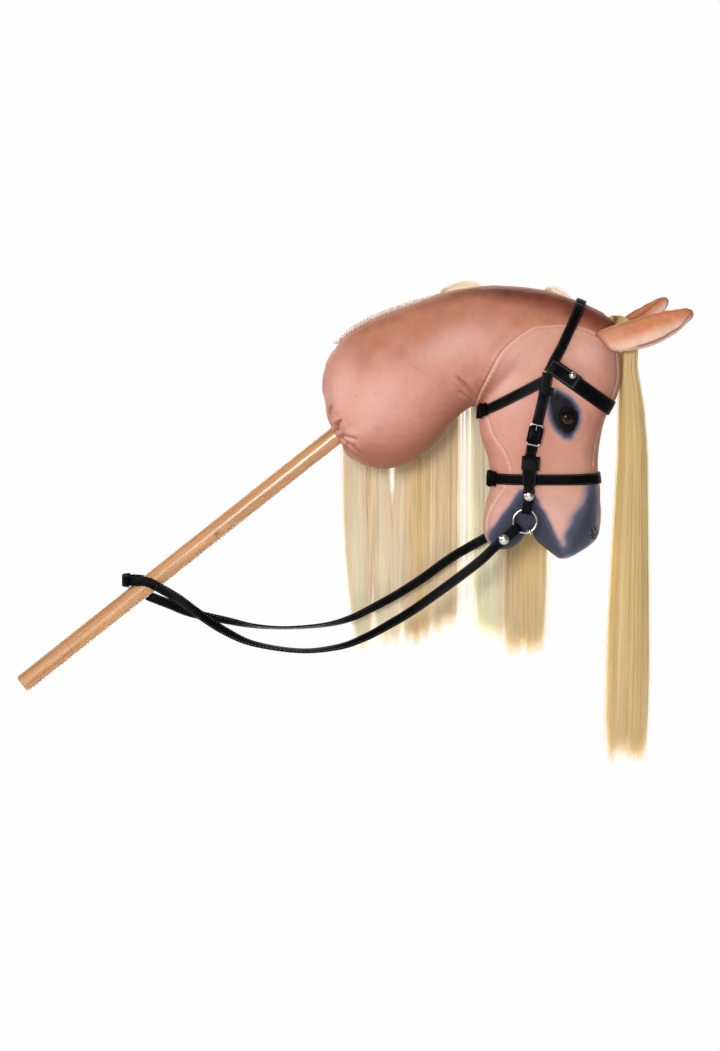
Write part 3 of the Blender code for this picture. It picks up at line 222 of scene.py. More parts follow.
# The stuffed forms, as sections from crest to underside ((x, z) high, (x, z) low, half width)
NECK_SECTIONS = (
    ((0.083, 0.087), (0.105, 0.063), 0.017),
    ((0.077, 0.109), (0.109, 0.044), 0.034),
    ((0.072, 0.133), (0.121, 0.035), 0.048),
    ((0.071, 0.157), (0.139, 0.026), 0.059),
    ((0.078, 0.184), (0.166, 0.022), 0.067),
    ((0.091, 0.205), (0.189, 0.026), 0.072),
    ((0.115, 0.229), (0.211, 0.037), 0.075),
    ((0.160, 0.253), (0.234, 0.053), 0.076),
    ((0.211, 0.271), (0.250, 0.070), 0.074),
    ((0.258, 0.287), (0.267, 0.091), 0.070),
    ((0.313, 0.296), (0.285, 0.109), 0.066),
    ((0.360, 0.295), (0.315, 0.127), 0.064),
    ((0.406, 0.289), (0.346, 0.139), 0.062),
    ((0.450, 0.275), (0.391, 0.157), 0.058),
    ((0.484, 0.260), (0.441, 0.175), 0.050),
    ((0.505, 0.247), (0.477, 0.187), 0.038),
    ((0.514, 0.234), (0.497, 0.204), 0.020),
)
HEAD_SECTIONS = (
    ((0.486, 0.250), (0.376, 0.199), 0.036),
    ((0.507, 0.229), (0.339, 0.169), 0.054),
    ((0.518, 0.199), (0.319, 0.139), 0.060),
    ((0.521, 0.169), (0.307, 0.112), 0.063),
    ((0.514, 0.134), (0.307, 0.091), 0.064),
    ((0.498, 0.103), (0.309, 0.073), 0.063),
    ((0.490, 0.073), (0.315, 0.052), 0.061),
    ((0.486, 0.044), (0.322, 0.028), 0.057),
    ((0.486, 0.019), (0.324, 0.010), 0.053),
    ((0.489, -0.004), (0.322, -0.007), 0.050),
    ((0.491, -0.026), (0.346, -0.023), 0.048),
    ((0.492, -0.041), (0.379, -0.035), 0.047),
    ((0.491, -0.056), (0.384, -0.050), 0.046),
    ((0.489, -0.071), (0.385, -0.068), 0.044),
    ((0.4830, -0.0850), (0.3930, -0.0850), 0.040),
    ((0.4700, -0.0960), (0.4065, -0.0970), 0.032),
    ((0.4540, -0.1050), (0.4185, -0.1060), 0.021),
    ((0.4410, -0.1110), (0.4265, -0.1115), 0.009),
)
JAW_SECTIONS = (
    ((0.372, -0.002), (0.339, 0.007), 0.020),
    ((0.378, -0.016), (0.327, -0.008), 0.031),
    ((0.381, -0.031), (0.318, -0.023), 0.037),
    ((0.382, -0.046), (0.315, -0.040), 0.039),
    ((0.381, -0.059), (0.313, -0.056), 0.039),
    ((0.378, -0.074), (0.315, -0.074), 0.037),
    ((0.370, -0.086), (0.321, -0.088), 0.031),
    ((0.358, -0.095), (0.331, -0.097), 0.020),
)
NECK_SQUARENESS, HEAD_SQUARENESS, JAW_SQUARENESS = 2.2, 2.5, 2.2

# Leather straps and the lines that they follow, seen from the side (x, z)
LEATHER = 0.0022
STRAP_LIFT = 0.0006
FINE_STEP = 0.002
HEADPIECE_WIDTH, BROWBAND_WIDTH, THROATLASH_WIDTH = 0.015, 0.023, 0.016
NOSEBAND_WIDTH, CHEEK_WIDTH, NOSEBAND_LOOP_WIDTH, RUNNER_WIDTH = 0.0165, 0.016, 0.021, 0.027
TEMPLE, POLL, BROW = (0.414, 0.180), (0.458, 0.271), (0.507, 0.113)
THROAT_FROM, THROAT_TO = (0.404, 0.159), (0.295, 0.101)
JAW_BACK, NOSE_FRONT = (0.322, 0.011), (0.486, 0.0105)
CHEEK_TOP, CHEEK_BEND, BUCKLE_CENTRE = (0.408, 0.170), (0.399, 0.124), (0.3888, 0.0792)
CHEEK_LOW, LOOP_TOP, LOOP_FOOT = (0.382, 0.048), (0.3815, 0.028), (0.381, 0.004)
RUNNER_TOP, RUNNER_FOOT, BILLET_END = (0.3835, 0.047), (0.3825, 0.028), (0.380, -0.0085)
FOLD_END = (0.4515, 0.1545)
THROAT_KEEPER = ((0.4075, 0.1500), (0.4045, 0.1385))

# The near cheek's buckle: its middle and its own axes up the strap, across it and out
BUCKLE_MIDDLE = Vector((0.38851, -0.06932, 0.0787))
BUCKLE_UP = Vector((0.2157, -0.0784, 0.9733))
BUCKLE_ACROSS = Vector((0.9756, -0.0247, -0.2182))
BUCKLE_OUT = Vector((-0.0411, -0.9966, -0.0712))
BUCKLE_LENGTH, BUCKLE_WIDTH, BUCKLE_WIRE, BUCKLE_CORNER = 0.033, 0.021, 0.0024, 0.003

# The bit
RING_DIAMETER, RING_WIRE, RING_PLAY = 0.038, 0.003, 0.0004
CHEEK_LOOP_ANGLE, CHEEK_LOOP_LENGTH = 81.0, 0.047
REIN_ANGLES = {"near": 221.0, "far": 211.0}
REIN_LOOP_LENGTH = 0.051
BIT_ANGLE = 295.0
BIT_BAR_DIAMETER, BIT_EYE_WALL = 0.005, 0.0014

# The reins (x, y, z), and the turn of the strap's flat side about its run in degrees
REIN_WIDTH, REIN_THICKNESS = 0.0145, 0.0026
REIN_ROUTES = {
    "near": (
        (0.307, -0.0545, -0.111, 8),
        (0.268, -0.0550, -0.141, 14),
        (0.211, -0.0545, -0.182, 24),
        (0.172, -0.0530, -0.206, 34),
        (0.135, -0.0510, -0.226, 48),
        (0.096, -0.0490, -0.240, 62),
        (0.039, -0.0450, -0.246, 72),
        (-0.030, -0.0395, -0.236, 66),
        (-0.074, -0.0345, -0.217, 44),
        (-0.113, -0.0290, -0.192, 26),
        (-0.147, -0.0225, -0.168, 12),
    ),
    "far": (
        (0.268, 0.0550, -0.114, -10),
        (0.222, 0.0545, -0.147, -16),
        (0.184, 0.0530, -0.171, -24),
        (0.145, 0.0510, -0.192, -34),
        (0.115, 0.0490, -0.206, -44),
        (0.076, 0.0460, -0.216, -62),
        (0.018, 0.0420, -0.220, -72),
        (-0.030, 0.0380, -0.217, -64),
        (-0.069, 0.0340, -0.209, -44),
        (-0.125, 0.0270, -0.196, -24),
        (-0.156, 0.0210, -0.183, -10),
    ),
}
JOIN_ENDS = {"near": (-0.176, -0.152), "far": (-0.183, -0.172)}
JOIN_TURN = (-0.2245, -0.144)
JOIN_LEAD = 0.012
JOIN_KEEPER_WIDTH, JOIN_KEEPER_LIFT, JOIN_KEEPER_REACH_DEG = 0.0185, 0.0008, 62.0

# What a mask's ramp gives where a colour stays away and where it covers
NOWHERE, EVERYWHERE = (0.0, 0.0, 0.0), (1.0, 1.0, 1.0)
NAP_SHEEN = {"Sheen Weight": 0.02, "Sheen Roughness": 0.40}


def linear(hex_colour):
    """A colour written as sRGB hex, as the linear values that the shaders take."""
    parts = [int(hex_colour[i : i + 2], 16) / 255 for i in (1, 3, 5)]
    return tuple(p / 12.92 if p <= 0.04045 else ((p + 0.055) / 1.055) ** 2.4 for p in parts)


def shaded(colour, share):
    """A colour made darker or lighter."""
    return tuple(min(1.0, c * share) for c in colour)


def add_node(tree, kind, settings=None, links=None, out=0):
    """Add one shader node and give back one of its outputs. A setting is a property of the node,
    the stops of its colour ramp or the value of an input. A link joins an input to another node's
    output, or gives it a plain colour."""
    node = tree.nodes.new("ShaderNode" + kind)
    for name, value in (settings or {}).items():
        if name == "stops":
            elements = node.color_ramp.elements
            while len(elements) < len(value):
                elements.new(0.5)
            for element, (place, colour) in zip(elements, value):
                element.position, element.color = place, (*colour[:3], 1.0)
        elif isinstance(name, str) and name in node.bl_rna.properties:
            setattr(node, name, value)
        else:
            node.inputs[name].default_value = value
    for name, source in (links or {}).items():
        if isinstance(source, bpy.types.NodeSocket):
            tree.links.new(source, node.inputs[name])
        else:
            node.inputs[name].default_value = (*source[:3], 1.0)
    return node.outputs[out]


def finish_named(name, paint):
    """The named material, made once. The paint function lays its nodes and gives the shader's
    output."""
    found = bpy.data.materials.get(name)
    if found:
        return found
    made = bpy.data.materials.new(name)
    made.use_nodes = True
    tree = made.node_tree
    tree.nodes.clear()
    end = tree.nodes.new("ShaderNodeOutputMaterial")
    tree.links.new(paint(partial(add_node, tree)), end.inputs["Surface"])
    return made


def laid_over(add, colour, *layers):
    """A colour with others laid over it. A layer is where it goes (a mask stored on the mesh's
    points, or an output), how strongly, and its colour."""
    for where, share, laid in layers:
        if isinstance(where, str):
            where = add("Attribute", {"attribute_name": where}, out="Fac")
        part = add("Math", {"operation": "MULTIPLY", 1: share}, {0: where})
        colour = add("Mix", {"data_type": "RGBA"}, {0: part, 6: colour, 7: laid}, out=2)
    return colour


def mesh_piece(name, points, faces, finishes, smooth_angle=50.0, finish_of=None):
    """An object from points and faces, in the part's own frame."""
    mesh = bpy.data.meshes.new(name)
    mesh.from_pydata([tuple(p) for p in points], [], [tuple(f) for f in faces])
    for finish in finishes:
        mesh.materials.append(finish)
    if finish_of is not None:
        mesh.polygons.foreach_set("material_index", np.array(finish_of, np.int32))
    mesh.shade_smooth()
    mesh.set_sharp_from_angle(angle=radians(smooth_angle))
    mesh.update()
    piece = bpy.data.objects.new(name, mesh)
    bpy.context.scene.collection.objects.link(piece)
    return piece


def outward_faces(piece, smooth_angle=50.0):
    """Turn a closed piece's faces outward."""
    work = bmesh.new()
    work.from_mesh(piece.data)
    bmesh.ops.recalc_face_normals(work, faces=work.faces)
    work.to_mesh(piece.data)
    work.free()
    piece.data.set_sharp_from_angle(angle=radians(smooth_angle))
    return piece


def settled(piece):
    """The piece with its modifiers worked into its mesh."""
    graph = bpy.context.evaluated_depsgraph_get()
    mesh = bpy.data.meshes.new_from_object(piece.evaluated_get(graph))
    piece.modifiers.clear()
    old, piece.data = piece.data, mesh
    bpy.data.meshes.remove(old)
    return piece


def smooth_through(rows, count):
    """Rows of numbers on a smooth curve through the given rows."""
    rows = np.array(rows, float)
    ends = np.vstack([2 * rows[0] - rows[1], rows, 2 * rows[-1] - rows[-2]])
    t = np.linspace(0, len(rows) - 1, count)
    i = np.minimum(t.astype(int), len(rows) - 2)
    f = (t - i)[:, None]
    a, b, c, d = (ends[i + k] for k in range(4))
    return 0.5 * (
        2 * b + (c - a) * f + (2 * a - 5 * b + 4 * c - d) * f**2 + (3 * b - a - 3 * c + d) * f**3
    )


def bridge(rings, close_ends=True, closed=False):
    """Points and faces through rings of equal count."""
    sides, count = len(rings[0]), len(rings)
    points = [tuple(p) for ring in rings for p in ring]
    faces = []
    for r in range(count if closed else count - 1):
        low, high = r * sides, (r + 1) % count * sides
        faces.extend(
            (low + k, low + (k + 1) % sides, high + (k + 1) % sides, high + k) for k in range(sides)
        )
    if close_ends and not closed:
        faces.append(tuple(range(sides - 1, -1, -1)))
        faces.append(tuple(range((count - 1) * sides, count * sides)))
    return points, faces


def turned(name, origin, axis, profile, sides, finish, smooth_angle=40.0):
    """A form turned about an axis through (radius, distance along) pairs. Where they don't begin
    and end on the axis it is closed into a ring."""
    axis = Vector(axis).normalized()
    u = axis.orthogonal().normalized()
    v = axis.cross(u)
    closed = profile[0][0] > 0
    points, rings = [], []
    for radius, along in profile:
        centre = Vector(origin) + axis * along
        if radius <= 0:
            rings.append([len(points)])
            points.append(centre)
            continue
        rings.append(list(range(len(points), len(points) + sides)))
        for k in range(sides):
            a = 2 * pi * k / sides
            points.append(centre + (u * cos(a) + v * sin(a)) * radius)
    pairs = list(zip(rings, rings[1:])) + ([(rings[-1], rings[0])] if closed else [])
    faces = []
    for low, high in pairs:
        for k in range(sides):
            corner = [
                low[k % len(low)],
                low[(k + 1) % len(low)],
                high[(k + 1) % len(high)],
                high[k % len(high)],
            ]
            faces.append(tuple(dict.fromkeys(corner)))
    return outward_faces(mesh_piece(name, points, faces, [finish], smooth_angle), smooth_angle)


def tube(name, path, radius, sides, finish, closed=False):
    """A wire of round section along a path of points. The radius may be a list, one for each
    point."""
    count = len(path)
    radii = radius if isinstance(radius, (list, tuple)) else [radius] * count
    loops, last_u = [], None
    for i, point in enumerate(path):
        before = path[i - 1] if closed or i else path[0]
        after = path[(i + 1) % count] if closed or i < count - 1 else path[-1]
        run = (Vector(after) - Vector(before)).normalized()
        guess = last_u if last_u is not None else run.orthogonal()
        u = (guess - run * guess.dot(run)).normalized()
        last_u = u
        v = run.cross(u)
        turns = [2 * pi * k / sides for k in range(sides)]
        loops.append([Vector(point) + (u * cos(a) + v * sin(a)) * radii[i] for a in turns])
    points, faces = bridge(loops, closed=closed)
    return outward_faces(mesh_piece(name, points, faces, [finish]))


def in_plane(point):
    return Vector((point[0], 0.0, point[1]))


def ring_angle(angle_deg):
    a = radians(angle_deg)
    return Vector((cos(a), 0.0, sin(a)))


def ring_centre(side_name):
    low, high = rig.box(side_name + "_bit_ring")
    return (low + high) / 2


def strap_body(name, frames, width, thickness, finishes, closed=False, stitched=True, inset=0.0018):
    """A leather strap through frames on its inner face (point, outward, sideways): rounded edges, a
    crease beside each edge, a slightly full middle, and a row of stitches in each crease."""
    half, r, t = width / 2, STRAP_EDGE_RADIUS, thickness
    section = [
        (-half + r, 0.0),
        (half - r, 0.0),
        (half - 0.25 * r, 0.1 * t),
        (half, 0.4 * t),
        (half, 0.66 * t),
    ]
    section += [
        (half - 0.3 * r, 0.86 * t),
        (half - r, 0.95 * t),
        (half - inset, 0.90 * t),
        (half - inset * 1.7, 1.0 * t),
    ]
    section += [(0.0, 1.06 * t)]
    section += [(-a, b) for a, b in reversed(section[2:-1])]
    loops = []
    for point, outward, sideways in frames:
        loops.append([point + sideways * a + outward * b for a, b in section])
    points, faces = bridge(loops, closed=closed)
    finish_of = [0] * len(faces)
    if stitched:
        count = len(frames)
        last = count if closed else count - 2
        for i in range(0 if closed else 1, last):
            for edge in (-1, 1):
                ends = []
                for share in (0.12, 0.88):
                    a, b = frames[i % count], frames[(i + 1) % count]
                    base = a[0].lerp(b[0], share) + a[1].lerp(b[1], share) * 0.915 * t
                    ends.append(base + a[2].lerp(b[2], share) * edge * (half - inset))
                out, side = frames[i % count][1], frames[i % count][2]
                first = len(points)
                middle = (ends[0] + ends[1]) / 2
                points += [ends[0], middle + side * STITCH_HALF_WIDTH, ends[1]]
                points += [middle - side * STITCH_HALF_WIDTH, middle + out * STITCH_RISE]
                faces += [(first + k, first + (k + 1) % 4, first + 4) for k in range(4)]
                finish_of += [1] * 4
    return mesh_piece(name, points, faces, finishes, 55.0, finish_of)


def free_strap_frames(rows, step):
    """A hanging strap's frames from its middle line and the turn of its flat side, and its line."""
    line = smooth_through(rows, 60)[:, :3]
    length = float(np.linalg.norm(np.diff(line, axis=0), axis=1).sum())
    count = max(8, round(length / step))
    rows = smooth_through(rows, count)
    line = [Vector(r[:3]) for r in rows]
    frames, ends = [], None
    for i, row in enumerate(rows):
        run = (line[min(i + 1, count - 1)] - line[max(i - 1, 0)]).normalized()
        level = run.cross(UP).normalized()
        outward = level if level.y < 0 else -level
        outward.rotate(Matrix.Rotation(radians(row[3]), 3, run))
        sideways = run.cross(outward)
        frames.append((line[i] - outward * REIN_THICKNESS / 2, outward, sideways))
        ends = (line[i], run, outward, sideways)
    return frames, line, ends


def join_frames(near_end, far_end):
    """The reins' common end, bent round the stick."""
    hold = abs(near_end[0].y)
    bend_x, bend_z = JOIN_TURN[0] + hold, JOIN_TURN[1]
    gap = 0.0003
    start, finish = (end[0] + end[1] * gap for end in (near_end, far_end))
    near_lead, far_lead = (end[0] + end[1] * JOIN_LEAD for end in (near_end, far_end))
    near_lead.y, far_lead.y = -hold, hold
    centre = [start, start.lerp(near_lead, 0.5), near_lead]
    turn_from = Vector((bend_x + JOIN_LEAD, -hold, bend_z))
    centre += [near_lead.lerp(turn_from, 0.5), turn_from]
    for k in range(17):
        a = pi * k / 16
        centre.append(Vector((bend_x - hold * sin(a), -hold * cos(a), bend_z)))
    turn_to = Vector((bend_x + JOIN_LEAD, hold, bend_z))
    centre += [turn_to, turn_to.lerp(far_lead, 0.5), far_lead, far_lead.lerp(finish, 0.5), finish]
    frames = []
    for i, point in enumerate(centre):
        if i in (0, len(centre) - 1):
            _, _, outward, sideways = near_end if i == 0 else far_end
            if point.y > 0:
                outward = -outward
        else:
            run = (centre[i + 1] - centre[i - 1]).normalized()
            outward = run.cross(UP).normalized()
            if outward.dot(point - Vector((bend_x, 0, point.z))) < 0:
                outward = -outward
            sideways = run.cross(outward)
        if sideways.z < 0:
            sideways = -sideways
        frames.append((point - outward * REIN_THICKNESS / 2, outward, sideways))
    keeper, radius = [], hold + REIN_THICKNESS / 2 + JOIN_KEEPER_LIFT
    for k in range(17):
        a = radians(JOIN_KEEPER_REACH_DEG * (k / 8 - 1))
        out = Vector((-cos(a), sin(a), 0))
        keeper.append((Vector((bend_x, 0, bend_z)) + out * radius, out, UP.copy()))
    return frames, keeper


def paint_leather(add):
    """Finished cowhide, drum dyed black: pebbled grain that breaks a soft gloss, edges a little
    dry."""
    black = bpy.context.scene.horse_colours.leather
    place = add("TexCoord", out="Object")
    pebbles = add("TexVoronoi", {"Scale": 1000 / 1.1}, {"Vector": place})
    swell = add("TexNoise", {"Scale": 1000 / 6.0}, {"Vector": place})
    wear = add(
        "TexNoise", {"Scale": 1000 / 22.0, "Detail": 4.0, "Roughness": 0.6}, {"Vector": place}
    )
    scuffed = tuple(c * 1.6 + 0.002 for c in black)
    colour = add("ValToRGB", {"stops": ((0.35, black), (0.85, scuffed))}, {"Fac": wear})
    rough = add("MapRange", {"To Min": 0.30, "To Max": 0.46}, {"Value": wear})
    under = add("Bump", {"Strength": 0.3, "Distance": 0.0003}, {"Height": swell})
    relief = add(
        "Bump", {"Strength": 0.55, "Distance": 0.00016}, {"Height": pebbles, "Normal": under}
    )
    links = {"Base Color": colour, "Roughness": rough, "Normal": relief}
    return add("BsdfPrincipled", {"IOR": 1.5, "Specular IOR Level": 0.035}, links)


def paint_thread(add):
    """Waxed polyester thread: twisted plies give each stitch a fine sheen."""
    black = bpy.context.scene.horse_colours.thread
    plies = add("TexNoise", {"Scale": 1000 / 0.8}, {"Vector": add("TexCoord", out="Object")})
    colour = add("ValToRGB", {"stops": ((0.3, black), (0.8, shaded(black, 1.8)))}, {"Fac": plies})
    return add("BsdfPrincipled", {"Roughness": 0.55, "IOR": 1.5}, {"Base Color": colour})


def paint_pale_thread(add):
    """The lighter waxed thread of the browband's folded ends, drawn 1.2 mm wide so that it
    shows."""
    plies = add("TexNoise", {"Scale": 1000 / 0.8}, {"Vector": add("TexCoord", out="Object")})
    stops = ((0.3, linear("#4E4E54")), (0.8, linear("#8A8A90")))
    colour = add("ValToRGB", {"stops": stops}, {"Fac": plies})
    return add("BsdfPrincipled", {"Roughness": 0.55, "IOR": 1.5}, {"Base Color": colour})


def paint_nickel(add):
    """Polished nickel plate: bright, barely yellow, with hairline handling marks."""
    bright = bpy.context.scene.horse_colours.nickel
    place = add("TexCoord", out="Object")
    drawn = add("Mapping", {"Scale": (1.0, 1.0, 6.0)}, {"Vector": place})
    marks, tarnish = (
        add("TexNoise", {"Scale": 1000 / size, "Detail": 3.0, "Roughness": 0.6}, {"Vector": where})
        for size, where in ((1.5, drawn), (9.0, place))
    )
    stops = ((0.45, bright), (0.8, shaded(bright, 0.72)))
    colour = add("ValToRGB", {"stops": stops}, {"Fac": tarnish})
    rough = add("MapRange", {"To Min": 0.10, "To Max": 0.26}, {"Value": marks})
    relief = add("Bump", {"Strength": 0.25, "Distance": 0.00002}, {"Height": marks})
    links = {"Base Color": colour, "Roughness": rough, "Normal": relief}
    return add("BsdfPrincipled", {"Metallic": 1.0}, links)


def paint_floor(add):
    """Matt white background paper: fine paper tooth, no gloss."""
    tooth = add("TexNoise", {"Scale": 1000 / 3.0}, {"Vector": add("TexCoord", out="Object")})
    stops = ((0.3, linear("#FAFAFA")), (0.7, linear("#FDFDFD")))
    colour = add("ValToRGB", {"stops": stops}, {"Fac": tooth})
    return add("BsdfPrincipled", {"Roughness": 0.95}, {"Base Color": colour})


def paint_surround(add):
    """The same paper as the camera sees it: lit so evenly that it reads as white from every
    side."""
    tooth = add("TexNoise", {"Scale": 1000 / 3.0}, {"Vector": add("TexCoord", out="Object")})
    stops = ((0.3, linear("#FDFDFD")), (0.7, linear("#FFFFFF")))
    colour = add("ValToRGB", {"stops": stops}, {"Fac": tooth})
    return add("Emission", {"Strength": 1.0}, {"Color": colour})


def leather():
    return finish_named("finished_cowhide", paint_leather)


def pale_thread():
    return finish_named("pale_waxed_thread", paint_pale_thread)


def thread():
    return finish_named("waxed_polyester_thread", paint_thread)


def nickel():
    return finish_named("polished_nickel_plate", paint_nickel)


def length_property(name, description, default, low, high):
    return FloatProperty(
        name=name,
        description=description,
        default=default,
        min=low,
        max=high,
        subtype="DISTANCE",
        unit="LENGTH",
    )


class HorseSizes(bpy.types.PropertyGroup):
    """Sizes of the finished surface that a user would change."""

    stuffing_rise: length_property(
        "Stuffing rise", "How far the stuffing may press the cloth out between its seams", 0.004,
        0.0, 0.008
    )
    seam_depth: length_property(
        "Seam depth", "How far a seam draws the cloth in", 0.0016, 0.0, 0.004
    )
    stitch_inset: length_property(
        "Stitch inset", "How far the stitches run from a strap's edge", 0.0018, 0.001, 0.004
    )
    strand_width: length_property(
        "Strand width", "Width of a drawn strand of hair, which is several fibres", 0.0005, 0.0002,
        0.002
    )
    lock_strands: IntProperty(
        name="Strands in a lock", description="How many strands each lock of the mane has",
        default=3000, min=200, max=8000
    )


def colour_property(name, description, hex_colour):
    return FloatVectorProperty(
        name=name, description=description, default=linear(hex_colour), size=3, min=0.0, max=1.0,
        subtype="COLOR"
    )


class HorseColours(bpy.types.PropertyGroup):
    """Colours of the finishes."""

    coat: colour_property("Coat", "The velour's own rose brown", "#CB8D7D")
    crest: colour_property("Crest", "The browner shade along the crest", "#7A3D28")
    tan: colour_property("Tan", "The tan shade over the neck's upper side", "#BA785D")
    bloom: colour_property("Bloom", "The coat where its nap lies over and shows lighter", "#DDADA2")
    cheek: colour_property("Cheek", "The peach shade of the face panel", "#CE9B85")
    blush: colour_property("Muzzle", "The pink of the muzzle", "#D3A596")
    shade: colour_property(
        "Face shade", "The blue grey sprayed round the nose and the mouth", "#3F404F"
    )
    ear: colour_property("Ears", "The orange tan of the ears", "#D0875E")
    leather: colour_property("Leather", "Dyed leather", "#060607")
    thread: colour_property("Thread", "Stitching on the leather", "#6C6C72")
    nickel: colour_property("Nickel", "Plated rings, buckles and studs", "#D9D7D0")
    hair: colour_property("Hair", "The lighter hair", "#FFF4E1")
    hair_deep: colour_property(
        "Hair, deeper", "The golden strands between the lighter ones", "#F5DF9C"
    )
    wood: colour_property("Wood", "The stick under its varnish", "#C48E5D")
    iris: colour_property("Iris", "The brown ring of the eye", "#452716")


# The paper behind and under the toy that throws light back: where it starts, where it bends up
PAPER_FRONT, PAPER_BEND_FROM, PAPER_BEND_RADIUS, PAPER_HALF_WIDTH = -5.0, 1.4, 1.6, 6.0
# The floor and walls that the camera sees, as (radius, height over the floor)
WALL_PROFILE = ((0.0, 0.0), (13.0, 0.0), (15.0, 0.5), (16.0, 2.0), (16.0, 14.0), (0.0, 20.0))
WORLD_STRENGTH = 0.16
# Each light's name, place, aim, width, power in watts and colour
LIGHTS = (
    ("key_light", (-0.55, -4.1, 0.85), (0.15, 0.0, 0.05), 1.1, 105.0, (1.0, 0.985, 0.965)),
    ("side_light", (-2.7, -2.3, 0.9), (0.15, 0.0, 0.05), 1.6, 34.0, (1.0, 0.97, 0.96)),
    ("fill_light", (0.5, -3.4, -0.9), (0.25, 0.0, 0.0), 2.0, 8.0, (1.0, 0.99, 0.97)),
    ("top_light", (0.1, 0.3, 3.2), (0.1, 0.0, 0.0), 2.0, 26.0, (1.0, 0.96, 0.90)),
    ("front_light", (4.0, 0.4, 0.7), (0.45, 0.0, 0.0), 1.6, 5.0, (1.0, 0.98, 0.96)),
    ("back_light", (-1.0, 2.3, 1.1), (0.25, 0.0, 0.0), 1.2, 4.5, (1.0, 0.98, 0.96)),
    ("paper_light_high", (0.1, 1.3, 2.0), (0.1, 3.0, 1.0), 1.6, 60.0, (1.0, 1.0, 1.0)),
    ("paper_light_low", (0.1, 0.9, -1.05), (0.1, 3.0, -0.4), 1.0, 45.0, (1.0, 1.0, 1.0)),
)


class HORSE_OT_stage(bpy.types.Operator):
    """Lay the white floor and the paper that throws light back, hang the lights, set the camera"""

    bl_idname = "horse.stage"
    bl_label = "Stage"

    def execute(self, context):
        bend_y, bend = PAPER_BEND_FROM, PAPER_BEND_RADIUS
        rows = [(PAPER_FRONT + k * (bend_y - PAPER_FRONT) / 6, FLOOR_Z) for k in range(7)]
        for k in range(1, 13):
            a = radians(90 * k / 12)
            rows.append((bend_y + bend * sin(a), FLOOR_Z + bend * (1 - cos(a))))
        rows += [(bend_y + bend, FLOOR_Z + bend + k * 0.6) for k in range(1, 7)]
        points = [(x, y, z) for y, z in rows for x in (-PAPER_HALF_WIDTH, PAPER_HALF_WIDTH)]
        faces = [(2 * k, 2 * k + 1, 2 * k + 3, 2 * k + 2) for k in range(len(rows) - 1)]
        paper = mesh_piece(
            "bounce_paper", points, faces, [finish_named("matt_white_paper", paint_floor)], 80.0
        )
        paper.visible_camera = False
        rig.stage(paper)
        white = finish_named("evenly_lit_white_paper", paint_surround)
        floor = turned(
            "white_floor_and_walls", Vector((0.0, 0.0, FLOOR_Z)), UP, WALL_PROFILE, 48, white
        )
        for ray in ("diffuse", "glossy", "transmission", "volume_scatter", "shadow"):
            setattr(floor, "visible_" + ray, False)
        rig.stage(floor)
        for name, place, aim, size, power, colour in LIGHTS:
            lamp = bpy.data.lights.new(name, "AREA")
            lamp.shape, lamp.size, lamp.energy, lamp.color = "DISK", size, power, colour
            light = bpy.data.objects.new(name, lamp)
            context.scene.collection.objects.link(light)
            light.location = place
            light.visible_camera = False
            light.rotation_euler = (Vector(aim) - Vector(place)).to_track_quat("-Z", "Y").to_euler()
        world = bpy.data.worlds.new("studio")
        context.scene.world = world
        world.use_nodes = True
        background = world.node_tree.nodes["Background"]
        background.inputs["Color"].default_value = (1.0, 1.0, 1.0, 1.0)
        background.inputs["Strength"].default_value = WORLD_STRENGTH
        lens = bpy.data.cameras.new("camera")
        lens.sensor_fit = "VERTICAL"
        lens.sensor_height = SENSOR
        lens.sensor_width = SENSOR
        lens.lens = SENSOR * VIEW_DISTANCE / VIEW_HEIGHT
        camera = bpy.data.objects.new("camera", lens)
        context.scene.collection.objects.link(camera)
        rise = radians(VIEW_ELEVATION_DEG)
        camera.location = Vector(VIEW_TARGET) + Vector((0.0, -cos(rise), sin(rise))) * VIEW_DISTANCE
        camera.rotation_euler = (pi / 2 - rise, 0.0, 0.0)
        lens.clip_end = 60.0
        context.scene.camera = camera
        context.scene.view_settings.view_transform = "Standard"
        return {"FINISHED"}


class HORSE_OT_reins(bpy.types.Operator):
    """Hang the two reins and their join round the stick"""

    bl_idname = "horse.reins"
    bl_label = "Reins"

    def execute(self, context):
        inset = context.scene.horse_sizes.stitch_inset
        ends, lines, straps = [], [], []
        for side_name, side in SIDES.items():
            u = ring_angle(REIN_ANGLES[side_name])
            first = ring_centre(side_name) + u * (REIN_LOOP_LENGTH + 0.0003)
            hold = side * (STICK_RADIUS + REIN_THICKNESS)
            end = (JOIN_ENDS[side_name][0], hold, JOIN_ENDS[side_name][1], 0)
            rows = [(*first, 0), (*(first + u * 0.012), 0), *REIN_ROUTES[side_name], end]
            frames, line, last = free_strap_frames(rows, 0.004)
            rein = strap_body(
                side_name + "_rein_strap", frames, REIN_WIDTH, REIN_THICKNESS,
                [leather(), thread()], inset=inset
            )
            put_on(rein, "horse", side_name + "_rein")
            ends.append(last)
            lines.append(line)
            straps.append(rein)
        frames, keeper_frames = join_frames(*ends)
        join = strap_body(
            "rein_join_strap",
            frames,
            REIN_WIDTH,
            REIN_THICKNESS,
            [leather(), thread()],
            stitched=False,
        )
        keeper = strap_body(
            "rein_join_keeper_strap", keeper_frames, JOIN_KEEPER_WIDTH, LEATHER,
            [leather(), thread()], inset=inset
        )
        put_on(join, "horse", "rein_join")
        put_on(keeper, "horse", "rein_join_keeper")
        for rein, line, pieces in (
            (straps[0], lines[0], [join, keeper]), (straps[1], lines[1], [])
        ):
            length = sum((b - a).length for a, b in zip(line, line[1:]))
            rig.cord(
                rein,
                exit=line[0],
                length=length,
                diameter=REIN_WIDTH,
                far_end="object",
                stiffness="limp",
                lay="hanging",
                path=line,
                with_pieces=pieces,
            )
        return {"FINISHED"}


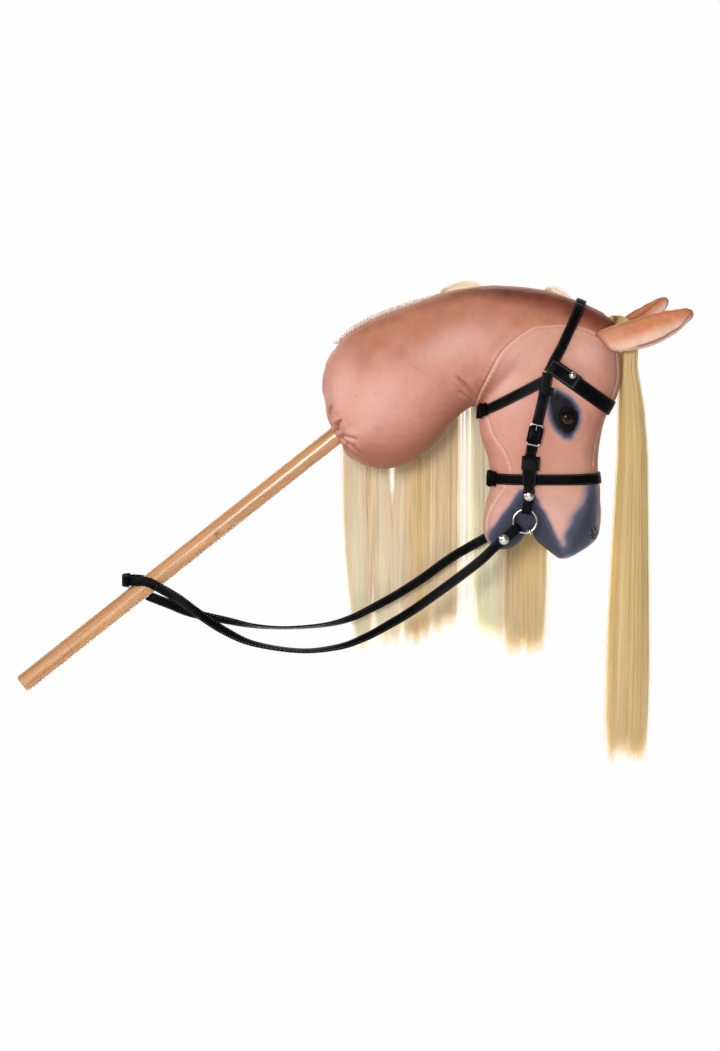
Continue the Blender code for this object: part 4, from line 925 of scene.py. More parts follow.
# Seams and folds of the cloth, seen from the side (x, z)
FACE_SEAM = (
    (0.296, 0.108), (0.304, 0.130), (0.324, 0.173), (0.343, 0.205), (0.379, 0.233),
    (0.406, 0.239), (0.445, 0.239), (0.481, 0.227), (0.507, 0.212),
)
JAW_SEAM = (
    (0.3177, 0.1105), (0.3219, 0.0912), (0.3255, 0.0789), (0.3360, 0.0631), (0.3447, 0.0491),
    (0.3518, 0.0280), (0.3492, 0.0082), (0.3387, -0.0114), (0.3252, -0.0340), (0.3185, -0.0550),
    (0.3207, -0.0761), (0.3252, -0.0866),
)
FRONT_SEAM = (
    (0.5112, 0.1979),
    (0.5127, 0.1618),
    (0.5052, 0.1302),
    (0.4962, 0.0986),
    (0.4827, 0.0715),
    (0.4760, 0.0300),
)
MUZZLE_SEAM = ((0.3882, -0.0263), (0.4062, -0.0488), (0.4182, -0.0759), (0.4317, -0.1060))
THROAT_FOLDS = (
    (
        ((0.2672, 0.1700), (0.2760, 0.1610), (0.2862, 0.1500), (0.2930, 0.1400), (0.2985, 0.1310)),
        1.0,
    ),
    (((0.2720, 0.1440), (0.2800, 0.1390), (0.2880, 0.1330), (0.2960, 0.1270)), 0.4),
)
NECK_PLEATS = (
    (((0.0876, 0.1263), (0.0849, 0.1143), (0.0846, 0.1023), (0.0890, 0.0894)), 1.3),
    (((0.1025, 0.1015), (0.0975, 0.0947), (0.0966, 0.0834)), 1.8),
    (((0.1257, 0.0699), (0.1152, 0.0737), (0.1062, 0.0759)), 0.5),
    (((0.1317, 0.0466), (0.1212, 0.0556), (0.1122, 0.0639)), 0.6),
    (((0.1167, 0.0578), (0.1092, 0.0669), (0.1017, 0.0721)), 0.5),
)

# Where the coat is sprayed another colour, seen from the side: outlines (x, z)
EYE_PATCH = (
    (0.4212, 0.1436), (0.4392, 0.1331), (0.4500, 0.1213), (0.4536, 0.1093), (0.4527, 0.0997),
    (0.4488, 0.0870), (0.4425, 0.0755), (0.4330, 0.0762), (0.4215, 0.0872), (0.4137, 0.1021),
    (0.4104, 0.1165), (0.4085, 0.1270), (0.4101, 0.1391),
)
EYE_SURROUND = (
    (0.4272, 0.1150), (0.4332, 0.1186), (0.4428, 0.1198), (0.4512, 0.1143), (0.4539, 0.1045),
    (0.4506, 0.0930), (0.4440, 0.0846), (0.4377, 0.0819), (0.4302, 0.0870), (0.4263, 0.0948),
    (0.4251, 0.1045),
)
MOUTH_PATCH = (
    (0.3672, -0.0051), (0.3762, -0.0029), (0.3852, -0.0051), (0.3942, -0.0187), (0.4032, -0.0352),
    (0.4122, -0.0518), (0.4220, -0.0713), (0.4309, -0.0954), (0.4317, -0.1104), (0.4137, -0.1104),
    (0.3957, -0.0984), (0.3837, -0.0909), (0.3687, -0.1074), (0.3387, -0.1074), (0.3252, -0.0939),
    (0.3192, -0.0804), (0.3237, -0.0668), (0.3312, -0.0548), (0.3402, -0.0412), (0.3507, -0.0292),
    (0.3612, -0.0157),
)
NOSE_PATCH = (
    (0.4662, 0.0192), (0.4887, 0.0192), (0.4947, -0.0199), (0.4917, -0.0651), (0.4767, -0.0952),
    (0.4512, -0.1132), (0.4190, -0.1160), (0.4205, -0.0990), (0.4287, -0.0876), (0.4309, -0.0726),
    (0.4347, -0.0591), (0.4400, -0.0455), (0.4475, -0.0350), (0.4557, -0.0244), (0.4602, -0.0124),
    (0.4632, 0.0026),
)
LIP_LINE = ((0.4300, -0.1090), (0.4450, -0.1130), (0.4600, -0.1090), (0.4700, -0.1010))
# The wrinkled nostril: middle (x, z) and reach along and across
NOSTRIL = (0.4795, -0.0725, 0.0100, 0.0130)

# Where the nap lies over and shows lighter: middle (x, z), reach along and across, lean in degrees
NAP_BLOOMS = (
    (0.150, 0.128, 0.066, 0.050, 20.0),
    (0.130, 0.085, 0.040, 0.022, 35.0),
    (0.272, 0.212, 0.060, 0.026, 18.0),
    (0.352, 0.150, 0.030, 0.050, 0.0),
    (0.470, 0.200, 0.030, 0.020, 0.0),
    (0.362, 0.196, 0.036, 0.026, 30.0),
    (0.105, 0.150, 0.026, 0.050, 0.0),
)

EYE_STEM_DEPTH = 0.010
# The cloth that closes the mouth's corner, as sections from front to back
MOUTH_CORNER_SECTIONS = (
    ((0.3930, -0.0240), (0.3660, -0.0240), 0.030),
    ((0.3930, -0.0330), (0.3640, -0.0330), 0.036),
    ((0.3930, -0.0430), (0.3650, -0.0430), 0.038),
    ((0.3930, -0.0530), (0.3670, -0.0530), 0.036),
    ((0.3920, -0.0600), (0.3700, -0.0600), 0.030),
    ((0.3900, -0.0655), (0.3740, -0.0655), 0.018),
)
FORM_JOINS = (
    (
        (
            (0.3160, -0.0040),
            (0.3350, -0.0120),
            (0.3550, -0.0240),
            (0.3700, -0.0340),
            (0.3800, -0.0500),
        ),
        0.016,
    ),
    (
        ((0.3050, 0.1300), (0.3300, 0.1450), (0.3650, 0.1620), (0.4000, 0.1760), (0.4350, 0.1860)),
        0.034,
    ),
    (((0.0740, 0.1700), (0.0750, 0.1400), (0.0820, 0.1100), (0.0950, 0.0700)), 0.016),
)
# The lines along which straps and hair hold the stuffing in
STRAP_LINES = (
    (TEMPLE, POLL),
    (TEMPLE, BROW),
    (THROAT_FROM, THROAT_TO),
    (JAW_BACK, NOSE_FRONT),
    (CHEEK_TOP, CHEEK_BEND, BUCKLE_CENTRE, CHEEK_LOW, LOOP_FOOT, BILLET_END),
    (TEMPLE, FOLD_END),
)
# Where the near eye sits (x, z), and where the ears and the forelock are sewn on
EYE_AT = (0.4388, 0.1025)
SEWN_ROOTS = ((0.494, -0.034, 0.212), (0.497, 0.032, 0.212), (0.512, 0.0, 0.245))
# The voxels of the skin before its cloth is pressed, and how often the pressed skin is divided
VOXEL, FINE_LEVELS = 0.0045, 2
# A form's rings along it and points round it: the neck and the head, the jaw, the mouth's corner
BODY_GRID, JAW_GRID, CORNER_GRID = (220, 160), (96, 96), (24, 48)
# How far inside its form the cloth starts, and the share and rounds of easing before and after
CLOTH_START_IN = 0.002
EASE_BEFORE, EASE_AFTER = (0.0, 50), (0.1, 60)
CLOTH_QUALITY = 6
# Seams: width of the groove, of the ridge beside it and of a stitch, and one pucker's length
GROOVE_WIDTH, RIDGE_AT, RIDGE_WIDTH = 0.0016, 0.0048, 0.0030
STITCH_WIDTH, PUCKER_LENGTH, PUCKER_REACH = 0.0014, 0.0075, 0.006
# Gathers round the stick: depth, reach, and where they start and are full
GATHER_DEPTH, GATHER_REACH, GATHER_FROM, GATHER_FULL = 0.0011, 0.034, 0.010, 0.018
CLOTH_PRESSURE = 4.0
CLOTH_FRAMES = 20
SUNK_UNDER_STRAPS = 0.0005
HELD_WITHIN, FREE_BEYOND = 0.009, 0.034


def smooth_step(values, low, high):
    t = np.clip((values - low) / (high - low), 0.0, 1.0)
    return t * t * (3 - 2 * t)


def bell(values, width):
    """1 where the values are 0, fading to almost 0 at twice the width."""
    return np.exp(-((values / width) ** 2))


def line_distance(flat, line):
    """How far each (x, z) point lies from a line of points, and how far along the line its foot
    is."""
    line = np.array(line, float)
    nearest = np.full(len(flat), 1e9)
    along = np.zeros(len(flat))
    done = 0.0
    for a, b in zip(line, line[1:]):
        run = b - a
        length = float(np.hypot(*run))
        t = np.clip(((flat - a) @ run) / length**2, 0.0, 1.0)
        away = np.hypot(*(flat - (a + t[:, None] * run)).T)
        closer = away < nearest
        nearest = np.where(closer, away, nearest)
        along = np.where(closer, done + t * length, along)
        done += length
    return nearest, along


def curve_distance(flat, line, count=40):
    return line_distance(flat, smooth_through(line, count))


def patch_depth(flat, outline):
    """How far inside an outline each (x, z) point lies. Outside is negative."""
    ring = np.array(list(outline) + [outline[0]], float)
    away, _ = line_distance(flat, ring)
    inside = np.zeros(len(flat), bool)
    x, z = flat.T
    for (ax, az), (bx, bz) in zip(ring, ring[1:]):
        if az == bz:
            continue
        crosses = (az > z) != (bz > z)
        inside ^= crosses & (x < (bx - ax) * (z - az) / (bz - az) + ax)
    return np.where(inside, away, -away)


def rolling(points, wavelength, seed, waves=10):
    """A smooth, seeded unevenness of about -1 to 1 over the surface."""
    dice = np.random.default_rng(seed)
    total = np.zeros(len(points))
    for _ in range(waves):
        way = dice.normal(size=3)
        way *= 2 * pi / (np.linalg.norm(way) * wavelength * dice.uniform(0.6, 1.6))
        total += np.sin(points @ way + dice.uniform(0, 2 * pi))
    return total / math.sqrt(waves) / 1.4


def coordinates(mesh):
    found = np.empty(len(mesh.vertices) * 3, np.float64)
    mesh.vertices.foreach_get("co", found)
    return found.reshape(-1, 3)


def vertex_normals(mesh):
    found = np.empty(len(mesh.vertices) * 3, np.float32)
    mesh.vertex_normals.foreach_get("vector", found)
    return found.reshape(-1, 3).astype(float)


def set_coordinates(mesh, points):
    mesh.vertices.foreach_set("co", np.asarray(points, np.float32).ravel())
    mesh.update()


def store_mask(mesh, name, values):
    attribute = mesh.attributes.new(name, "FLOAT", "POINT")
    attribute.data.foreach_set("value", np.clip(values, 0.0, 1.0).astype(np.float32))


def loft(sections, rings, sides, squareness):
    """Rings of a stuffed form through sections that each span the body's middle plane."""
    rows = smooth_through([(*high, *low, half) for high, low, half in sections], rings)
    turns = 2 * pi * np.arange(sides) / sides
    bend = [np.sign(w) * np.abs(w) ** (2 / squareness) for w in (np.cos(turns), np.sin(turns))]
    loops = []
    for hx, hz, lx, lz, half in rows:
        middle = np.array([(hx + lx) / 2, 0, (hz + lz) / 2])
        reach = np.array([(hx - lx) / 2, 0, (hz - lz) / 2])
        loops.append(middle + bend[0][:, None] * reach + bend[1][:, None] * np.array([0, half, 0]))
    return loops


def one_skin(name, forms, voxel, finish):
    """One closed skin round several lofted forms."""
    points, faces = [], []
    for loops in forms:
        first = len(points)
        p, f = bridge(loops)
        points += p
        faces += [tuple(i + first for i in face) for face in f]
    skin = outward_faces(mesh_piece(name, points, faces, [finish]), 180)
    tree = BVHTree.FromPolygons(
        [v.co for v in skin.data.vertices], [tuple(p.vertices) for p in skin.data.polygons]
    )
    remesh = skin.modifiers.new("Skin", "REMESH")
    remesh.mode, remesh.voxel_size, remesh.use_smooth_shade = "VOXEL", voxel, True
    return settled(skin), tree


def stuff_cloth(skin, tree, held, rise, start_in):
    """Press the cloth out from inside with Blender's cloth simulation. Held points stay, and no
    point passes the rise. The result is laid finely over the form that the tree holds, with no
    Cloth left."""
    mesh = skin.data
    form, normals = coordinates(mesh), vertex_normals(mesh)
    set_coordinates(mesh, form - normals * (start_in * (1 - held))[:, None])
    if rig.quick():
        moved = rise * 0.5 * (1 - held)
    else:
        group = skin.vertex_groups.new(name="held")
        for level in np.unique(np.round(held, 1)):
            group.add(
                [int(i) for i in np.nonzero(np.round(held, 1) == level)[0]], float(level), "REPLACE"
            )
        cloth = skin.modifiers.new("Cloth", "CLOTH")
        cloth.settings.use_pressure = True
        cloth.settings.uniform_pressure_force = CLOTH_PRESSURE
        cloth.settings.effector_weights.gravity = 0.0
        cloth.settings.vertex_group_mass = group.name
        cloth.settings.quality = CLOTH_QUALITY
        cloth.point_cache.frame_start, cloth.point_cache.frame_end = 1, CLOTH_FRAMES
        for number in range(1, CLOTH_FRAMES + 1):
            bpy.context.scene.frame_set(number)
        graph = bpy.context.evaluated_depsgraph_get()
        pressed = coordinates(skin.evaluated_get(graph).data)
        skin.modifiers.clear()
        skin.vertex_groups.clear()
        bpy.context.scene.frame_set(1)
        moved = np.clip(((pressed - form) * normals).sum(1), -start_in, rise)
    moved = moved * (1 - held) - SUNK_UNDER_STRAPS * held
    store = mesh.attributes.new("moved", "FLOAT", "POINT")
    store.data.foreach_set("value", moved.astype(np.float32))
    set_coordinates(mesh, form)
    fine = skin.modifiers.new("Fine", "SUBSURF")
    fine.levels = fine.render_levels = FINE_LEVELS
    skin = settled(skin)
    mesh = skin.data
    moved = np.empty(len(mesh.vertices), np.float32)
    mesh.attributes["moved"].data.foreach_get("value", moved)
    mesh.attributes.remove(mesh.attributes["moved"])
    points, normals = coordinates(mesh), vertex_normals(mesh)
    seated = np.array([tree.find_nearest(Vector(p))[0] for p in points])
    free = join_share(points)[:, None]
    set_coordinates(mesh, seated * (1 - free) + points * free + normals * moved[:, None])
    return skin


def join_share(points):
    """Where one form's stuffing meets the next one's, from 0 to 1."""
    share = np.zeros(len(points))
    for line, reach in FORM_JOINS:
        away, _ = line_distance(points[:, [0, 2]], line)
        share = np.maximum(share, 1 - smooth_step(away, reach * 0.4, reach))
    return share


def eased(skin, least, rounds):
    """Round off the creases between forms, and by the least share everything else."""
    points = coordinates(skin.data)
    share = np.full(len(points), least)
    share = np.maximum(share, join_share(points))
    group = skin.vertex_groups.new(name="join")
    for level in np.unique(np.round(share, 1)):
        if level > 0:
            group.add(
                [int(i) for i in np.nonzero(np.round(share, 1) == level)[0]],
                float(level),
                "REPLACE",
            )
    smooth = skin.modifiers.new("Ease", "SMOOTH")
    smooth.factor, smooth.iterations, smooth.vertex_group = 0.5, rounds, group.name
    skin = settled(skin)
    skin.vertex_groups.clear()
    return skin


def crest_line():
    """The crest from the neck's left end to the poll, seen from the side (x, z)."""
    rows = smooth_through([(*high, *low, half) for high, low, half in NECK_SECTIONS], 120)
    return rows[rows[:, 0].argmin() :, :2]


def crest_height(x):
    line = crest_line()
    return np.interp(x, line[:, 0], line[:, 1])


def held_share(points):
    """How firmly seams, straps, hair and the stick hold each point of the cloth, from 0 to 1."""
    flat = points[:, [0, 2]]
    nearest = np.full(len(points), 1e9)
    for line in STRAP_LINES:
        nearest = np.minimum(nearest, line_distance(flat, line)[0])
    for line in (FACE_SEAM, JAW_SEAM, FRONT_SEAM, MUZZLE_SEAM):
        nearest = np.minimum(nearest, curve_distance(flat, line)[0] + 0.004)
    ring = ring_centre("near")
    nearest = np.minimum(nearest, np.hypot(flat[:, 0] - ring.x, flat[:, 1] - ring.z) - 0.040)
    nearest = np.minimum(nearest, np.hypot(flat[:, 0] - EYE_AT[0], flat[:, 1] - EYE_AT[1]) - 0.010)
    crest = np.hypot(points[:, 1], points[:, 2] - crest_height(points[:, 0]))
    nearest = np.minimum(nearest, np.where(points[:, 0] < 0.50, crest - 0.004, 1.0))
    for root in SEWN_ROOTS:
        nearest = np.minimum(nearest, np.linalg.norm(points - np.array(root), axis=1) - 0.022)
    entry = np.array(STICK_AXIS * GRIP_TO_NECK)
    nearest = np.minimum(nearest, np.linalg.norm(points - entry, axis=1) - 0.016)
    return 1 - smooth_step(nearest, HELD_WITHIN, FREE_BEYOND)


def seam_relief(points, normals, depth):
    """How far each seam, fold and pucker moves the skin along its normal, and where stitches
    lie."""
    flat = points[:, [0, 2]]
    side_on = smooth_step(np.abs(normals[:, 1]), 0.15, 0.5)
    relief, stitched = np.zeros(len(points)), np.zeros(len(points))
    for line, strength in (
        (FACE_SEAM, 1.0), (JAW_SEAM, 0.8), (FRONT_SEAM, 0.7), (MUZZLE_SEAM, 0.5)
    ):
        away, along = curve_distance(flat, line)
        puckers = np.sin(along * 2 * pi / PUCKER_LENGTH) * bell(away, PUCKER_REACH)
        groove = 0.35 * bell(away - RIDGE_AT, RIDGE_WIDTH) - bell(away, GROOVE_WIDTH)
        relief += side_on * strength * depth * (groove + 0.16 * puckers)
        stitched = np.maximum(stitched, side_on * strength * bell(away, STITCH_WIDTH))
    for line, strength in THROAT_FOLDS + NECK_PLEATS:
        away, along = curve_distance(flat, line)
        total = float(np.hypot(*np.diff(np.array(line), axis=0).T).sum())
        fades = smooth_step(along, 0.0, total * 0.35)
        near_side = smooth_step(np.abs(normals[:, 1]), 0.05, 0.3)
        fold = -1.5 * bell(away, 0.0020) + 0.9 * bell(away - 0.0060, 0.0042)
        relief += strength * near_side * fades * depth * fold
    entry = np.array(STICK_AXIS * GRIP_TO_NECK)
    out = points - entry
    far = np.linalg.norm(out, axis=1)
    turn = np.arctan2(out[:, 1], out @ np.array([-STICK_AXIS.z, 0, STICK_AXIS.x]))
    gathers = np.sin(turn * 13 + 1.7 * np.sin(turn * 3 + 0.6)) + 0.5 * np.sin(turn * 29 + 1.0)
    relief += GATHER_DEPTH * gathers * bell(far, GATHER_REACH) * smooth_step(
        far, GATHER_FROM, GATHER_FULL
    )
    belly = bell(points[:, 1], 0.0016) * smooth_step(-normals[:, 2], 0.2, 0.6)
    relief -= depth * 0.8 * belly
    relief += 0.0006 * rolling(points, 0.070, 11) + 0.00016 * rolling(points, 0.018, 12)
    return relief, stitched


def paint_masks(mesh, stitched):
    """Where the coat's other colours are sprayed, stored on the skin's points."""
    points, normals = coordinates(mesh), vertex_normals(mesh)
    flat = points[:, [0, 2]] + 0.0010 * np.stack(
        [rolling(points, 0.030, 21), rolling(points, 0.030, 22)], 1
    )
    side_on = smooth_step(np.abs(normals[:, 1]), 0.0, 0.35)
    below = line_distance(flat, [p for p in crest_line()[::4] if p[0] > 0.100])[0]
    on_neck = 1 - smooth_step(points[:, 0], 0.49, 0.53)
    panel = patch_depth(
        flat, list(FACE_SEAM) + [(0.56, 0.20), (0.56, -0.17), (0.25, -0.17), (0.29, 0.06)]
    )
    face = smooth_step(panel, -0.001, 0.001)
    deep = 0.020 + 0.022 * smooth_step(points[:, 0], 0.25, 0.46)
    brown = (1 - smooth_step(below / deep, 0.15, 1.0)) * smooth_step(
        points[:, 0], 0.17, 0.36
    ) * (1 - face)
    low = 1 - smooth_step(below, 0.0, 0.020)
    store_mask(mesh, "crest_shade", np.maximum(brown, 0.10 * low * (1 - face) * on_neck))
    bloom = np.zeros(len(points))
    for x, z, long, high, lean_deg in NAP_BLOOMS:
        lean = radians(lean_deg)
        u = (flat[:, 0] - x) * cos(lean) + (flat[:, 1] - z) * sin(lean)
        v = (flat[:, 1] - z) * cos(lean) - (flat[:, 0] - x) * sin(lean)
        bloom = np.maximum(bloom, np.exp(-((u / long) ** 2) - (v / high) ** 2))
    store_mask(mesh, "nap_bloom", bloom * side_on)
    under = smooth_step(-normals[:, 2], 0.02, 0.70) * (1 - smooth_step(points[:, 0], 0.30, 0.40))
    front = smooth_step(normals[:, 0], 0.25, 0.90) * face * smooth_step(points[:, 2], 0.00, 0.06)
    store_mask(mesh, "under_shade", np.maximum(under, 0.50 * front))
    tan = (1 - smooth_step(below + 0.012 * rolling(points, 0.07, 23), 0.028, 0.092)) * (1 - face)
    tan = tan * (0.3 + 0.7 * smooth_step(points[:, 0], 0.075, 0.115))
    store_mask(mesh, "tan_shade", tan)
    store_mask(mesh, "face_panel", face)
    muzzle = 1 - smooth_step(points[:, 2] + 0.006 * rolling(points, 0.03, 24), -0.05, 0.03)
    store_mask(mesh, "muzzle_blush", muzzle * smooth_step(points[:, 0], 0.30, 0.34))
    eye = 0.8 * smooth_step(patch_depth(flat, EYE_PATCH), -0.0100, 0.006) * side_on
    mouth_in, nose_in = patch_depth(flat, MOUTH_PATCH), patch_depth(flat, NOSE_PATCH)
    uneven = 0.0012 * rolling(points, 0.024, 25)
    mouth = smooth_step(mouth_in + uneven, -0.0060, 0.011)
    nose = smooth_step(nose_in + uneven, -0.0060, 0.026)
    nose = nose * (1 - 0.50 * smooth_step(normals[:, 0], 0.45, 0.97))
    store_mask(mesh, "sprayed_grey", np.maximum(eye, mouth + nose))
    stitched = stitched * (1 - smooth_step(np.maximum(mouth, nose), 0.0, 0.15))
    surround = smooth_step(patch_depth(flat, EYE_SURROUND), -0.0015, 0.0015) * side_on
    inner_eye = smooth_step(patch_depth(flat, EYE_PATCH), -0.0020, 0.0055) * side_on * 0.92
    from_nostril = np.hypot(
        (points[:, 0] - NOSTRIL[0]) / NOSTRIL[2], (points[:, 2] - NOSTRIL[1]) / NOSTRIL[3]
    )
    store_mask(mesh, "nostril", (1 - smooth_step(from_nostril, 0.5, 1.0)) * side_on)
    store_mask(mesh, "sprayed_black", np.maximum(surround, inner_eye))
    lip = bell(curve_distance(flat, LIP_LINE)[0], 0.0035)
    store_mask(mesh, "lip_red", lip)
    store_mask(mesh, "seam_line", stitched)


def paint_velour(add):
    """Polyester velour, sheared and brushed: a short nap that scatters light at its edges and shows
    lighter where it lies over. The nap's grain is 0.3 mm and is drawn at 1.4 mm so that it
    shows."""
    colours = bpy.context.scene.horse_colours
    place = add("TexCoord", out="Object")
    lie = add("Mapping", {"Scale": (1.0, 1.0, 0.7)}, {"Vector": place})
    brushed, cloudy, nap, specks, wrinkles = (
        add(
            "TexNoise",
            {"Scale": 1000 / size, "Detail": detail, "Roughness": rough},
            {"Vector": where},
        )
        for size, detail, rough, where in (
            (26.0, 4.0, 0.62, lie),
            (70.0, 3.0, 0.55, place),
            (1.4, 3.0, 0.7, place),
            (9.0, 2.0, 0.5, place),
            (5.0, 3.0, 0.75, place),
        )
    )
    sprayed = add("Attribute", {"attribute_name": "sprayed_grey"}, out="Fac")
    coat, tan, crest, shade = colours.coat, colours.tan, colours.crest, colours.shade
    thin, middle = shaded(shade, 3.6), shaded(shade, 1.75)
    crease, ridge = linear("#101014"), linear("#96969C")
    coat_low, coat_high = shaded(coat, 0.84), shaded(coat, 1.09)
    rose, tanned, cheek, browned, speckled, grey, covered, creases = (
        add("ValToRGB", {"stops": stops}, {"Fac": source})
        for source, stops in (
            (brushed, ((0.30, coat_low), (0.52, coat), (0.74, coat_high))),
            (brushed, ((0.30, shaded(tan, 0.82)), (0.70, shaded(tan, 1.12)))),
            (cloudy, ((0.35, coat), (0.62, colours.cheek))),
            (brushed, ((0.3, shaded(crest, 0.75)), (0.7, shaded(crest, 1.2)))),
            (specks, ((0.66, NOWHERE), (0.80, (0.35, 0.35, 0.35)))),
            (sprayed, ((0.15, thin), (0.55, middle), (1.0, shade))),
            (sprayed, ((0.0, NOWHERE), (0.42, EVERYWHERE))),
            (wrinkles, ((0.40, crease), (0.47, shade), (0.53, shade), (0.60, ridge))),
        )
    )
    colour = laid_over(
        add,
        rose,
        ("tan_shade", 0.85, tanned),
        ("face_panel", 0.9, cheek),
        ("nap_bloom", 0.75, colours.bloom),
        ("crest_shade", 1.0, browned),
        ("under_shade", 1.0, tuple(c * k for c, k in zip(coat, (0.58, 0.49, 0.43)))),
        ("muzzle_blush", 1.0, colours.blush),
        (speckled, 1.0, shaded(coat, 0.62)),
        (covered, 1.0, grey),
        ("sprayed_black", 1.0, linear("#0B0B0E")),
        ("nostril", 1.0, creases),
        ("lip_red", 1.0, linear("#6E3A40")),
        ("seam_line", 0.55, linear("#F0CDBC")),
    )
    nap_tone = add("MapRange", {"To Min": 0.90, "To Max": 1.08}, {"Value": nap})
    toned = add("VectorMath", {"operation": "SCALE"}, {"Vector": colour, "Scale": nap_tone})
    under = add("Bump", {"Strength": 0.20, "Distance": 0.0005}, {"Height": brushed})
    relief = add("Bump", {"Strength": 0.40, "Distance": 0.00024}, {"Height": nap, "Normal": under})
    settings = {"Roughness": 0.44, "IOR": 1.5, "Specular IOR Level": 0.09, **NAP_SHEEN}
    return add("BsdfPrincipled", settings, {"Base Color": toned, "Normal": relief})


def velour():
    return finish_named("brushed_velour", paint_velour)


class HORSE_OT_body(bpy.types.Operator):
    """Stuff the neck and head, and the jaw, and sew their seams in"""

    bl_idname = "horse.body"
    bl_label = "Neck, head and jaw"

    def execute(self, context):
        sizes = context.scene.horse_sizes
        neck = loft(NECK_SECTIONS, *BODY_GRID, NECK_SQUARENESS)
        head = loft(HEAD_SECTIONS, *BODY_GRID, HEAD_SQUARENESS)
        jaw = loft(JAW_SECTIONS, *JAW_GRID, JAW_SQUARENESS)
        corner = loft(MOUTH_CORNER_SECTIONS, *CORNER_GRID, JAW_SQUARENESS)
        skin, tree = one_skin("horse_skin", (neck, head, jaw, corner), VOXEL, velour())
        skin = eased(skin, *EASE_BEFORE)
        held = held_share(coordinates(skin.data))
        skin = stuff_cloth(skin, tree, held, sizes.stuffing_rise, CLOTH_START_IN)
        skin = eased(skin, *EASE_AFTER)
        points, normals = coordinates(skin.data), vertex_normals(skin.data)
        relief, stitched = seam_relief(points, normals, sizes.seam_depth)
        set_coordinates(skin.data, points + normals * relief[:, None])
        paint_masks(skin.data, stitched)
        skin.data.shade_smooth()
        put_on(skin, "horse", "neck_body", "head_body", "lower_jaw", slot="coat")
        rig.padded(skin, fill=0.85)
        return {"FINISHED"}


# Ears: root, tip and the turn about their run, then along an ear: share of its length, half its
# height, half its thickness and the depth of its fold
EARS = {
    "near": ((0.492, -0.036, 0.2155), (0.624, -0.050, 0.2605), 8.0),
    "far": ((0.494, 0.032, 0.211), (0.591, 0.054, 0.276), 52.0),
}
EAR_SECTIONS = (
    (0.00, 0.0185, 0.010, 0.008), (0.18, 0.0218, 0.010, 0.011), (0.35, 0.0233, 0.009, 0.012),
    (0.55, 0.0228, 0.008, 0.011), (0.72, 0.0190, 0.007, 0.008), (0.88, 0.0130, 0.006, 0.004),
    (0.96, 0.0085, 0.005, 0.002), (1.00, 0.0040, 0.0035, 0.001),
)
EAR_ROOT_SLANT, EAR_SAG = 0.0085, 0.0055
EYE_DIAMETER, EYE_HEIGHT, EYE_SUNK = 0.024, 0.008, 0.0035
# The felt lid round an eye: share of the way from the dome to the lid's edge, and height over the
# skin
EYE_LID_PROFILE = (
    (0.0, -0.0020),
    (0.0, 0.0014),
    (0.04, 0.0023),
    (0.12, 0.0026),
    (0.35, 0.0018),
    (0.72, 0.0006),
    (1.0, -0.0008),
)
IRIS_SET_BACK, LID_SET_BACK = 0.0024, 0.0012
EYE_LID_INSIDE, EYE_LID_LONG, EYE_LID_WIDE, EYE_LID_LEAN_DEG = 0.0095, 0.0180, 0.0122, 104.0


def put_on(piece, body, *nodes, slot="leather"):
    """Say which body a piece rides on, which solids it stands for and what it is made of."""
    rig.ride(piece, body)
    if nodes:
        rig.replaces(piece, *nodes)
    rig.slot(piece, slot)
    return piece


class Ground:
    """The surface that the next strap comes to lie on: the bodies laid so far."""

    def __init__(self, objects=()):
        self.points, self.faces, self.tree = [], [], None
        for obj in objects:
            self.add(obj)

    def add(self, obj):
        first = len(self.points)
        self.points.extend(v.co.copy() for v in obj.data.vertices)
        self.faces.extend(tuple(first + i for i in p.vertices) for p in obj.data.polygons)
        self.tree = BVHTree.FromPolygons(self.points, self.faces)
        return obj

    def hit(self, origin, direction):
        point, normal, _, _ = self.tree.ray_cast(origin, direction)
        return point, normal


def paint_ear(add):
    """The ears' own velour, orange tan: rosier at the root, browner where the rim is turned
    over."""
    colours = bpy.context.scene.horse_colours
    place = add("TexCoord", out="Object")
    brushed, nap = (
        add(
            "TexNoise", {"Scale": 1000 / size, "Detail": 3.0, "Roughness": rough}, {"Vector": place}
        )
        for size, rough in ((16.0, 0.6), (1.4, 0.7))
    )
    stops = ((0.32, shaded(colours.ear, 0.84)), (0.68, shaded(colours.ear, 1.1)))
    colour = laid_over(
        add,
        add("ValToRGB", {"stops": stops}, {"Fac": brushed}),
        ("ear_rose", 1.0, colours.cheek),
        ("ear_pale", 1.0, linear("#F3CBB8")),
        ("ear_rim", 1.0, linear("#7E4234")),
    )
    nap_tone = add("MapRange", {"To Min": 0.91, "To Max": 1.08}, {"Value": nap})
    toned = add("VectorMath", {"operation": "SCALE"}, {"Vector": colour, "Scale": nap_tone})
    relief = add("Bump", {"Strength": 0.45, "Distance": 0.0003}, {"Height": nap})
    settings = {"Roughness": 0.50, "IOR": 1.5, "Specular IOR Level": 0.14, **NAP_SHEEN}
    return add("BsdfPrincipled", settings, {"Base Color": toned, "Normal": relief})


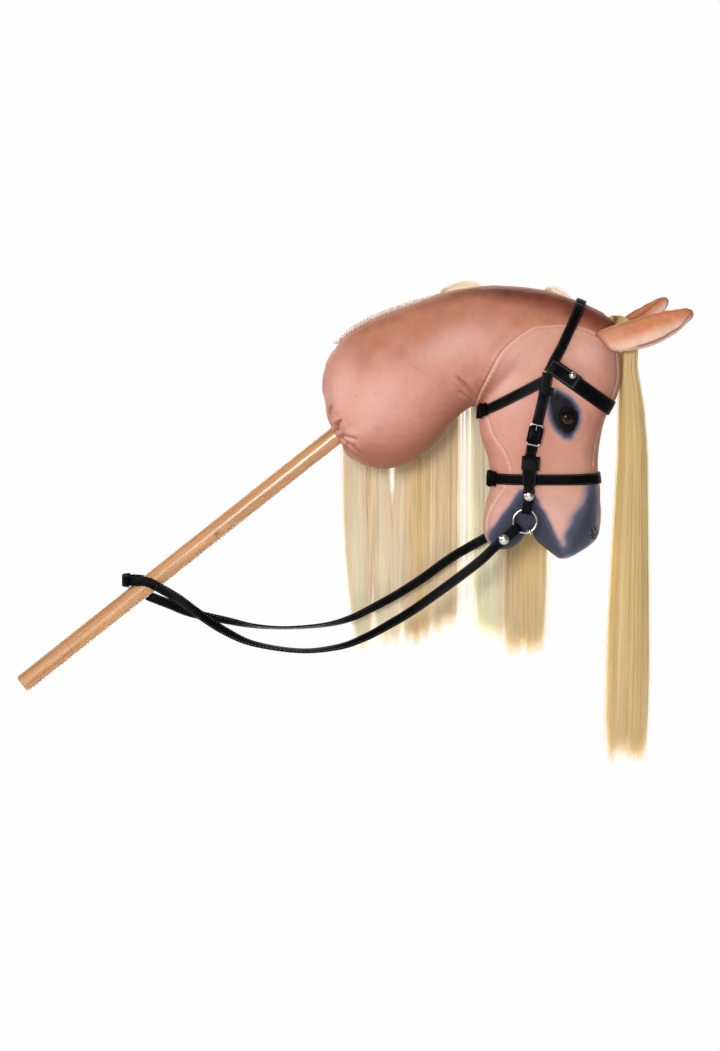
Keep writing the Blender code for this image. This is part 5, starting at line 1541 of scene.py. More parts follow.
def paint_eye(add):
    """Moulded acrylic safety eye: a brown iris ring and a black pupil under a polished clear
    dome."""
    iris = bpy.context.scene.horse_colours.iris
    from_middle = add("Attribute", {"attribute_name": "from_pupil"}, out="Fac")
    fibres = add("TexNoise", {"Scale": 1000 / 0.9}, {"Vector": add("TexCoord", out="Object")})
    ring, inside, outside = (
        add("ValToRGB", {"stops": stops}, {"Fac": source})
        for source, stops in (
            (fibres, ((0.3, iris), (0.75, shaded(iris, 1.2)))),
            (from_middle, ((0.30, NOWHERE), (0.42, EVERYWHERE))),
            (from_middle, ((0.58, NOWHERE), (0.74, EVERYWHERE))),
        )
    )
    lit = laid_over(add, ring, ("iris_shadow", 1.0, shaded(iris, 0.25)))
    pupil, rim = (0.004, 0.003, 0.003), (0.005, 0.004, 0.004)
    colour = laid_over(add, pupil, (inside, 1.0, lit), (outside, 1.0, rim))
    settings = {"Roughness": 0.06, "IOR": 1.49, "Specular IOR Level": 0.14}
    return add("BsdfPrincipled", settings, {"Base Color": colour})


def paint_felt(add):
    """Pressed wool felt, dyed black: matt, with a tangle of short fibres."""
    settings = {"Scale": 1000 / 1.0, "Detail": 3.0, "Roughness": 0.7}
    fibres = add("TexNoise", settings, {"Vector": add("TexCoord", out="Object")})
    stops = ((0.3, linear("#060608")), (0.8, linear("#121216")))
    colour = add("ValToRGB", {"stops": stops}, {"Fac": fibres})
    relief = add("Bump", {"Strength": 0.5, "Distance": 0.00025}, {"Height": fibres})
    settings = {"Roughness": 0.85, "Specular IOR Level": 0.15}
    return add("BsdfPrincipled", settings, {"Base Color": colour, "Normal": relief})


def paint_stem(add):
    """Moulded polypropylene: plain white, satin, faintly mottled where it cooled."""
    mottle = add("TexNoise", {"Scale": 1000 / 4.0}, {"Vector": add("TexCoord", out="Object")})
    stops = ((0.3, linear("#D8D8D4")), (0.7, linear("#E6E6E2")))
    colour = add("ValToRGB", {"stops": stops}, {"Fac": mottle})
    return add("BsdfPrincipled", {"Roughness": 0.45}, {"Base Color": colour})


def eye_place(side_name):
    """The spot where an eye meets the skin and the way out, from the washer that locks it."""
    points = coordinates(NODES[side_name + "_eye_washer"].data)
    middle = points.mean(0)
    _, _, axes = np.linalg.svd(points - middle, full_matrices=False)
    out = Vector(axes[2]) * (1 if axes[2][1] * SIDES[side_name] > 0 else -1)
    return Vector(middle) + out * EYE_STEM_DEPTH, out


def flat_node_axes(node):
    """A disc-like node's middle, its axis turned to its own side, and its radius and height."""
    points = coordinates(NODES[node].data)
    low, high = points.min(0), points.max(0)
    middle = (low + high) / 2
    _, _, axes = np.linalg.svd(points - points.mean(0), full_matrices=False)
    out = axes[2] * (1 if axes[2][1] * middle[1] > 0 else -1)
    along = (points - middle) @ out
    away = np.linalg.norm((points - middle) - along[:, None] * out, axis=1)
    base = Vector(middle) + Vector(out) * float(along.min())
    return base, Vector(out), float(away.max()), float(along.max() - along.min())


def rim_fold(share):
    """Where an ear's turned-over rim ends, from -1 at its lower edge to 1 at its upper one."""
    return -0.72 + 0.75 * max(0.0, (share - 0.80) / 0.20) ** 1.5


class HORSE_OT_ears(bpy.types.Operator):
    """Fold the two ears, with a turned rim"""

    bl_idname = "horse.ears"
    bl_label = "Ears"

    def execute(self, context):
        finish = finish_named("ear_velour", paint_ear)
        for side_name, (root, tip, turn_deg) in EARS.items():
            side = SIDES[side_name]
            root, tip = Vector(root), Vector(tip)
            along = (tip - root).normalized()
            up = (UP - along * along.z).normalized()
            up.rotate(Matrix.Rotation(radians(-side * turn_deg), 3, along))
            out = along.cross(up) * (1 if along.cross(up).y * side > 0 else -1)
            half_sides, loops, rose, rim = 26, [], [], []
            for share, half_height, half_thick, fold in smooth_through(EAR_SECTIONS, 64):
                middle = root.lerp(tip, share) - up * EAR_SAG * sin(pi * share)
                slant = along * EAR_ROOT_SLANT * (1 - share) ** 3
                outer, inner, edges, folds, linings = [], [], [], [], []
                for k in range(half_sides + 1):
                    s = -cos(pi * k / half_sides)
                    roll = math.exp(-(((abs(s) - 0.86) / 0.07) ** 2)) * min(1.0, 6 * share)
                    bulge = fold * (1 - s * s)
                    wall = half_thick * math.sqrt(max(0.0, 1 - s * s)) * (1 - 0.22 * roll)
                    crease = 0.0016 * math.exp(-((s / 0.10) ** 2)) * sin(pi * min(1.0, share * 1.3))
                    fold_at = rim_fold(share)
                    groove = math.exp(-(((s - fold_at) / 0.085) ** 2)) * min(
                        1.0, max(0.0, (share - 0.20) / 0.15)
                    )
                    lining = math.exp(-(((s - 0.50) / 0.08) ** 2)) * min(1.0, share * 5)
                    place = middle + up * half_height * s - slant * s
                    outer.append(place + out * (bulge + wall - 0.0022 * groove))
                    folds.append(groove)
                    inner.append(place + out * (bulge - wall + crease * 2.0 + 0.0014 * lining))
                    linings.append(lining)
                    edges.append(math.exp(-(((abs(s) - 0.90) / 0.06) ** 2)))
                loops.append(outer + inner[-2:0:-1])
                tip_shade = max(0.0, (share - 0.90) / 0.10)
                inner_edges = [
                    max(e, 0.25, 1.4 * k) for e, k in zip(edges[-2:0:-1], linings[-2:0:-1])
                ]
                root_shade = 0.85 * max(0.0, 1 - share / 0.05)
                rim.extend(
                    max(0.35 * e, 1.0 * f, 0.5 * tip_shade, root_shade)
                    for e, f in zip(edges, folds)
                )
                rim.extend(max(0.55 * e, 0.6 * tip_shade, root_shade) for e in inner_edges)
                rose.extend([0.60 * max(0.0, 1 - share / 0.45)] * (2 * half_sides))
            points, faces = bridge(loops)
            ear = outward_faces(mesh_piece(side_name + "_ear_velour", points, faces, [finish]), 180)
            at = coordinates(ear.data)
            normals = vertex_normals(ear.data)
            set_coordinates(ear.data, at + normals * (0.0006 * rolling(at, 0.022, 31))[:, None])
            low = smooth_step(-((at - np.array(root)) @ np.array(up)), -0.004, 0.017)
            store_mask(ear.data, "ear_rose", np.array(rose))
            store_mask(ear.data, "ear_pale", low)
            store_mask(ear.data, "ear_rim", np.array(rim))
            ear.data.shade_smooth()
            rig.ride(ear, "horse")
            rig.replaces(ear, side_name + "_ear")
            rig.slot(ear, "ear")
            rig.padded(ear, fill=0.6)
        return {"FINISHED"}


def eye_lids(side_name, spot, out):
    """A felt lid of pointed oval outline that covers the dome's rim and lies on the skin."""
    skin = Ground([NODES["head_body"]])
    ahead = (Vector((1.0, 0.0, 0.0)) - out * out.x).normalized()
    up = (UP - out * out.z).normalized()
    rings = []
    for share, height in EYE_LID_PROFILE:
        ring = []
        for k in range(72):
            a = 2 * pi * k / 72
            turn = a - radians(EYE_LID_LEAN_DEG)
            edge = 1 / math.sqrt((cos(turn) / EYE_LID_LONG) ** 2 + (sin(turn) / EYE_LID_WIDE) ** 2)
            edge += 0.0022 * math.exp(-(((cos(turn) + 1) / 0.06) ** 2))
            far = EYE_LID_INSIDE + (edge - EYE_LID_INSIDE) * share
            point = spot - ahead * LID_SET_BACK + (ahead * cos(a) + up * sin(a)) * far
            hit, _ = skin.hit(point + out * 0.05, -out)
            ring.append((hit if hit is not None else point) + out * (height + 0.0008))
        rings.append(ring)
    points, faces = bridge(rings, close_ends=False)
    lids = mesh_piece(
        side_name + "_eye_lids", points, faces, [finish_named("black_felt", paint_felt)], 180
    )
    thick = lids.modifiers.new("Felt", "SOLIDIFY")
    thick.thickness, thick.offset = 0.0012, -1.0
    return outward_faces(settled(lids), 180)


class HORSE_OT_eyes(bpy.types.Operator):
    """Set the two safety eyes"""

    bl_idname = "horse.eyes"
    bl_label = "Eyes"

    def execute(self, context):
        finish = finish_named("polished_acrylic_eye", paint_eye)
        stem_finish = finish_named("moulded_polypropylene", paint_stem)
        for side_name in SIDES:
            spot, out = eye_place(side_name)
            radius, rim = EYE_DIAMETER / 2, -EYE_SUNK + 0.001
            crown = EYE_HEIGHT - EYE_SUNK
            profile = [
                (0, -EYE_SUNK),
                (radius * 0.96, -EYE_SUNK),
                (radius, -EYE_SUNK + 0.0004),
                (radius, rim),
            ]
            for k in range(1, 24):
                a = pi / 2 * k / 24
                profile.append((radius * cos(a), rim + (crown - rim) * sin(a)))
            profile.append((0, crown))
            eye = turned(side_name + "_eye_dome", spot, out, profile, 72, finish)
            at = coordinates(eye.data) - np.array(spot)
            flat = at - (at @ np.array(out))[:, None] * np.array(out) + np.array(
                (IRIS_SET_BACK, 0.0, 0.0)
            )
            store_mask(eye.data, "from_pupil", np.linalg.norm(flat, axis=1) / radius)
            store_mask(
                eye.data, "iris_shadow", smooth_step(flat[:, 2] + 0.3 * flat[:, 0], -0.002, 0.005)
            )
            put_on(eye_lids(side_name, spot, out), "horse", slot="eye")
            put_on(eye, "horse", side_name + "_eye", slot="eye")
            washer = NODES[side_name + "_eye_washer"]
            washer.data.materials.clear()
            washer.data.materials.append(stem_finish)
        return {"FINISHED"}


def evenly(points, step, closed=False):
    path = [Vector(p) for p in points]
    if closed:
        path.append(path[0].copy())
    along = [0.0]
    for a, b in zip(path, path[1:]):
        along.append(along[-1] + (b - a).length)
    count = max(2, round(along[-1] / step))
    found, i = [], 0
    for k in range(count if closed else count + 1):
        target = along[-1] * k / count
        while i < len(along) - 2 and along[i + 1] < target:
            i += 1
        span = along[i + 1] - along[i]
        found.append(path[i].lerp(path[i + 1], (target - along[i]) / span if span else 0.0))
    return found


def window_of(values, i, reach, closed):
    count = len(values)
    if closed:
        return [values[j % count] for j in range(i - reach, i + reach + 1)]
    return [values[min(max(j, 0), count - 1)] for j in range(i - reach, i + reach + 1)]


def lay_frames(skin, laid, rays, width, closed=False):
    """Where a strap's inner face runs: (point, outward, sideways) every other millimetre. It lies
    on the skin and rises over whatever was laid there before it."""
    base = [hit for hit, _ in (skin.hit(o, d) for o, d in rays) if hit is not None]
    fine = evenly(base, FINE_STEP, closed)
    rough = [skin.tree.find_nearest(p)[1] for p in fine]
    count = len(fine)
    outward = [sum(window_of(rough, i, 6, closed), Vector()).normalized() for i in range(count)]
    sideways, heights = [], []
    for i, point in enumerate(fine):
        before = fine[i - 2] if closed else fine[max(i - 2, 0)]
        after = fine[(i + 2) % count] if closed else fine[min(i + 2, count - 1)]
        run = (after - before).normalized()
        outward[i] = (outward[i] - run * outward[i].dot(run)).normalized()
        sideways.append(run.cross(outward[i]))
        tops = [0.0]
        for share in (-0.5, -0.25, 0.0, 0.25, 0.5):
            start = point + sideways[i] * width * share + outward[i] * 0.03
            top, _ = laid.hit(start, -outward[i])
            if top is not None and (top - start).length < 0.045:
                tops.append((top - point).dot(outward[i]))
        heights.append(max(tops))
    risen = [max(window_of(heights, i, 3, closed)) for i in range(count)]
    settled_heights = [sum(window_of(risen, i, 3, closed)) / 7 for i in range(count)]
    return [
        (
            fine[i] + outward[i] * (max(settled_heights[i], heights[i]) + STRAP_LIFT),
            outward[i],
            sideways[i],
        )
        for i in range(count)
    ]


def round_rays(middle, towards, start_deg, end_deg, count=160):
    """Rays that walk round the head in the upright plane through two points of the middle plane."""
    origin = in_plane(middle)
    ahead = (in_plane(towards) - origin).normalized()
    rays = []
    for k in range(count + 1):
        a = radians(start_deg + (end_deg - start_deg) * k / count)
        out = ahead * cos(a) - ACROSS * sin(a)
        rays.append((origin + out * RAY_FROM, -out))
    return rays


def side_rays(points, side, count=60):
    """Rays from one side along a line drawn on the middle plane."""
    return [
        (Vector((x, side * RAY_FROM, z)), Vector((0, -side, 0)))
        for x, z in smooth_through(points, count)
    ]


def in_between(a, b):
    return ((a[0] + b[0]) / 2, (a[1] + b[1]) / 2)


def ring_loop(name, centre, angle_deg, length, width, out):
    """Leather folded round a ring's wire, its two layers meeting beyond it."""
    u = ring_angle(angle_deg)
    across = u.cross(out)
    radius, room = (RING_DIAMETER - RING_WIRE) / 2, RING_WIRE / 2 + RING_PLAY
    inner_turn = math.sqrt(radius**2 - (width / 2 + RING_WIRE / 2) ** 2) - RING_PLAY
    outer_turn = radius + RING_PLAY
    meet = outer_turn + 4 * room
    turns = [pi * (0.5 + k / 14) for k in range(15)]
    hole = [(inner_turn + room * cos(a), room * sin(a)) for a in turns]
    hole += [(outer_turn, -room), (meet, -0.0003), (meet, 0.0003), (outer_turn, room)]
    wall = room + LEATHER
    skirt = [(inner_turn + wall * cos(a), wall * sin(a)) for a in turns]
    skirt += [(outer_turn, -wall), (length, -LEATHER), (length, LEATHER), (outer_turn, wall)]
    points, count = [], len(hole)
    for share in (-0.5, 0.5):
        for outline in (skirt, hole):
            points.extend(centre + u * a + out * b + across * width * share for a, b in outline)
    faces = []
    for k in range(count):
        j = (k + 1) % count
        faces.append((k, j, count + j, count + k))
        faces.append((2 * count + k, 3 * count + k, 3 * count + j, 2 * count + j))
        faces.append((k, 2 * count + k, 2 * count + j, j))
        faces.append((count + k, count + j, 3 * count + j, 3 * count + k))
    loop = outward_faces(mesh_piece(name, points, faces, [leather()]), 180)
    edges = loop.modifiers.new("Edges", "BEVEL")
    edges.width, edges.segments, edges.limit_method, edges.angle_limit = (
        0.0006, 3, "ANGLE", radians(50)
    )
    loop = settled(loop)
    loop.data.shade_smooth()
    loop.data.set_sharp_from_angle(angle=radians(50))
    return loop


def nickel_cap(name, node, finish):
    """A press stud's domed cap with a rolled rim, where its solid is."""
    base, out, radius, height = flat_node_axes(node)
    profile = [
        (0, 0.0), (radius * 0.90, 0.0), (radius * 0.98, height * 0.08), (radius, height * 0.20)
    ]
    profile += [
        (radius * 0.97, height * 0.33),
        (radius * 0.90, height * 0.38),
        (radius * 0.85, height * 0.42),
    ]
    for k in range(1, 10):
        a = pi / 2 * k / 10
        profile.append((radius * 0.83 * cos(a), height * (0.42 + 0.58 * sin(a))))
    profile.append((0, height))
    return turned(name, base, out, profile, 40, finish, 60.0)


def buckle_axes(side_name):
    mirror = -SIDES[side_name]
    turn = [
        Vector((v.x, v.y * mirror, v.z))
        for v in (BUCKLE_MIDDLE, BUCKLE_UP, BUCKLE_ACROSS, BUCKLE_OUT)
    ]
    return turn[0], turn[1].normalized(), turn[2].normalized(), turn[3].normalized()


def billet_frames(axes, skin, laid, side):
    """The lower strap: under the buckle's top bar, over its middle bar, under its foot bar and down
    the cheek to the ring loop."""
    centre, up, across, out = axes
    gap, wire = 0.0003, BUCKLE_WIRE / 2
    spot = centre - out * (2 * gap + LEATHER + wire)
    low, high = gap, 2 * gap + LEATHER + 2 * wire + 2 * gap
    half = BUCKLE_LENGTH / 2 - wire
    stations = (
        (half + 0.007, low), (half - 0.0024, low), (half * 0.60, low + (high - low) * 0.35),
        (half * 0.30, low + (high - low) * 0.90), (0.0, high),
        (-half * 0.30, low + (high - low) * 0.90),
        (-half * 0.60, low + (high - low) * 0.35), (-half + 0.0024, low), (-half - 0.006, low),
    )
    upper = [(spot + up * a + out * b, out, across) for a, b in smooth_through(stations, 25)]
    rays = side_rays((CHEEK_LOW, LOOP_TOP, LOOP_FOOT, BILLET_END), side)
    lower = lay_frames(skin, laid, rays, CHEEK_WIDTH)
    if lower[0][2].dot(across) < 0:
        lower = [(p, n, -s) for p, n, s in lower]
    return upper + lower[1:]


def buckle_wings(side_name, axes):
    """The billet's edges, spread over the buckle's side wires and clear of its tongue."""
    centre, up, across, out = axes
    wire = BUCKLE_WIRE / 2
    half, over = BUCKLE_LENGTH / 2 - wire, wire + 0.0003
    stations = (
        (half - 0.0030, over - 0.0022),
        (half * 0.62, over - 0.0004),
        (0.0, over),
        (-half * 0.62, over - 0.0004),
        (-half + 0.0030, over - 0.0022),
    )
    inner, outer = TONGUE_ROOM, BUCKLE_WIDTH / 2 + 0.0004
    for number, sign in enumerate((-1, 1), 1):
        middle = centre + across * sign * (inner + outer) / 2
        frames = [(middle + up * a + out * b, out, across) for a, b in smooth_through(stations, 15)]
        wing = strap_body(
            f"{side_name}_billet_wing_{number}",
            frames,
            outer - inner,
            LEATHER * 0.6,
            [leather()],
            stitched=False,
            inset=0.0012,
        )
        put_on(wing, "horse")


def smooth_buckle(side_name, axes, finish):
    """The buckle's frame with its middle bar, as one wire form."""
    centre, up, across, _ = axes
    wire = BUCKLE_WIRE / 2
    half_l, half_w = BUCKLE_LENGTH / 2 - wire, BUCKLE_WIDTH / 2 - wire
    path = []
    for sign_u, sign_v in ((1, 1), (1, -1), (-1, -1), (-1, 1)):
        turns = range(90, -1, -15) if sign_u * sign_v > 0 else range(0, 91, 15)
        for turn in turns:
            a = radians(turn)
            bend = Vector((sign_u * cos(a), sign_v * sin(a))) * BUCKLE_CORNER
            corner = Vector((sign_u * (half_l - BUCKLE_CORNER), sign_v * (half_w - BUCKLE_CORNER)))
            path.append(centre + up * (corner.x + bend.x) + across * (corner.y + bend.y))
    frame_piece = tube(side_name + "_buckle_wire", path, wire, 14, finish, closed=True)
    bar = tube(
        side_name + "_buckle_bar",
        [centre - across * half_w, centre + across * half_w],
        wire * 0.9,
        12,
        finish,
    )
    return frame_piece, bar


def sewn_lines(name, laid, lines, side, step=0.0024):
    """Rows of stitches laid over the leather along lines seen from the side (x, z)."""
    points, faces = [], []
    for line in lines:
        path = [Vector((x, side * RAY_FROM, z)) for x, z in line]
        for start in evenly(path, step):
            hit, normal = laid.hit(start, Vector((0, -side, 0)))
            ahead, _ = laid.hit(
                start + (path[-1] - path[0]).normalized() * step * 0.7, Vector((0, -side, 0))
            )
            if hit is None or ahead is None or (ahead - hit).length > step:
                continue
            normal = -normal if normal.y * side < 0 else normal
            across = (ahead - hit).cross(normal).normalized() * 0.0006
            hit, ahead = hit + normal * 0.0002, ahead + normal * 0.0002
            first, middle = len(points), (hit + ahead) / 2
            points += [hit, middle + across, ahead, middle - across, middle + normal * 0.0006]
            faces += [(first + k, first + (k + 1) % 4, first + 4) for k in range(4)]
    return put_on(mesh_piece(name, points, faces, [pale_thread()]), "horse")


def fold_stitching(inset, far_inset):
    """The stitched rectangle on a browband's folded end, as four lines."""
    along = Vector((FOLD_END[0] - TEMPLE[0], FOLD_END[1] - TEMPLE[1]))
    length = along.length
    along.normalize()
    across = Vector((-along.y, along.x))
    low, high = inset - 0.006, length - far_inset
    half = BROWBAND_WIDTH / 2 - inset
    corners = [
        Vector(TEMPLE) + along * a + across * b
        for a, b in ((low, half), (high, half), (high, -half), (low, -half))
    ]
    return [(corners[k], corners[(k + 1) % 4]) for k in range(4)]


# The rolled leather end at a runner: its radius, and the turns of its rounded outline
RUNNER_ROLL = 0.0048
TONGUE_ROOM = 0.0022
ROLL_TURNS = [radians(-80 + 16 * k) for k in range(11)]


class HORSE_OT_bridle(bpy.types.Operator):
    """Lay every strap of the bridle in the order in which it goes on"""

    bl_idname = "horse.bridle"
    bl_label = "Bridle"

    def execute(self, context):
        inset = context.scene.horse_sizes.stitch_inset
        finishes = [leather(), thread()]
        skin = Ground([NODES["neck_body"], NODES["head_body"], NODES["lower_jaw"]])
        laid = Ground(
            [NODES["neck_body"], NODES["head_body"], NODES["lower_jaw"], NODES["mane_weft"]]
        )
        head_skin = Ground([NODES["head_body"], NODES["lower_jaw"]])

        def strap(node, frames, width, ground, closed=False, stitched=True, thickness=LEATHER):
            piece = strap_body(
                node + "_hide", frames, width, thickness, finishes, closed, stitched, inset
            )
            put_on(piece, "horse", node)
            ground.add(piece)
            return piece

        middle = in_between(JAW_BACK, NOSE_FRONT)
        rays = round_rays(middle, NOSE_FRONT, 0, 357, 200)
        strap(
            "noseband",
            lay_frames(skin, laid, rays, NOSEBAND_WIDTH, True),
            NOSEBAND_WIDTH,
            laid,
            closed=True,
        )
        for side_name, side in SIDES.items():
            out, centre = ACROSS * side, ring_centre(side_name)
            for kind, angle, length in (
                ("cheek", CHEEK_LOOP_ANGLE, CHEEK_LOOP_LENGTH),
                ("rein", REIN_ANGLES[side_name], REIN_LOOP_LENGTH),
            ):
                loop = ring_loop(
                    f"{side_name}_{kind}_loop_hide", centre, angle, length, REIN_WIDTH, out
                )
                put_on(loop, "horse", f"{side_name}_{kind}_loop")
                laid.add(loop)
        rays = round_rays(TEMPLE, BROW, 96, -96)
        strap("browband", lay_frames(skin, laid, rays, BROWBAND_WIDTH), BROWBAND_WIDTH, laid)
        throat_laid = Ground([NODES["head_body"], NODES["lower_jaw"]])
        rays = round_rays(THROAT_FROM, THROAT_TO, 90, -90)
        throatlash = strap(
            "throatlash",
            lay_frames(head_skin, throat_laid, rays, THROATLASH_WIDTH),
            THROATLASH_WIDTH,
            laid,
        )
        throat_laid.add(throatlash)
        rays = round_rays(TEMPLE, POLL, 96, -96)
        strap("headpiece", lay_frames(skin, laid, rays, HEADPIECE_WIDTH), HEADPIECE_WIDTH, laid)
        for side_name, side in SIDES.items():
            rays = side_rays((CHEEK_TOP, CHEEK_BEND, BUCKLE_CENTRE), side)
            strap(
                side_name + "_cheek_strap",
                lay_frames(skin, laid, rays, CHEEK_WIDTH),
                CHEEK_WIDTH,
                laid,
            )
            rays = side_rays((TEMPLE, FOLD_END), side)
            strap(
                side_name + "_browband_fold",
                lay_frames(skin, laid, rays, BROWBAND_WIDTH),
                BROWBAND_WIDTH,
                laid,
            )
            lines = fold_stitching(0.0030, 0.0020) + fold_stitching(0.0048, 0.0040)[1:2]
            sewn_lines(side_name + "_fold_stitches", laid, lines, side)
            rays = side_rays(THROAT_KEEPER, side)
            keeper = strap_body(
                side_name + "_throat_keeper_hide",
                lay_frames(skin, laid, rays, CHEEK_WIDTH + 0.003), CHEEK_WIDTH + 0.003,
                LEATHER, finishes, inset=inset,
            )
            put_on(keeper, "horse")
            axes = buckle_axes(side_name)
            strap(
                side_name + "_cheek_billet",
                billet_frames(axes, skin, laid, side),
                CHEEK_WIDTH,
                laid,
            )
            buckle_wings(side_name, axes)
            for kind, start, end, width in (
                ("noseband_loop", LOOP_TOP, LOOP_FOOT, NOSEBAND_LOOP_WIDTH),
                ("cheek_runner", RUNNER_TOP, RUNNER_FOOT, RUNNER_WIDTH),
            ):
                rays = side_rays((start, end), side)
                strap(f"{side_name}_{kind}", lay_frames(skin, laid, rays, width), width, laid)
        for name, ground, under, centre, towards, angles, width in (
            (
                "throatlash_runner",
                head_skin,
                throat_laid,
                THROAT_FROM,
                THROAT_TO,
                (22, 10),
                THROATLASH_WIDTH + 0.004,
            ),
            ("noseband_runner", skin, laid, middle, JAW_BACK, (26, 10), NOSEBAND_WIDTH + 0.006),
        ):
            rays = round_rays(centre, towards, *angles, 20)
            frames = lay_frames(ground, under, rays, width)
            strap(name, frames, width, laid, False, False, LEATHER * 1.4)
            point, outward, sideways = frames[len(frames) // 2]
            reach, bulge = width / 2 + 0.0015, RUNNER_ROLL
            profile = [(0, -reach)] + [
                (bulge * cos(a) ** 0.5, reach * sin(a)) for a in ROLL_TURNS
            ] + [(0, reach)]
            roll = turned(
                name + "_roll", point + outward * LEATHER, sideways, profile, 32, leather(), 60.0
            )
            put_on(roll, "horse")
        return {"FINISHED"}


class HORSE_OT_metal(bpy.types.Operator):
    """Make the rings, the mouthpiece, the buckles and the press studs"""

    bl_idname = "horse.metal"
    bl_label = "Rings, buckles and studs"

    def execute(self, context):
        finish = nickel()
        radius = (RING_DIAMETER - RING_WIRE) / 2
        ends = {}
        for side_name in SIDES:
            centre = ring_centre(side_name)
            path = [centre + ring_angle(360 * k / 96) * radius for k in range(96)]
            ring = tube(side_name + "_bit_ring_wire", path, RING_WIRE / 2, 16, finish, closed=True)
            put_on(ring, side_name + "_bit_ring", side_name + "_bit_ring", slot="steel")
            ends[side_name] = centre + ring_angle(BIT_ANGLE) * radius
            for kind in ("cheek", "rein", "browband"):
                node = f"{side_name}_{kind}_stud"
                put_on(nickel_cap(node + "_cap", node, finish), "horse", node, slot="steel")
            frame_piece, bar = smooth_buckle(side_name, buckle_axes(side_name), finish)
            put_on(frame_piece, "horse", side_name + "_buckle_frame", slot="steel")
            put_on(bar, "horse", slot="steel")
            tongue = NODES[side_name + "_buckle_tongue"]
            tongue.data.materials.clear()
            tongue.data.materials.append(finish)
        eye_inner = RING_WIRE / 2 + RING_PLAY
        reach = eye_inner + BIT_EYE_WALL * 1.4
        near, far = ends["near"] + ACROSS * reach, ends["far"] - ACROSS * reach
        path, radii = [], []
        for k in range(33):
            share = k / 32
            path.append(near.lerp(far, share))
            swell = 0.5 + 0.5 * cos(2 * pi * share)
            collar = math.exp(-((min(share, 1 - share) / 0.02) ** 2))
            radii.append(BIT_BAR_DIAMETER / 2 * (0.80 + 0.20 * swell) + 0.0002 * collar)
        bar = tube("bit_mouthpiece_bar", path, radii, 24, finish)
        put_on(bar, "horse", "bit_mouthpiece", slot="steel")
        along = ring_angle(BIT_ANGLE + 90)
        for side_name, centre in ends.items():
            wall = BIT_EYE_WALL / 2
            profile = [
                (reach + 2 * wall * cos(radians(30 * k)), 0.0016 * sin(radians(30 * k)))
                for k in range(12)
            ]
            put_on(
                turned(side_name + "_bit_eye", centre, along, profile, 32, finish, 60.0),
                "horse",
                slot="steel",
            )
        return {"FINISHED"}


# The mane: the weft's reach along the crest, then each lock's middle at the crest and where it
# hangs, its width, the height of its tip and how far it stands up from the crest
WEFT_FROM, WEFT_TO = 0.097, 0.494
MANE_LOCKS = (
    (0.1330, 0.1275, 0.042, -0.246, 0.0015),
    (0.1750, 0.1715, 0.042, -0.240, 0.0015),
    (0.2170, 0.2150, 0.041, -0.237, 0.0020),
    (0.2580, 0.2560, 0.035, -0.222, 0.0040),
    (0.3270, 0.3250, 0.042, -0.231, 0.0030),
    (0.3860, 0.3765, 0.059, -0.256, 0.0030),
)
LOCK_BEND, TIP_LENGTH = 0.065, 0.014
LOCK_THICKNESS = 0.009
MANE_TONES = (0.84, 0.76, 0.58, 0.56, 0.88, 0.50)
# Where a lock lets light through: middle and half width across it, and from where to where along it
# the gap narrows; and where a lock's tips draw together
LOCK_LOOKS = {
    1: {"gaps": ((0.30, 0.07, 0.55, 0.86),), "lean": (0.22, 0.62)},
    2: {"gaps": ((0.14, 0.17, 0.52, 0.76), (-0.36, 0.05, 0.60, 0.90)), "lean": (0.05, 0.22)},
    5: {"gaps": ((-0.20, 0.05, 0.50, 1.3),), "lean": (0.25, 0.12), "gather": 0.10},
    6: {"gaps": ((-0.30, 0.03, 0.60, 1.1),), "lean": (0.16, 0.12), "gather": 0.12},
}
# Thin strands that hang beside a lock: from where to where across it, and how many
LOCK_STRAYS = {
    4: ((0.54, 0.68, 16), (0.72, 0.86, 12), (0.92, 1.02, 9), (1.10, 1.20, 8)),
    5: ((-0.56, -0.66, 13), (-0.72, -0.84, 9)),
    6: ((0.56, 0.64, 5), (0.70, 0.74, 3)),
}
# Where hair is swept up over the crest into a lock: its lock, where it starts (x, z), how high it
# rises and where it goes over (x, z)
TUFTS = (
    (4, ((0.3180, 0.2960), 0.3105, (0.2540, 0.2860))),
    (6, ((0.4460, 0.2760), 0.2890, (0.4080, 0.2885))),
)
# Along the forelock: x, z, its size along x and along y
FORELOCK_SECTIONS = (
    (0.4930, 0.2310, 0.006, 0.014),
    (0.5060, 0.2450, 0.014, 0.018),
    (0.5240, 0.2385, 0.018, 0.020),
    (0.5325, 0.2150, 0.018, 0.023),
    (0.5308, 0.1800, 0.017, 0.026),
    (0.5350, 0.1200, 0.028, 0.030),
    (0.5378, 0.0500, 0.034, 0.034),
    (0.5362, -0.0500, 0.040, 0.038),
    (0.5335, -0.1700, 0.047, 0.038),
    (0.5315, -0.3000, 0.053, 0.034),
    (0.5300, -0.3700, 0.052, 0.026),
    (0.5290, -0.4300, 0.050, 0.018),
)


# How strands lie. Each look's own words are explained at strands_from
LOCK_LOOK = {"clumps": 9, "spread": 0.0016, "fray": 0.075, "gather": 0.22, "loose": 0.22}
STRAY_LOOK = {
    "tone": 0.74, "clumps": 4, "spread": 0.0009, "fray": 0.14, "gather": 0.0, "loose": 0.3
}
TUFT_LOOK = {
    "tone": 0.42, "clumps": 9, "spread": 0.0016, "fray": 0.10, "gather": 0.35, "loose": 0.15
}
FORELOCK_LOOK = {
    "tone": 0.42, "clumps": 13, "spread": 0.0018, "fray": 0.090, "gather": 0.22, "loose": 0.12,
    "streaks": 0.18
}
# The width of a lock that has all its strands, and the forelock's strands beside a lock's
WHOLE_LOCK_WIDTH, FORELOCK_SHARE = 0.042, 1.8
# The short root hair: how many, and the step of the stitching that holds it
ROOT_HAIRS, ROOT_STITCH = 2400, 0.0033
QUICK_PART, QUICK_WIDTH = 4, 1.7


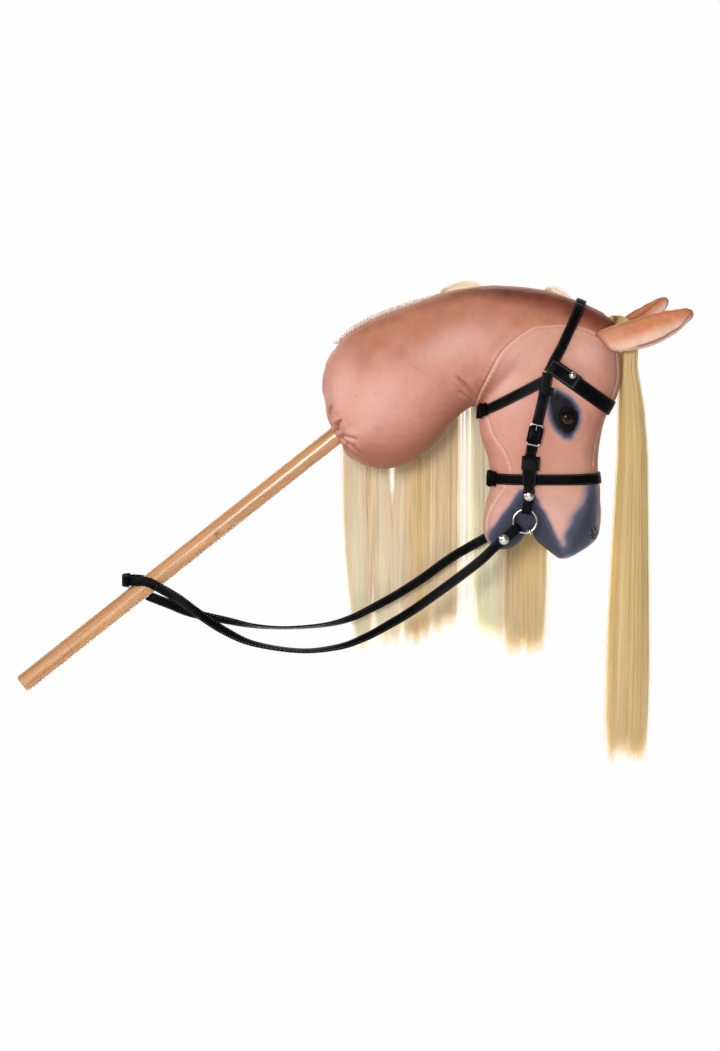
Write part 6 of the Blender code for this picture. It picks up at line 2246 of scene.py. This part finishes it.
def paint_hair(add):
    """Combed modacrylic fibre: straight cream strands with golden ones between them. A strand is
    drawn 0.5 mm wide, as wide as a small group of the 0.07 mm fibres, so that it shows."""
    colours = bpy.context.scene.horse_colours
    gold, cream = colours.hair_deep, colours.hair
    stops = ((0.0, shaded(gold, 0.90)), (0.30, gold), (0.80, cream), (1.0, shaded(cream, 1.08)))
    tone = add("Attribute", {"attribute_name": "strand_tone"}, out="Fac")
    colour = add("ValToRGB", {"stops": stops}, {"Fac": tone})
    place = add("TexCoord", out="Object")
    combed = add("Mapping", {"Scale": (1.0, 1.0, 0.15)}, {"Vector": place})
    uneven = add("TexNoise", {"Scale": 1000 / 18.0}, {"Vector": combed})
    share = add("MapRange", {"To Min": 0.92, "To Max": 1.08}, {"Value": uneven})
    toned = add("VectorMath", {"operation": "SCALE"}, {"Vector": colour, "Scale": share})
    settings = {"Roughness": 0.42, "IOR": 1.5, "Specular IOR Level": 0.4}
    fibre = add("BsdfPrincipled", settings, {"Base Color": toned})
    through = add("BsdfTranslucent", links={"Color": toned})
    return add("MixShader", {0: 0.50}, {1: fibre, 2: through})


def paint_weft(add):
    """Woven polyester tape under rows of stitching, dyed peach like the coat that it is sewn to."""
    peach = bpy.context.scene.horse_colours.cheek
    settings = {"Scale": 1000 / 3.0, "Distortion": 1.0}
    weave = add("TexWave", settings, {"Vector": add("TexCoord", out="Object")}, out="Fac")
    stops = ((0.2, shaded(peach, 0.85)), (0.8, peach))
    colour = add("ValToRGB", {"stops": stops}, {"Fac": weave})
    relief = add("Bump", {"Strength": 0.5, "Distance": 0.0003}, {"Height": weave})
    return add("BsdfPrincipled", {"Roughness": 0.8}, {"Base Color": colour, "Normal": relief})


def paint_root_fibre(add):
    """The mane fibre's short roots where the coat's dye took on them: peach, matt."""
    tone = add("Attribute", {"attribute_name": "strand_tone"}, out="Fac")
    stops = ((0.0, linear("#CFA48F")), (0.6, linear("#E6CDBB")), (1.0, linear("#F6EFE2")))
    colour = add("ValToRGB", {"stops": stops}, {"Fac": tone})
    return add("BsdfPrincipled", {"Roughness": 0.6}, {"Base Color": colour})


def hair_finish():
    return finish_named("combed_modacrylic_hair", paint_hair)


def strand_mesh(name, paths, flats, widths, tones, finish):
    """One mesh of flat strands. Paths is strands x points x 3, flats the way that each strand's
    flat side runs, widths and tones strands x points."""
    strands, rows = paths.shape[:2]
    half = flats * (widths / 2)[..., None]
    points = np.stack([paths - half, paths + half], 2).reshape(-1, 3)
    first = (np.arange(strands)[:, None] * rows + np.arange(rows - 1)[None, :]).ravel() * 2
    quads = np.stack([first, first + 1, first + 3, first + 2], 1)
    mesh = bpy.data.meshes.new(name)
    mesh.vertices.add(len(points))
    mesh.vertices.foreach_set("co", points.astype(np.float32).ravel())
    mesh.loops.add(quads.size)
    mesh.loops.foreach_set("vertex_index", quads.astype(np.int32).ravel())
    mesh.polygons.add(len(quads))
    mesh.polygons.foreach_set("loop_start", np.arange(len(quads), dtype=np.int32) * 4)
    mesh.update(calc_edges=True)
    mesh.materials.append(finish)
    store_mask(mesh, "strand_tone", np.repeat(tones.ravel(), 2))
    mesh.shade_smooth()
    piece = bpy.data.objects.new(name, mesh)
    bpy.context.scene.collection.objects.link(piece)
    return piece


def strands_from(name, guide, depth_way, count, seed, width, look):
    """Strands that follow a guide surface. The guide gives, for arrays of places across (-0.5 to
    0.5) and along (0 to 1), the point there, and the depth way where the hair's thickness runs.
    Strands gather in clumps and stray towards their tips. The look holds: tone, clumps, spread (m),
    fray (how much of the length the tips differ by), gather (how far clumps draw in) and loose
    (share that strays)."""
    dice = np.random.default_rng(seed)
    across_way = np.array((1.0, 0.0, 0.0))
    t = np.concatenate([np.linspace(0, 0.24, 10), np.linspace(0.31, 1, 9)])
    clumps = look["clumps"]
    across = dice.uniform(-0.5, 0.5, count) + 0.05 * dice.normal(size=count)
    depth = dice.uniform(-0.5, 0.5, count)
    centres = np.sort(dice.uniform(-0.45, 0.45, clumps))
    clump = np.abs(across[:, None] - centres[None, :]).argmin(1)
    pull = np.clip(t, 0, 1)[None, :] ** 1.5 * look["gather"]
    place = across[:, None] * (1 - pull) + centres[clump][:, None] * pull
    short = dice.uniform(0.0, 1.0, clumps)[clump]
    for centre, reach, opens, closes in look.get("gaps", ()):
        wide = np.clip((closes - t) / (closes - opens), 0, 1)[None, :] * np.clip(
            (t - 0.2) / 0.15, 0, 1
        )[None, :]
        from_gap = place - centre
        push = np.clip(reach * wide - np.abs(from_gap) * reach / (reach + 0.22), 0, None)
        place = place + np.where(np.abs(from_gap) < reach + 0.22, np.sign(from_gap) * push, 0.0)
    lean_to, lean_share = look.get("lean", (0.0, 0.0))
    place = place + (lean_to - place) * lean_share * (
        np.clip((t - 0.55) / 0.45, 0, 1) ** 2
    )[None, :]
    tips = 0.30 * short + 0.62 * (1 - dice.uniform(0, 1, count) ** 2.2) + 0.08 * dice.uniform(
        0, 1, count
    )
    along = t[None, :] * (1 - look["fray"] * tips)[:, None]
    path = guide(place, along)
    loose = dice.uniform(0, 1, count) < look["loose"]
    stray = dice.normal(0, look["spread"], (count, 1)) * np.where(loose, 3.0, 1.0)[:, None]
    stray = np.clip(stray, -0.009, 0.009) * (t**0.8)[None, :]
    waves = dice.uniform(0, 2 * pi, (count, 1))
    bend = 0.0006 * np.sin(waves + t[None, :] * dice.uniform(3, 8, (count, 1))) * t[None, :]
    thick = depth_way(place, along)
    path = path + across_way * (stray + bend)[..., None] + thick * depth[:, None, None]
    turn = dice.uniform(-0.9, 0.9, (count, 1, 1))
    side = thick / np.maximum(np.linalg.norm(thick, axis=2, keepdims=True), 1e-9)
    flats = across_way * np.cos(turn) + side * np.sin(turn)
    taper = np.clip((1.02 - t) / 0.16, 0.20, 1.0)[None, :] * np.ones((count, 1))
    widths = width * dice.uniform(0.6, 1.3, (count, 1)) * taper
    streaks = look.get("streaks", 0.34) * (dice.uniform(size=clumps)[clump] - 0.5)
    tone = look["tone"] + 0.10 * dice.normal(size=count) + streaks
    tone = tone + np.where(dice.uniform(size=count) < 0.06, 0.35, 0.0)
    tone = tone[:, None] + 0.18 * np.clip((t - 0.6) / 0.4, 0, 1)[None, :] ** 2
    return strand_mesh(name, path, flats, widths, tone, hair_finish())


def table_guide(table):
    """A guide surface through a table of points: places across x places along."""
    wide, long = table.shape[:2]

    def at(place, along):
        u = (place + 0.5) * (wide - 1)
        v = np.clip(along * (long - 1), 0, long - 1.001)
        i, j = np.clip(u.astype(int), 0, wide - 2), v.astype(int)
        f, g = (u - i)[..., None], (v - j)[..., None]
        low = table[i, j] * (1 - g) + table[i, j + 1] * g
        high = table[i + 1, j] * (1 - g) + table[i + 1, j + 1] * g
        return low * (1 - f) + high * f

    return at


def even_rows(points, count):
    """The same line with its points at even steps."""
    points = np.array(points, float)
    steps = np.concatenate([[0], np.cumsum(np.linalg.norm(np.diff(points, axis=0), axis=1))])
    return np.stack(
        [np.interp(np.linspace(0, steps[-1], count), steps, points[:, k]) for k in range(3)], 1
    )


def lock_guide(ground, top_x, middle, width, tip, stand, hang_y):
    """The guide surface of one lock: over the crest, down the far side, then straight down."""
    top, _ = ground.hit(Vector((top_x, 0.0, 0.5)), Vector((0, 0, -1)))
    height = top.z - LOCK_BEND
    table = []
    for share in np.linspace(-0.5, 0.5, 9):
        line = []
        for k in range(16):
            done = k / 15
            a = radians(87 * (1 - done) - 4)
            out = Vector((0, cos(a), sin(a)))
            x = top_x + (middle - top_x) * done + width * 1.04 * share
            hub = Vector((x, 0.0, height))
            hit, _ = ground.hit(hub + out * 0.2, -out)
            reach = (hit - hub).dot(out) if hit is not None else 0.06
            rise = 0.0006 + (stand - 0.001) * sin(pi * min(1.0, 0.15 + done)) ** 2
            line.append(hub + out * (reach + rise + 0.0045 * min(1.0, done * 2.2)))
        start_y = line[-1].y
        for k in range(1, 9):
            done = k / 8
            z = height - 0.004 + (tip - height) * done
            line.append(
                Vector(
                    (
                        middle + width * share * (1.04 - 0.05 * done**2),
                        start_y + (hang_y - start_y) * min(1.0, done * 1.6),
                        z,
                    )
                )
            )
        fine = smooth_through(line, 90)
        table.append(even_rows(fine, 60))
    return np.array(table)


def depth_of_lock(thin, thick):
    """How deep the strands of a lock lie over its guide, thin at the root and thick below."""

    def way(_, along):
        swell = thin + (thick - thin) * np.clip(along * 3.2, 0, 1)
        angle = np.clip(1 - along * 4.6, 0, 1) * pi / 2
        return np.stack([np.zeros_like(along), np.cos(angle) * swell, np.sin(angle) * swell], 2)

    return way


def swept_guide(table, lead):
    """The guide surface of hair that rises from the crest in a low arch and then joins a lock. Its
    places across run from the lowest arch to the highest."""
    start, peak, over = lead
    rows = []
    for share in np.linspace(0, 1, 7):
        meet = table[round(1 + 5 * share)]
        low = start[0] + (over[0] - start[0]) * 0.45 * (1 - share)
        lift = 0.15 + 0.85 * share
        line = [(low, -0.005 + 0.004 * share, start[1] - 0.001)]
        for k in range(1, 6):
            done = k / 6
            x = low + (over[0] - 0.006 * share - low) * done
            z = start[1] + (over[1] - start[1]) * done + (
                peak - start[1]
            ) * lift * sin(pi * done) ** 0.8
            line.append((x, -0.004 + 0.012 * done, z))
        line.append((over[0] - 0.006 * share, 0.014, over[1] + 0.001))
        rows.append(even_rows(smooth_through(line + [tuple(p) for p in meet[9::7]], 120), 60))
    return np.array(rows)


class HORSE_OT_mane(bpy.types.Operator):
    """Comb the mane: the stitched weft with its short root hair, six locks and the hair swept
    over"""

    bl_idname = "horse.mane"
    bl_label = "Mane"

    def execute(self, context):
        sizes = context.scene.horse_sizes
        ground = Ground(
            [NODES["neck_body"], NODES["head_body"], NODES["lower_jaw"], NODES["headpiece"]]
        )
        count = sizes.lock_strands // (QUICK_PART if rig.quick() else 1)
        strand = sizes.strand_width * (QUICK_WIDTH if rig.quick() else 1.0)
        for number, (row, tone) in enumerate(zip(MANE_LOCKS, MANE_TONES), 1):
            node = f"mane_lock_{number}"
            hang_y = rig.box(node)[1].y - LOCK_THICKNESS / 2
            table = lock_guide(ground, *row[:3], row[3] - TIP_LENGTH, row[4], hang_y)
            look = {**LOCK_LOOK, "tone": tone, **LOCK_LOOKS.get(number, {})}
            depth = depth_of_lock(0.003, LOCK_THICKNESS)
            share = round(count * row[2] / WHOLE_LOCK_WIDTH)
            lock = strands_from(
                node + "_strands", table_guide(table), depth, share, 100 + number, strand, look
            )
            put_on(lock, node, node, slot="hair")
            for first, last, few in LOCK_STRAYS.get(number, ()):
                guide = table_guide(table)

                def shifted(
                    place, along, guide=guide, middle=(first + last) / 2, reach=last - first
                ):
                    return guide(middle + place * reach, along)

                stray = strands_from(
                    f"{node}_strays_{round(abs(first) * 100)}",
                    shifted,
                    depth,
                    few,
                    400 + number,
                    strand * 1.3,
                    STRAY_LOOK,
                )
                put_on(stray, node, slot="hair")
            for tuft_lock, lead in TUFTS:
                if tuft_lock != number:
                    continue
                guide = table_guide(swept_guide(table, lead))
                tuft = strands_from(
                    node + "_swept_hair", guide, depth_of_lock(0.004, 0.006), count // 50,
                    200 + number, strand, TUFT_LOOK
                )
                put_on(tuft, node, slot="hair")
        self.weft()
        return {"FINISHED"}

    def weft(self):
        """The tape on the crest, and the short hair that its stitching stands up from it."""
        finish = finish_named("woven_polyester_tape", paint_weft)
        rays = [
            (Vector((WEFT_FROM + (WEFT_TO - WEFT_FROM) * k / 120, 0.0, 0.5)), Vector((0, 0, -1)))
            for k in range(121)
        ]
        skin = Ground([NODES["neck_body"], NODES["head_body"]])
        frames = [(p - n * 0.0026, n, s) for p, n, s in lay_frames(skin, skin, rays, 0.008)]
        tape = strap_body(
            "mane_weft_tape", frames, 0.006, 0.0034, [finish, thread()], stitched=False
        )
        put_on(tape, "horse", "mane_weft", slot="hair")
        dice = np.random.default_rng(7)
        count = ROOT_HAIRS
        x = WEFT_FROM - 0.004 + (0.240 - WEFT_FROM) * dice.uniform(0, 1, count)
        x[: count // 12] = dice.uniform(0.240, 0.270, count // 12)
        x = np.round(x / ROOT_STITCH) * ROOT_STITCH + dice.normal(0, 0.00045, count)
        z = np.interp(x, [f[0].x for f in frames], [f[0].z for f in frames])
        y = dice.uniform(-0.0055, 0.0035, count)
        out_x = np.interp(x, [f[0].x for f in frames], [f[1].x for f in frames])
        out_z = np.interp(x, [f[0].x for f in frames], [f[1].z for f in frames])
        length = dice.uniform(0.0050, 0.0095, count) * np.interp(
            x, (0.09, 0.12, 0.21, 0.26), (0.7, 1.0, 0.9, 0.45)
        )
        paths = []
        for done in np.linspace(0, 1, 5):
            lean = dice.normal(0, 0.0003, count)
            px = x + out_x * length * done + 0.0012 * done**2 + lean
            pz = z + out_z * length * done
            paths.append(np.stack([px, y + 0.003 * done**2, pz], 1))
        paths = np.stack(paths, 1)
        flats = np.zeros_like(paths)
        turn = dice.uniform(-0.7, 0.7, (count, 1))
        flats[..., 0], flats[..., 1] = np.cos(turn), np.sin(turn)
        widths = np.ones((count, 5)) * 0.0007 * np.linspace(1, 0.45, 5)[None, :]
        finish = finish_named("peach_root_fibre", paint_root_fibre)
        roots = strand_mesh(
            "mane_root_hair",
            paths,
            flats,
            widths,
            dice.uniform(0.0, 1.0, (count, 1)) * np.ones(5),
            finish,
        )
        put_on(roots, "horse", slot="hair")


class HORSE_OT_forelock(bpy.types.Operator):
    """Comb the long forelock from between the ears"""

    bl_idname = "horse.forelock"
    bl_label = "Forelock"

    def execute(self, context):
        sizes = context.scene.horse_sizes
        rows = smooth_through(FORELOCK_SECTIONS, 60)
        table = []
        for share in np.linspace(-0.5, 0.5, 9):
            line = []
            for i, (x, z, size_x, _) in enumerate(rows):
                run = rows[min(i + 1, 59)][:2] - rows[max(i - 1, 0)][:2]
                run = run / np.linalg.norm(run)
                line.append((x - run[1] * size_x * share, 0.0, z + run[0] * size_x * share))
            table.append(line)
        table = np.array(table)
        guide = table_guide(table)
        sizes_y = rows[:, 3]

        def depth(place, along):
            at = np.clip(along * 59, 0, 59)
            size = np.interp(at.ravel(), np.arange(60), sizes_y).reshape(along.shape)
            size = size * np.sqrt(np.clip(1 - (2 * place) ** 2 * 0.85, 0.05, 1))
            return np.stack([np.zeros_like(along), size, np.zeros_like(along)], 2)

        count = round(sizes.lock_strands * FORELOCK_SHARE) // (QUICK_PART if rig.quick() else 1)
        strand = sizes.strand_width * (QUICK_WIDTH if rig.quick() else 1.0)
        hair = strands_from("forelock_strands", guide, depth, count, 301, strand, FORELOCK_LOOK)
        put_on(hair, "forelock", "forelock", slot="hair")
        return {"FINISHED"}


def paint_wood(add):
    """Turned beech, sanded and lacquered: straight grain with short dark rays along it, one small
    knot, and a clear coat that draws a long light along the top. The 0.6 mm rays are drawn at 2
    mm."""
    beech = bpy.context.scene.horse_colours.wood
    turn = {"Rotation": (0.0, STICK_SLOPE, 0.0)}
    along = add("Mapping", turn, {"Vector": add("TexCoord", out="Object")})
    grain, rays, bands = (
        add(
            "TexNoise",
            {"Scale": 1000 / size, "Detail": detail, "Roughness": rough},
            {"Vector": add("Mapping", {"Scale": (stretch, 1.0, 1.0)}, {"Vector": along})},
        )
        for size, detail, rough, stretch in (
            (6.0, 2.5, 0.55, 0.05),
            (2.0, 1.0, 0.5, 0.06),
            (30.0, 3.0, 0.5, 0.10),
        )
    )
    colour, rayed, banded = (
        add("ValToRGB", {"stops": stops}, {"Fac": source})
        for source, stops in (
            (grain, ((0.30, shaded(beech, 0.72)), (0.50, beech), (0.72, shaded(beech, 1.14)))),
            (rays, ((0.56, NOWHERE), (0.72, (0.45, 0.45, 0.45)))),
            (bands, ((0.45, NOWHERE), (0.75, (0.35, 0.35, 0.35)))),
        )
    )
    turned_to = radians(KNOT_TURN_DEG)
    knot = (-KNOT_ALONG, STICK_RADIUS * cos(turned_to), -STICK_RADIUS * sin(turned_to))
    from_knot = add("Mapping", {"Location": knot, "Scale": (0.55, 1.0, 1.0)}, {"Vector": along})
    away = add("VectorMath", {"operation": "LENGTH"}, {0: from_knot}, out="Value")
    reach = {"From Min": 0.0015, "From Max": 0.0045, "To Min": 0.8, "To Max": 0.0}
    knotted = add("MapRange", reach, {"Value": away})
    colour = laid_over(
        add,
        colour,
        (rayed, 1.0, shaded(beech, 0.55)),
        (banded, 1.0, shaded(beech, 0.80)),
        (knotted, 1.0, linear("#8A5430")),
    )
    settings = {"Roughness": 0.42, "IOR": 1.5, "Coat Weight": 0.55, "Coat Roughness": 0.16}
    return add("BsdfPrincipled", settings, {"Base Color": colour})


def paint_cord(add):
    """Twisted cotton cord: soft, undyed, with the lie of its plies."""
    settings = {"Scale": 1000 / 2.5, "Distortion": 0.6}
    plies = add("TexWave", settings, {"Vector": add("TexCoord", out="Object")}, out="Fac")
    stops = ((0.2, linear("#A79B86")), (0.8, linear("#CFC5B0")))
    colour = add("ValToRGB", {"stops": stops}, {"Fac": plies})
    relief = add("Bump", {"Strength": 0.5, "Distance": 0.0004}, {"Height": plies})
    return add("BsdfPrincipled", {"Roughness": 0.9}, {"Base Color": colour, "Normal": relief})


class HORSE_OT_stick(bpy.types.Operator):
    """Finish the stick's wood, and the cord that ties the neck to it"""

    bl_idname = "horse.stick"
    bl_label = "Stick"

    def execute(self, context):
        wood = finish_named("lacquered_beech", paint_wood)
        cord = finish_named("twisted_cotton_cord", paint_cord)
        for node, finish in (
            ("stick_shaft", wood),
            ("stick_foot_section", wood),
            ("stick_tenon", wood),
            ("stick_cross_pin", wood),
            ("neck_tie", cord),
        ):
            NODES[node].data.materials.clear()
            NODES[node].data.materials.append(finish)
        return {"FINISHED"}


class HORSE_PT_panel(bpy.types.Panel):
    """The hobby horse's pieces in the 3D view's sidebar"""

    bl_label = "Hobby Horse"
    bl_idname = "HORSE_PT_panel"
    bl_space_type = "VIEW_3D"
    bl_region_type = "UI"
    bl_category = "Hobby Horse"

    def draw(self, context):
        for group in (context.scene.horse_sizes, context.scene.horse_colours):
            column = self.layout.column(align=True)
            for name in group.__annotations__:
                column.prop(group, name)
        for operator in OPERATORS:
            self.layout.operator(operator.bl_idname, text=operator.bl_label)


OPERATORS = (
    HORSE_OT_stage,
    HORSE_OT_reins,
    HORSE_OT_stick,
    HORSE_OT_body,
    HORSE_OT_ears,
    HORSE_OT_eyes,
    HORSE_OT_bridle,
    HORSE_OT_metal,
    HORSE_OT_mane,
    HORSE_OT_forelock,
)
CLASSES = (HorseSizes, HorseColours, *OPERATORS, HORSE_PT_panel)


def register():
    for cls in CLASSES:
        bpy.utils.register_class(cls)
    bpy.types.Scene.horse_sizes = PointerProperty(type=HorseSizes)
    bpy.types.Scene.horse_colours = PointerProperty(type=HorseColours)


def unregister():
    del bpy.types.Scene.horse_colours
    del bpy.types.Scene.horse_sizes
    for cls in reversed(CLASSES):
        bpy.utils.unregister_class(cls)


def main():
    register()
    for operator in OPERATORS:
        group, name = operator.bl_idname.split(".")
        getattr(getattr(bpy.ops, group), name)()
    sizes = {"cad": [list(corner) for corner in CAD_BOX], "visual": [list(corner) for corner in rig.bounds()]}
    with open("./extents.json", "w") as out:
        json.dump(sizes, out)


if __name__ == "__main__":
    main()
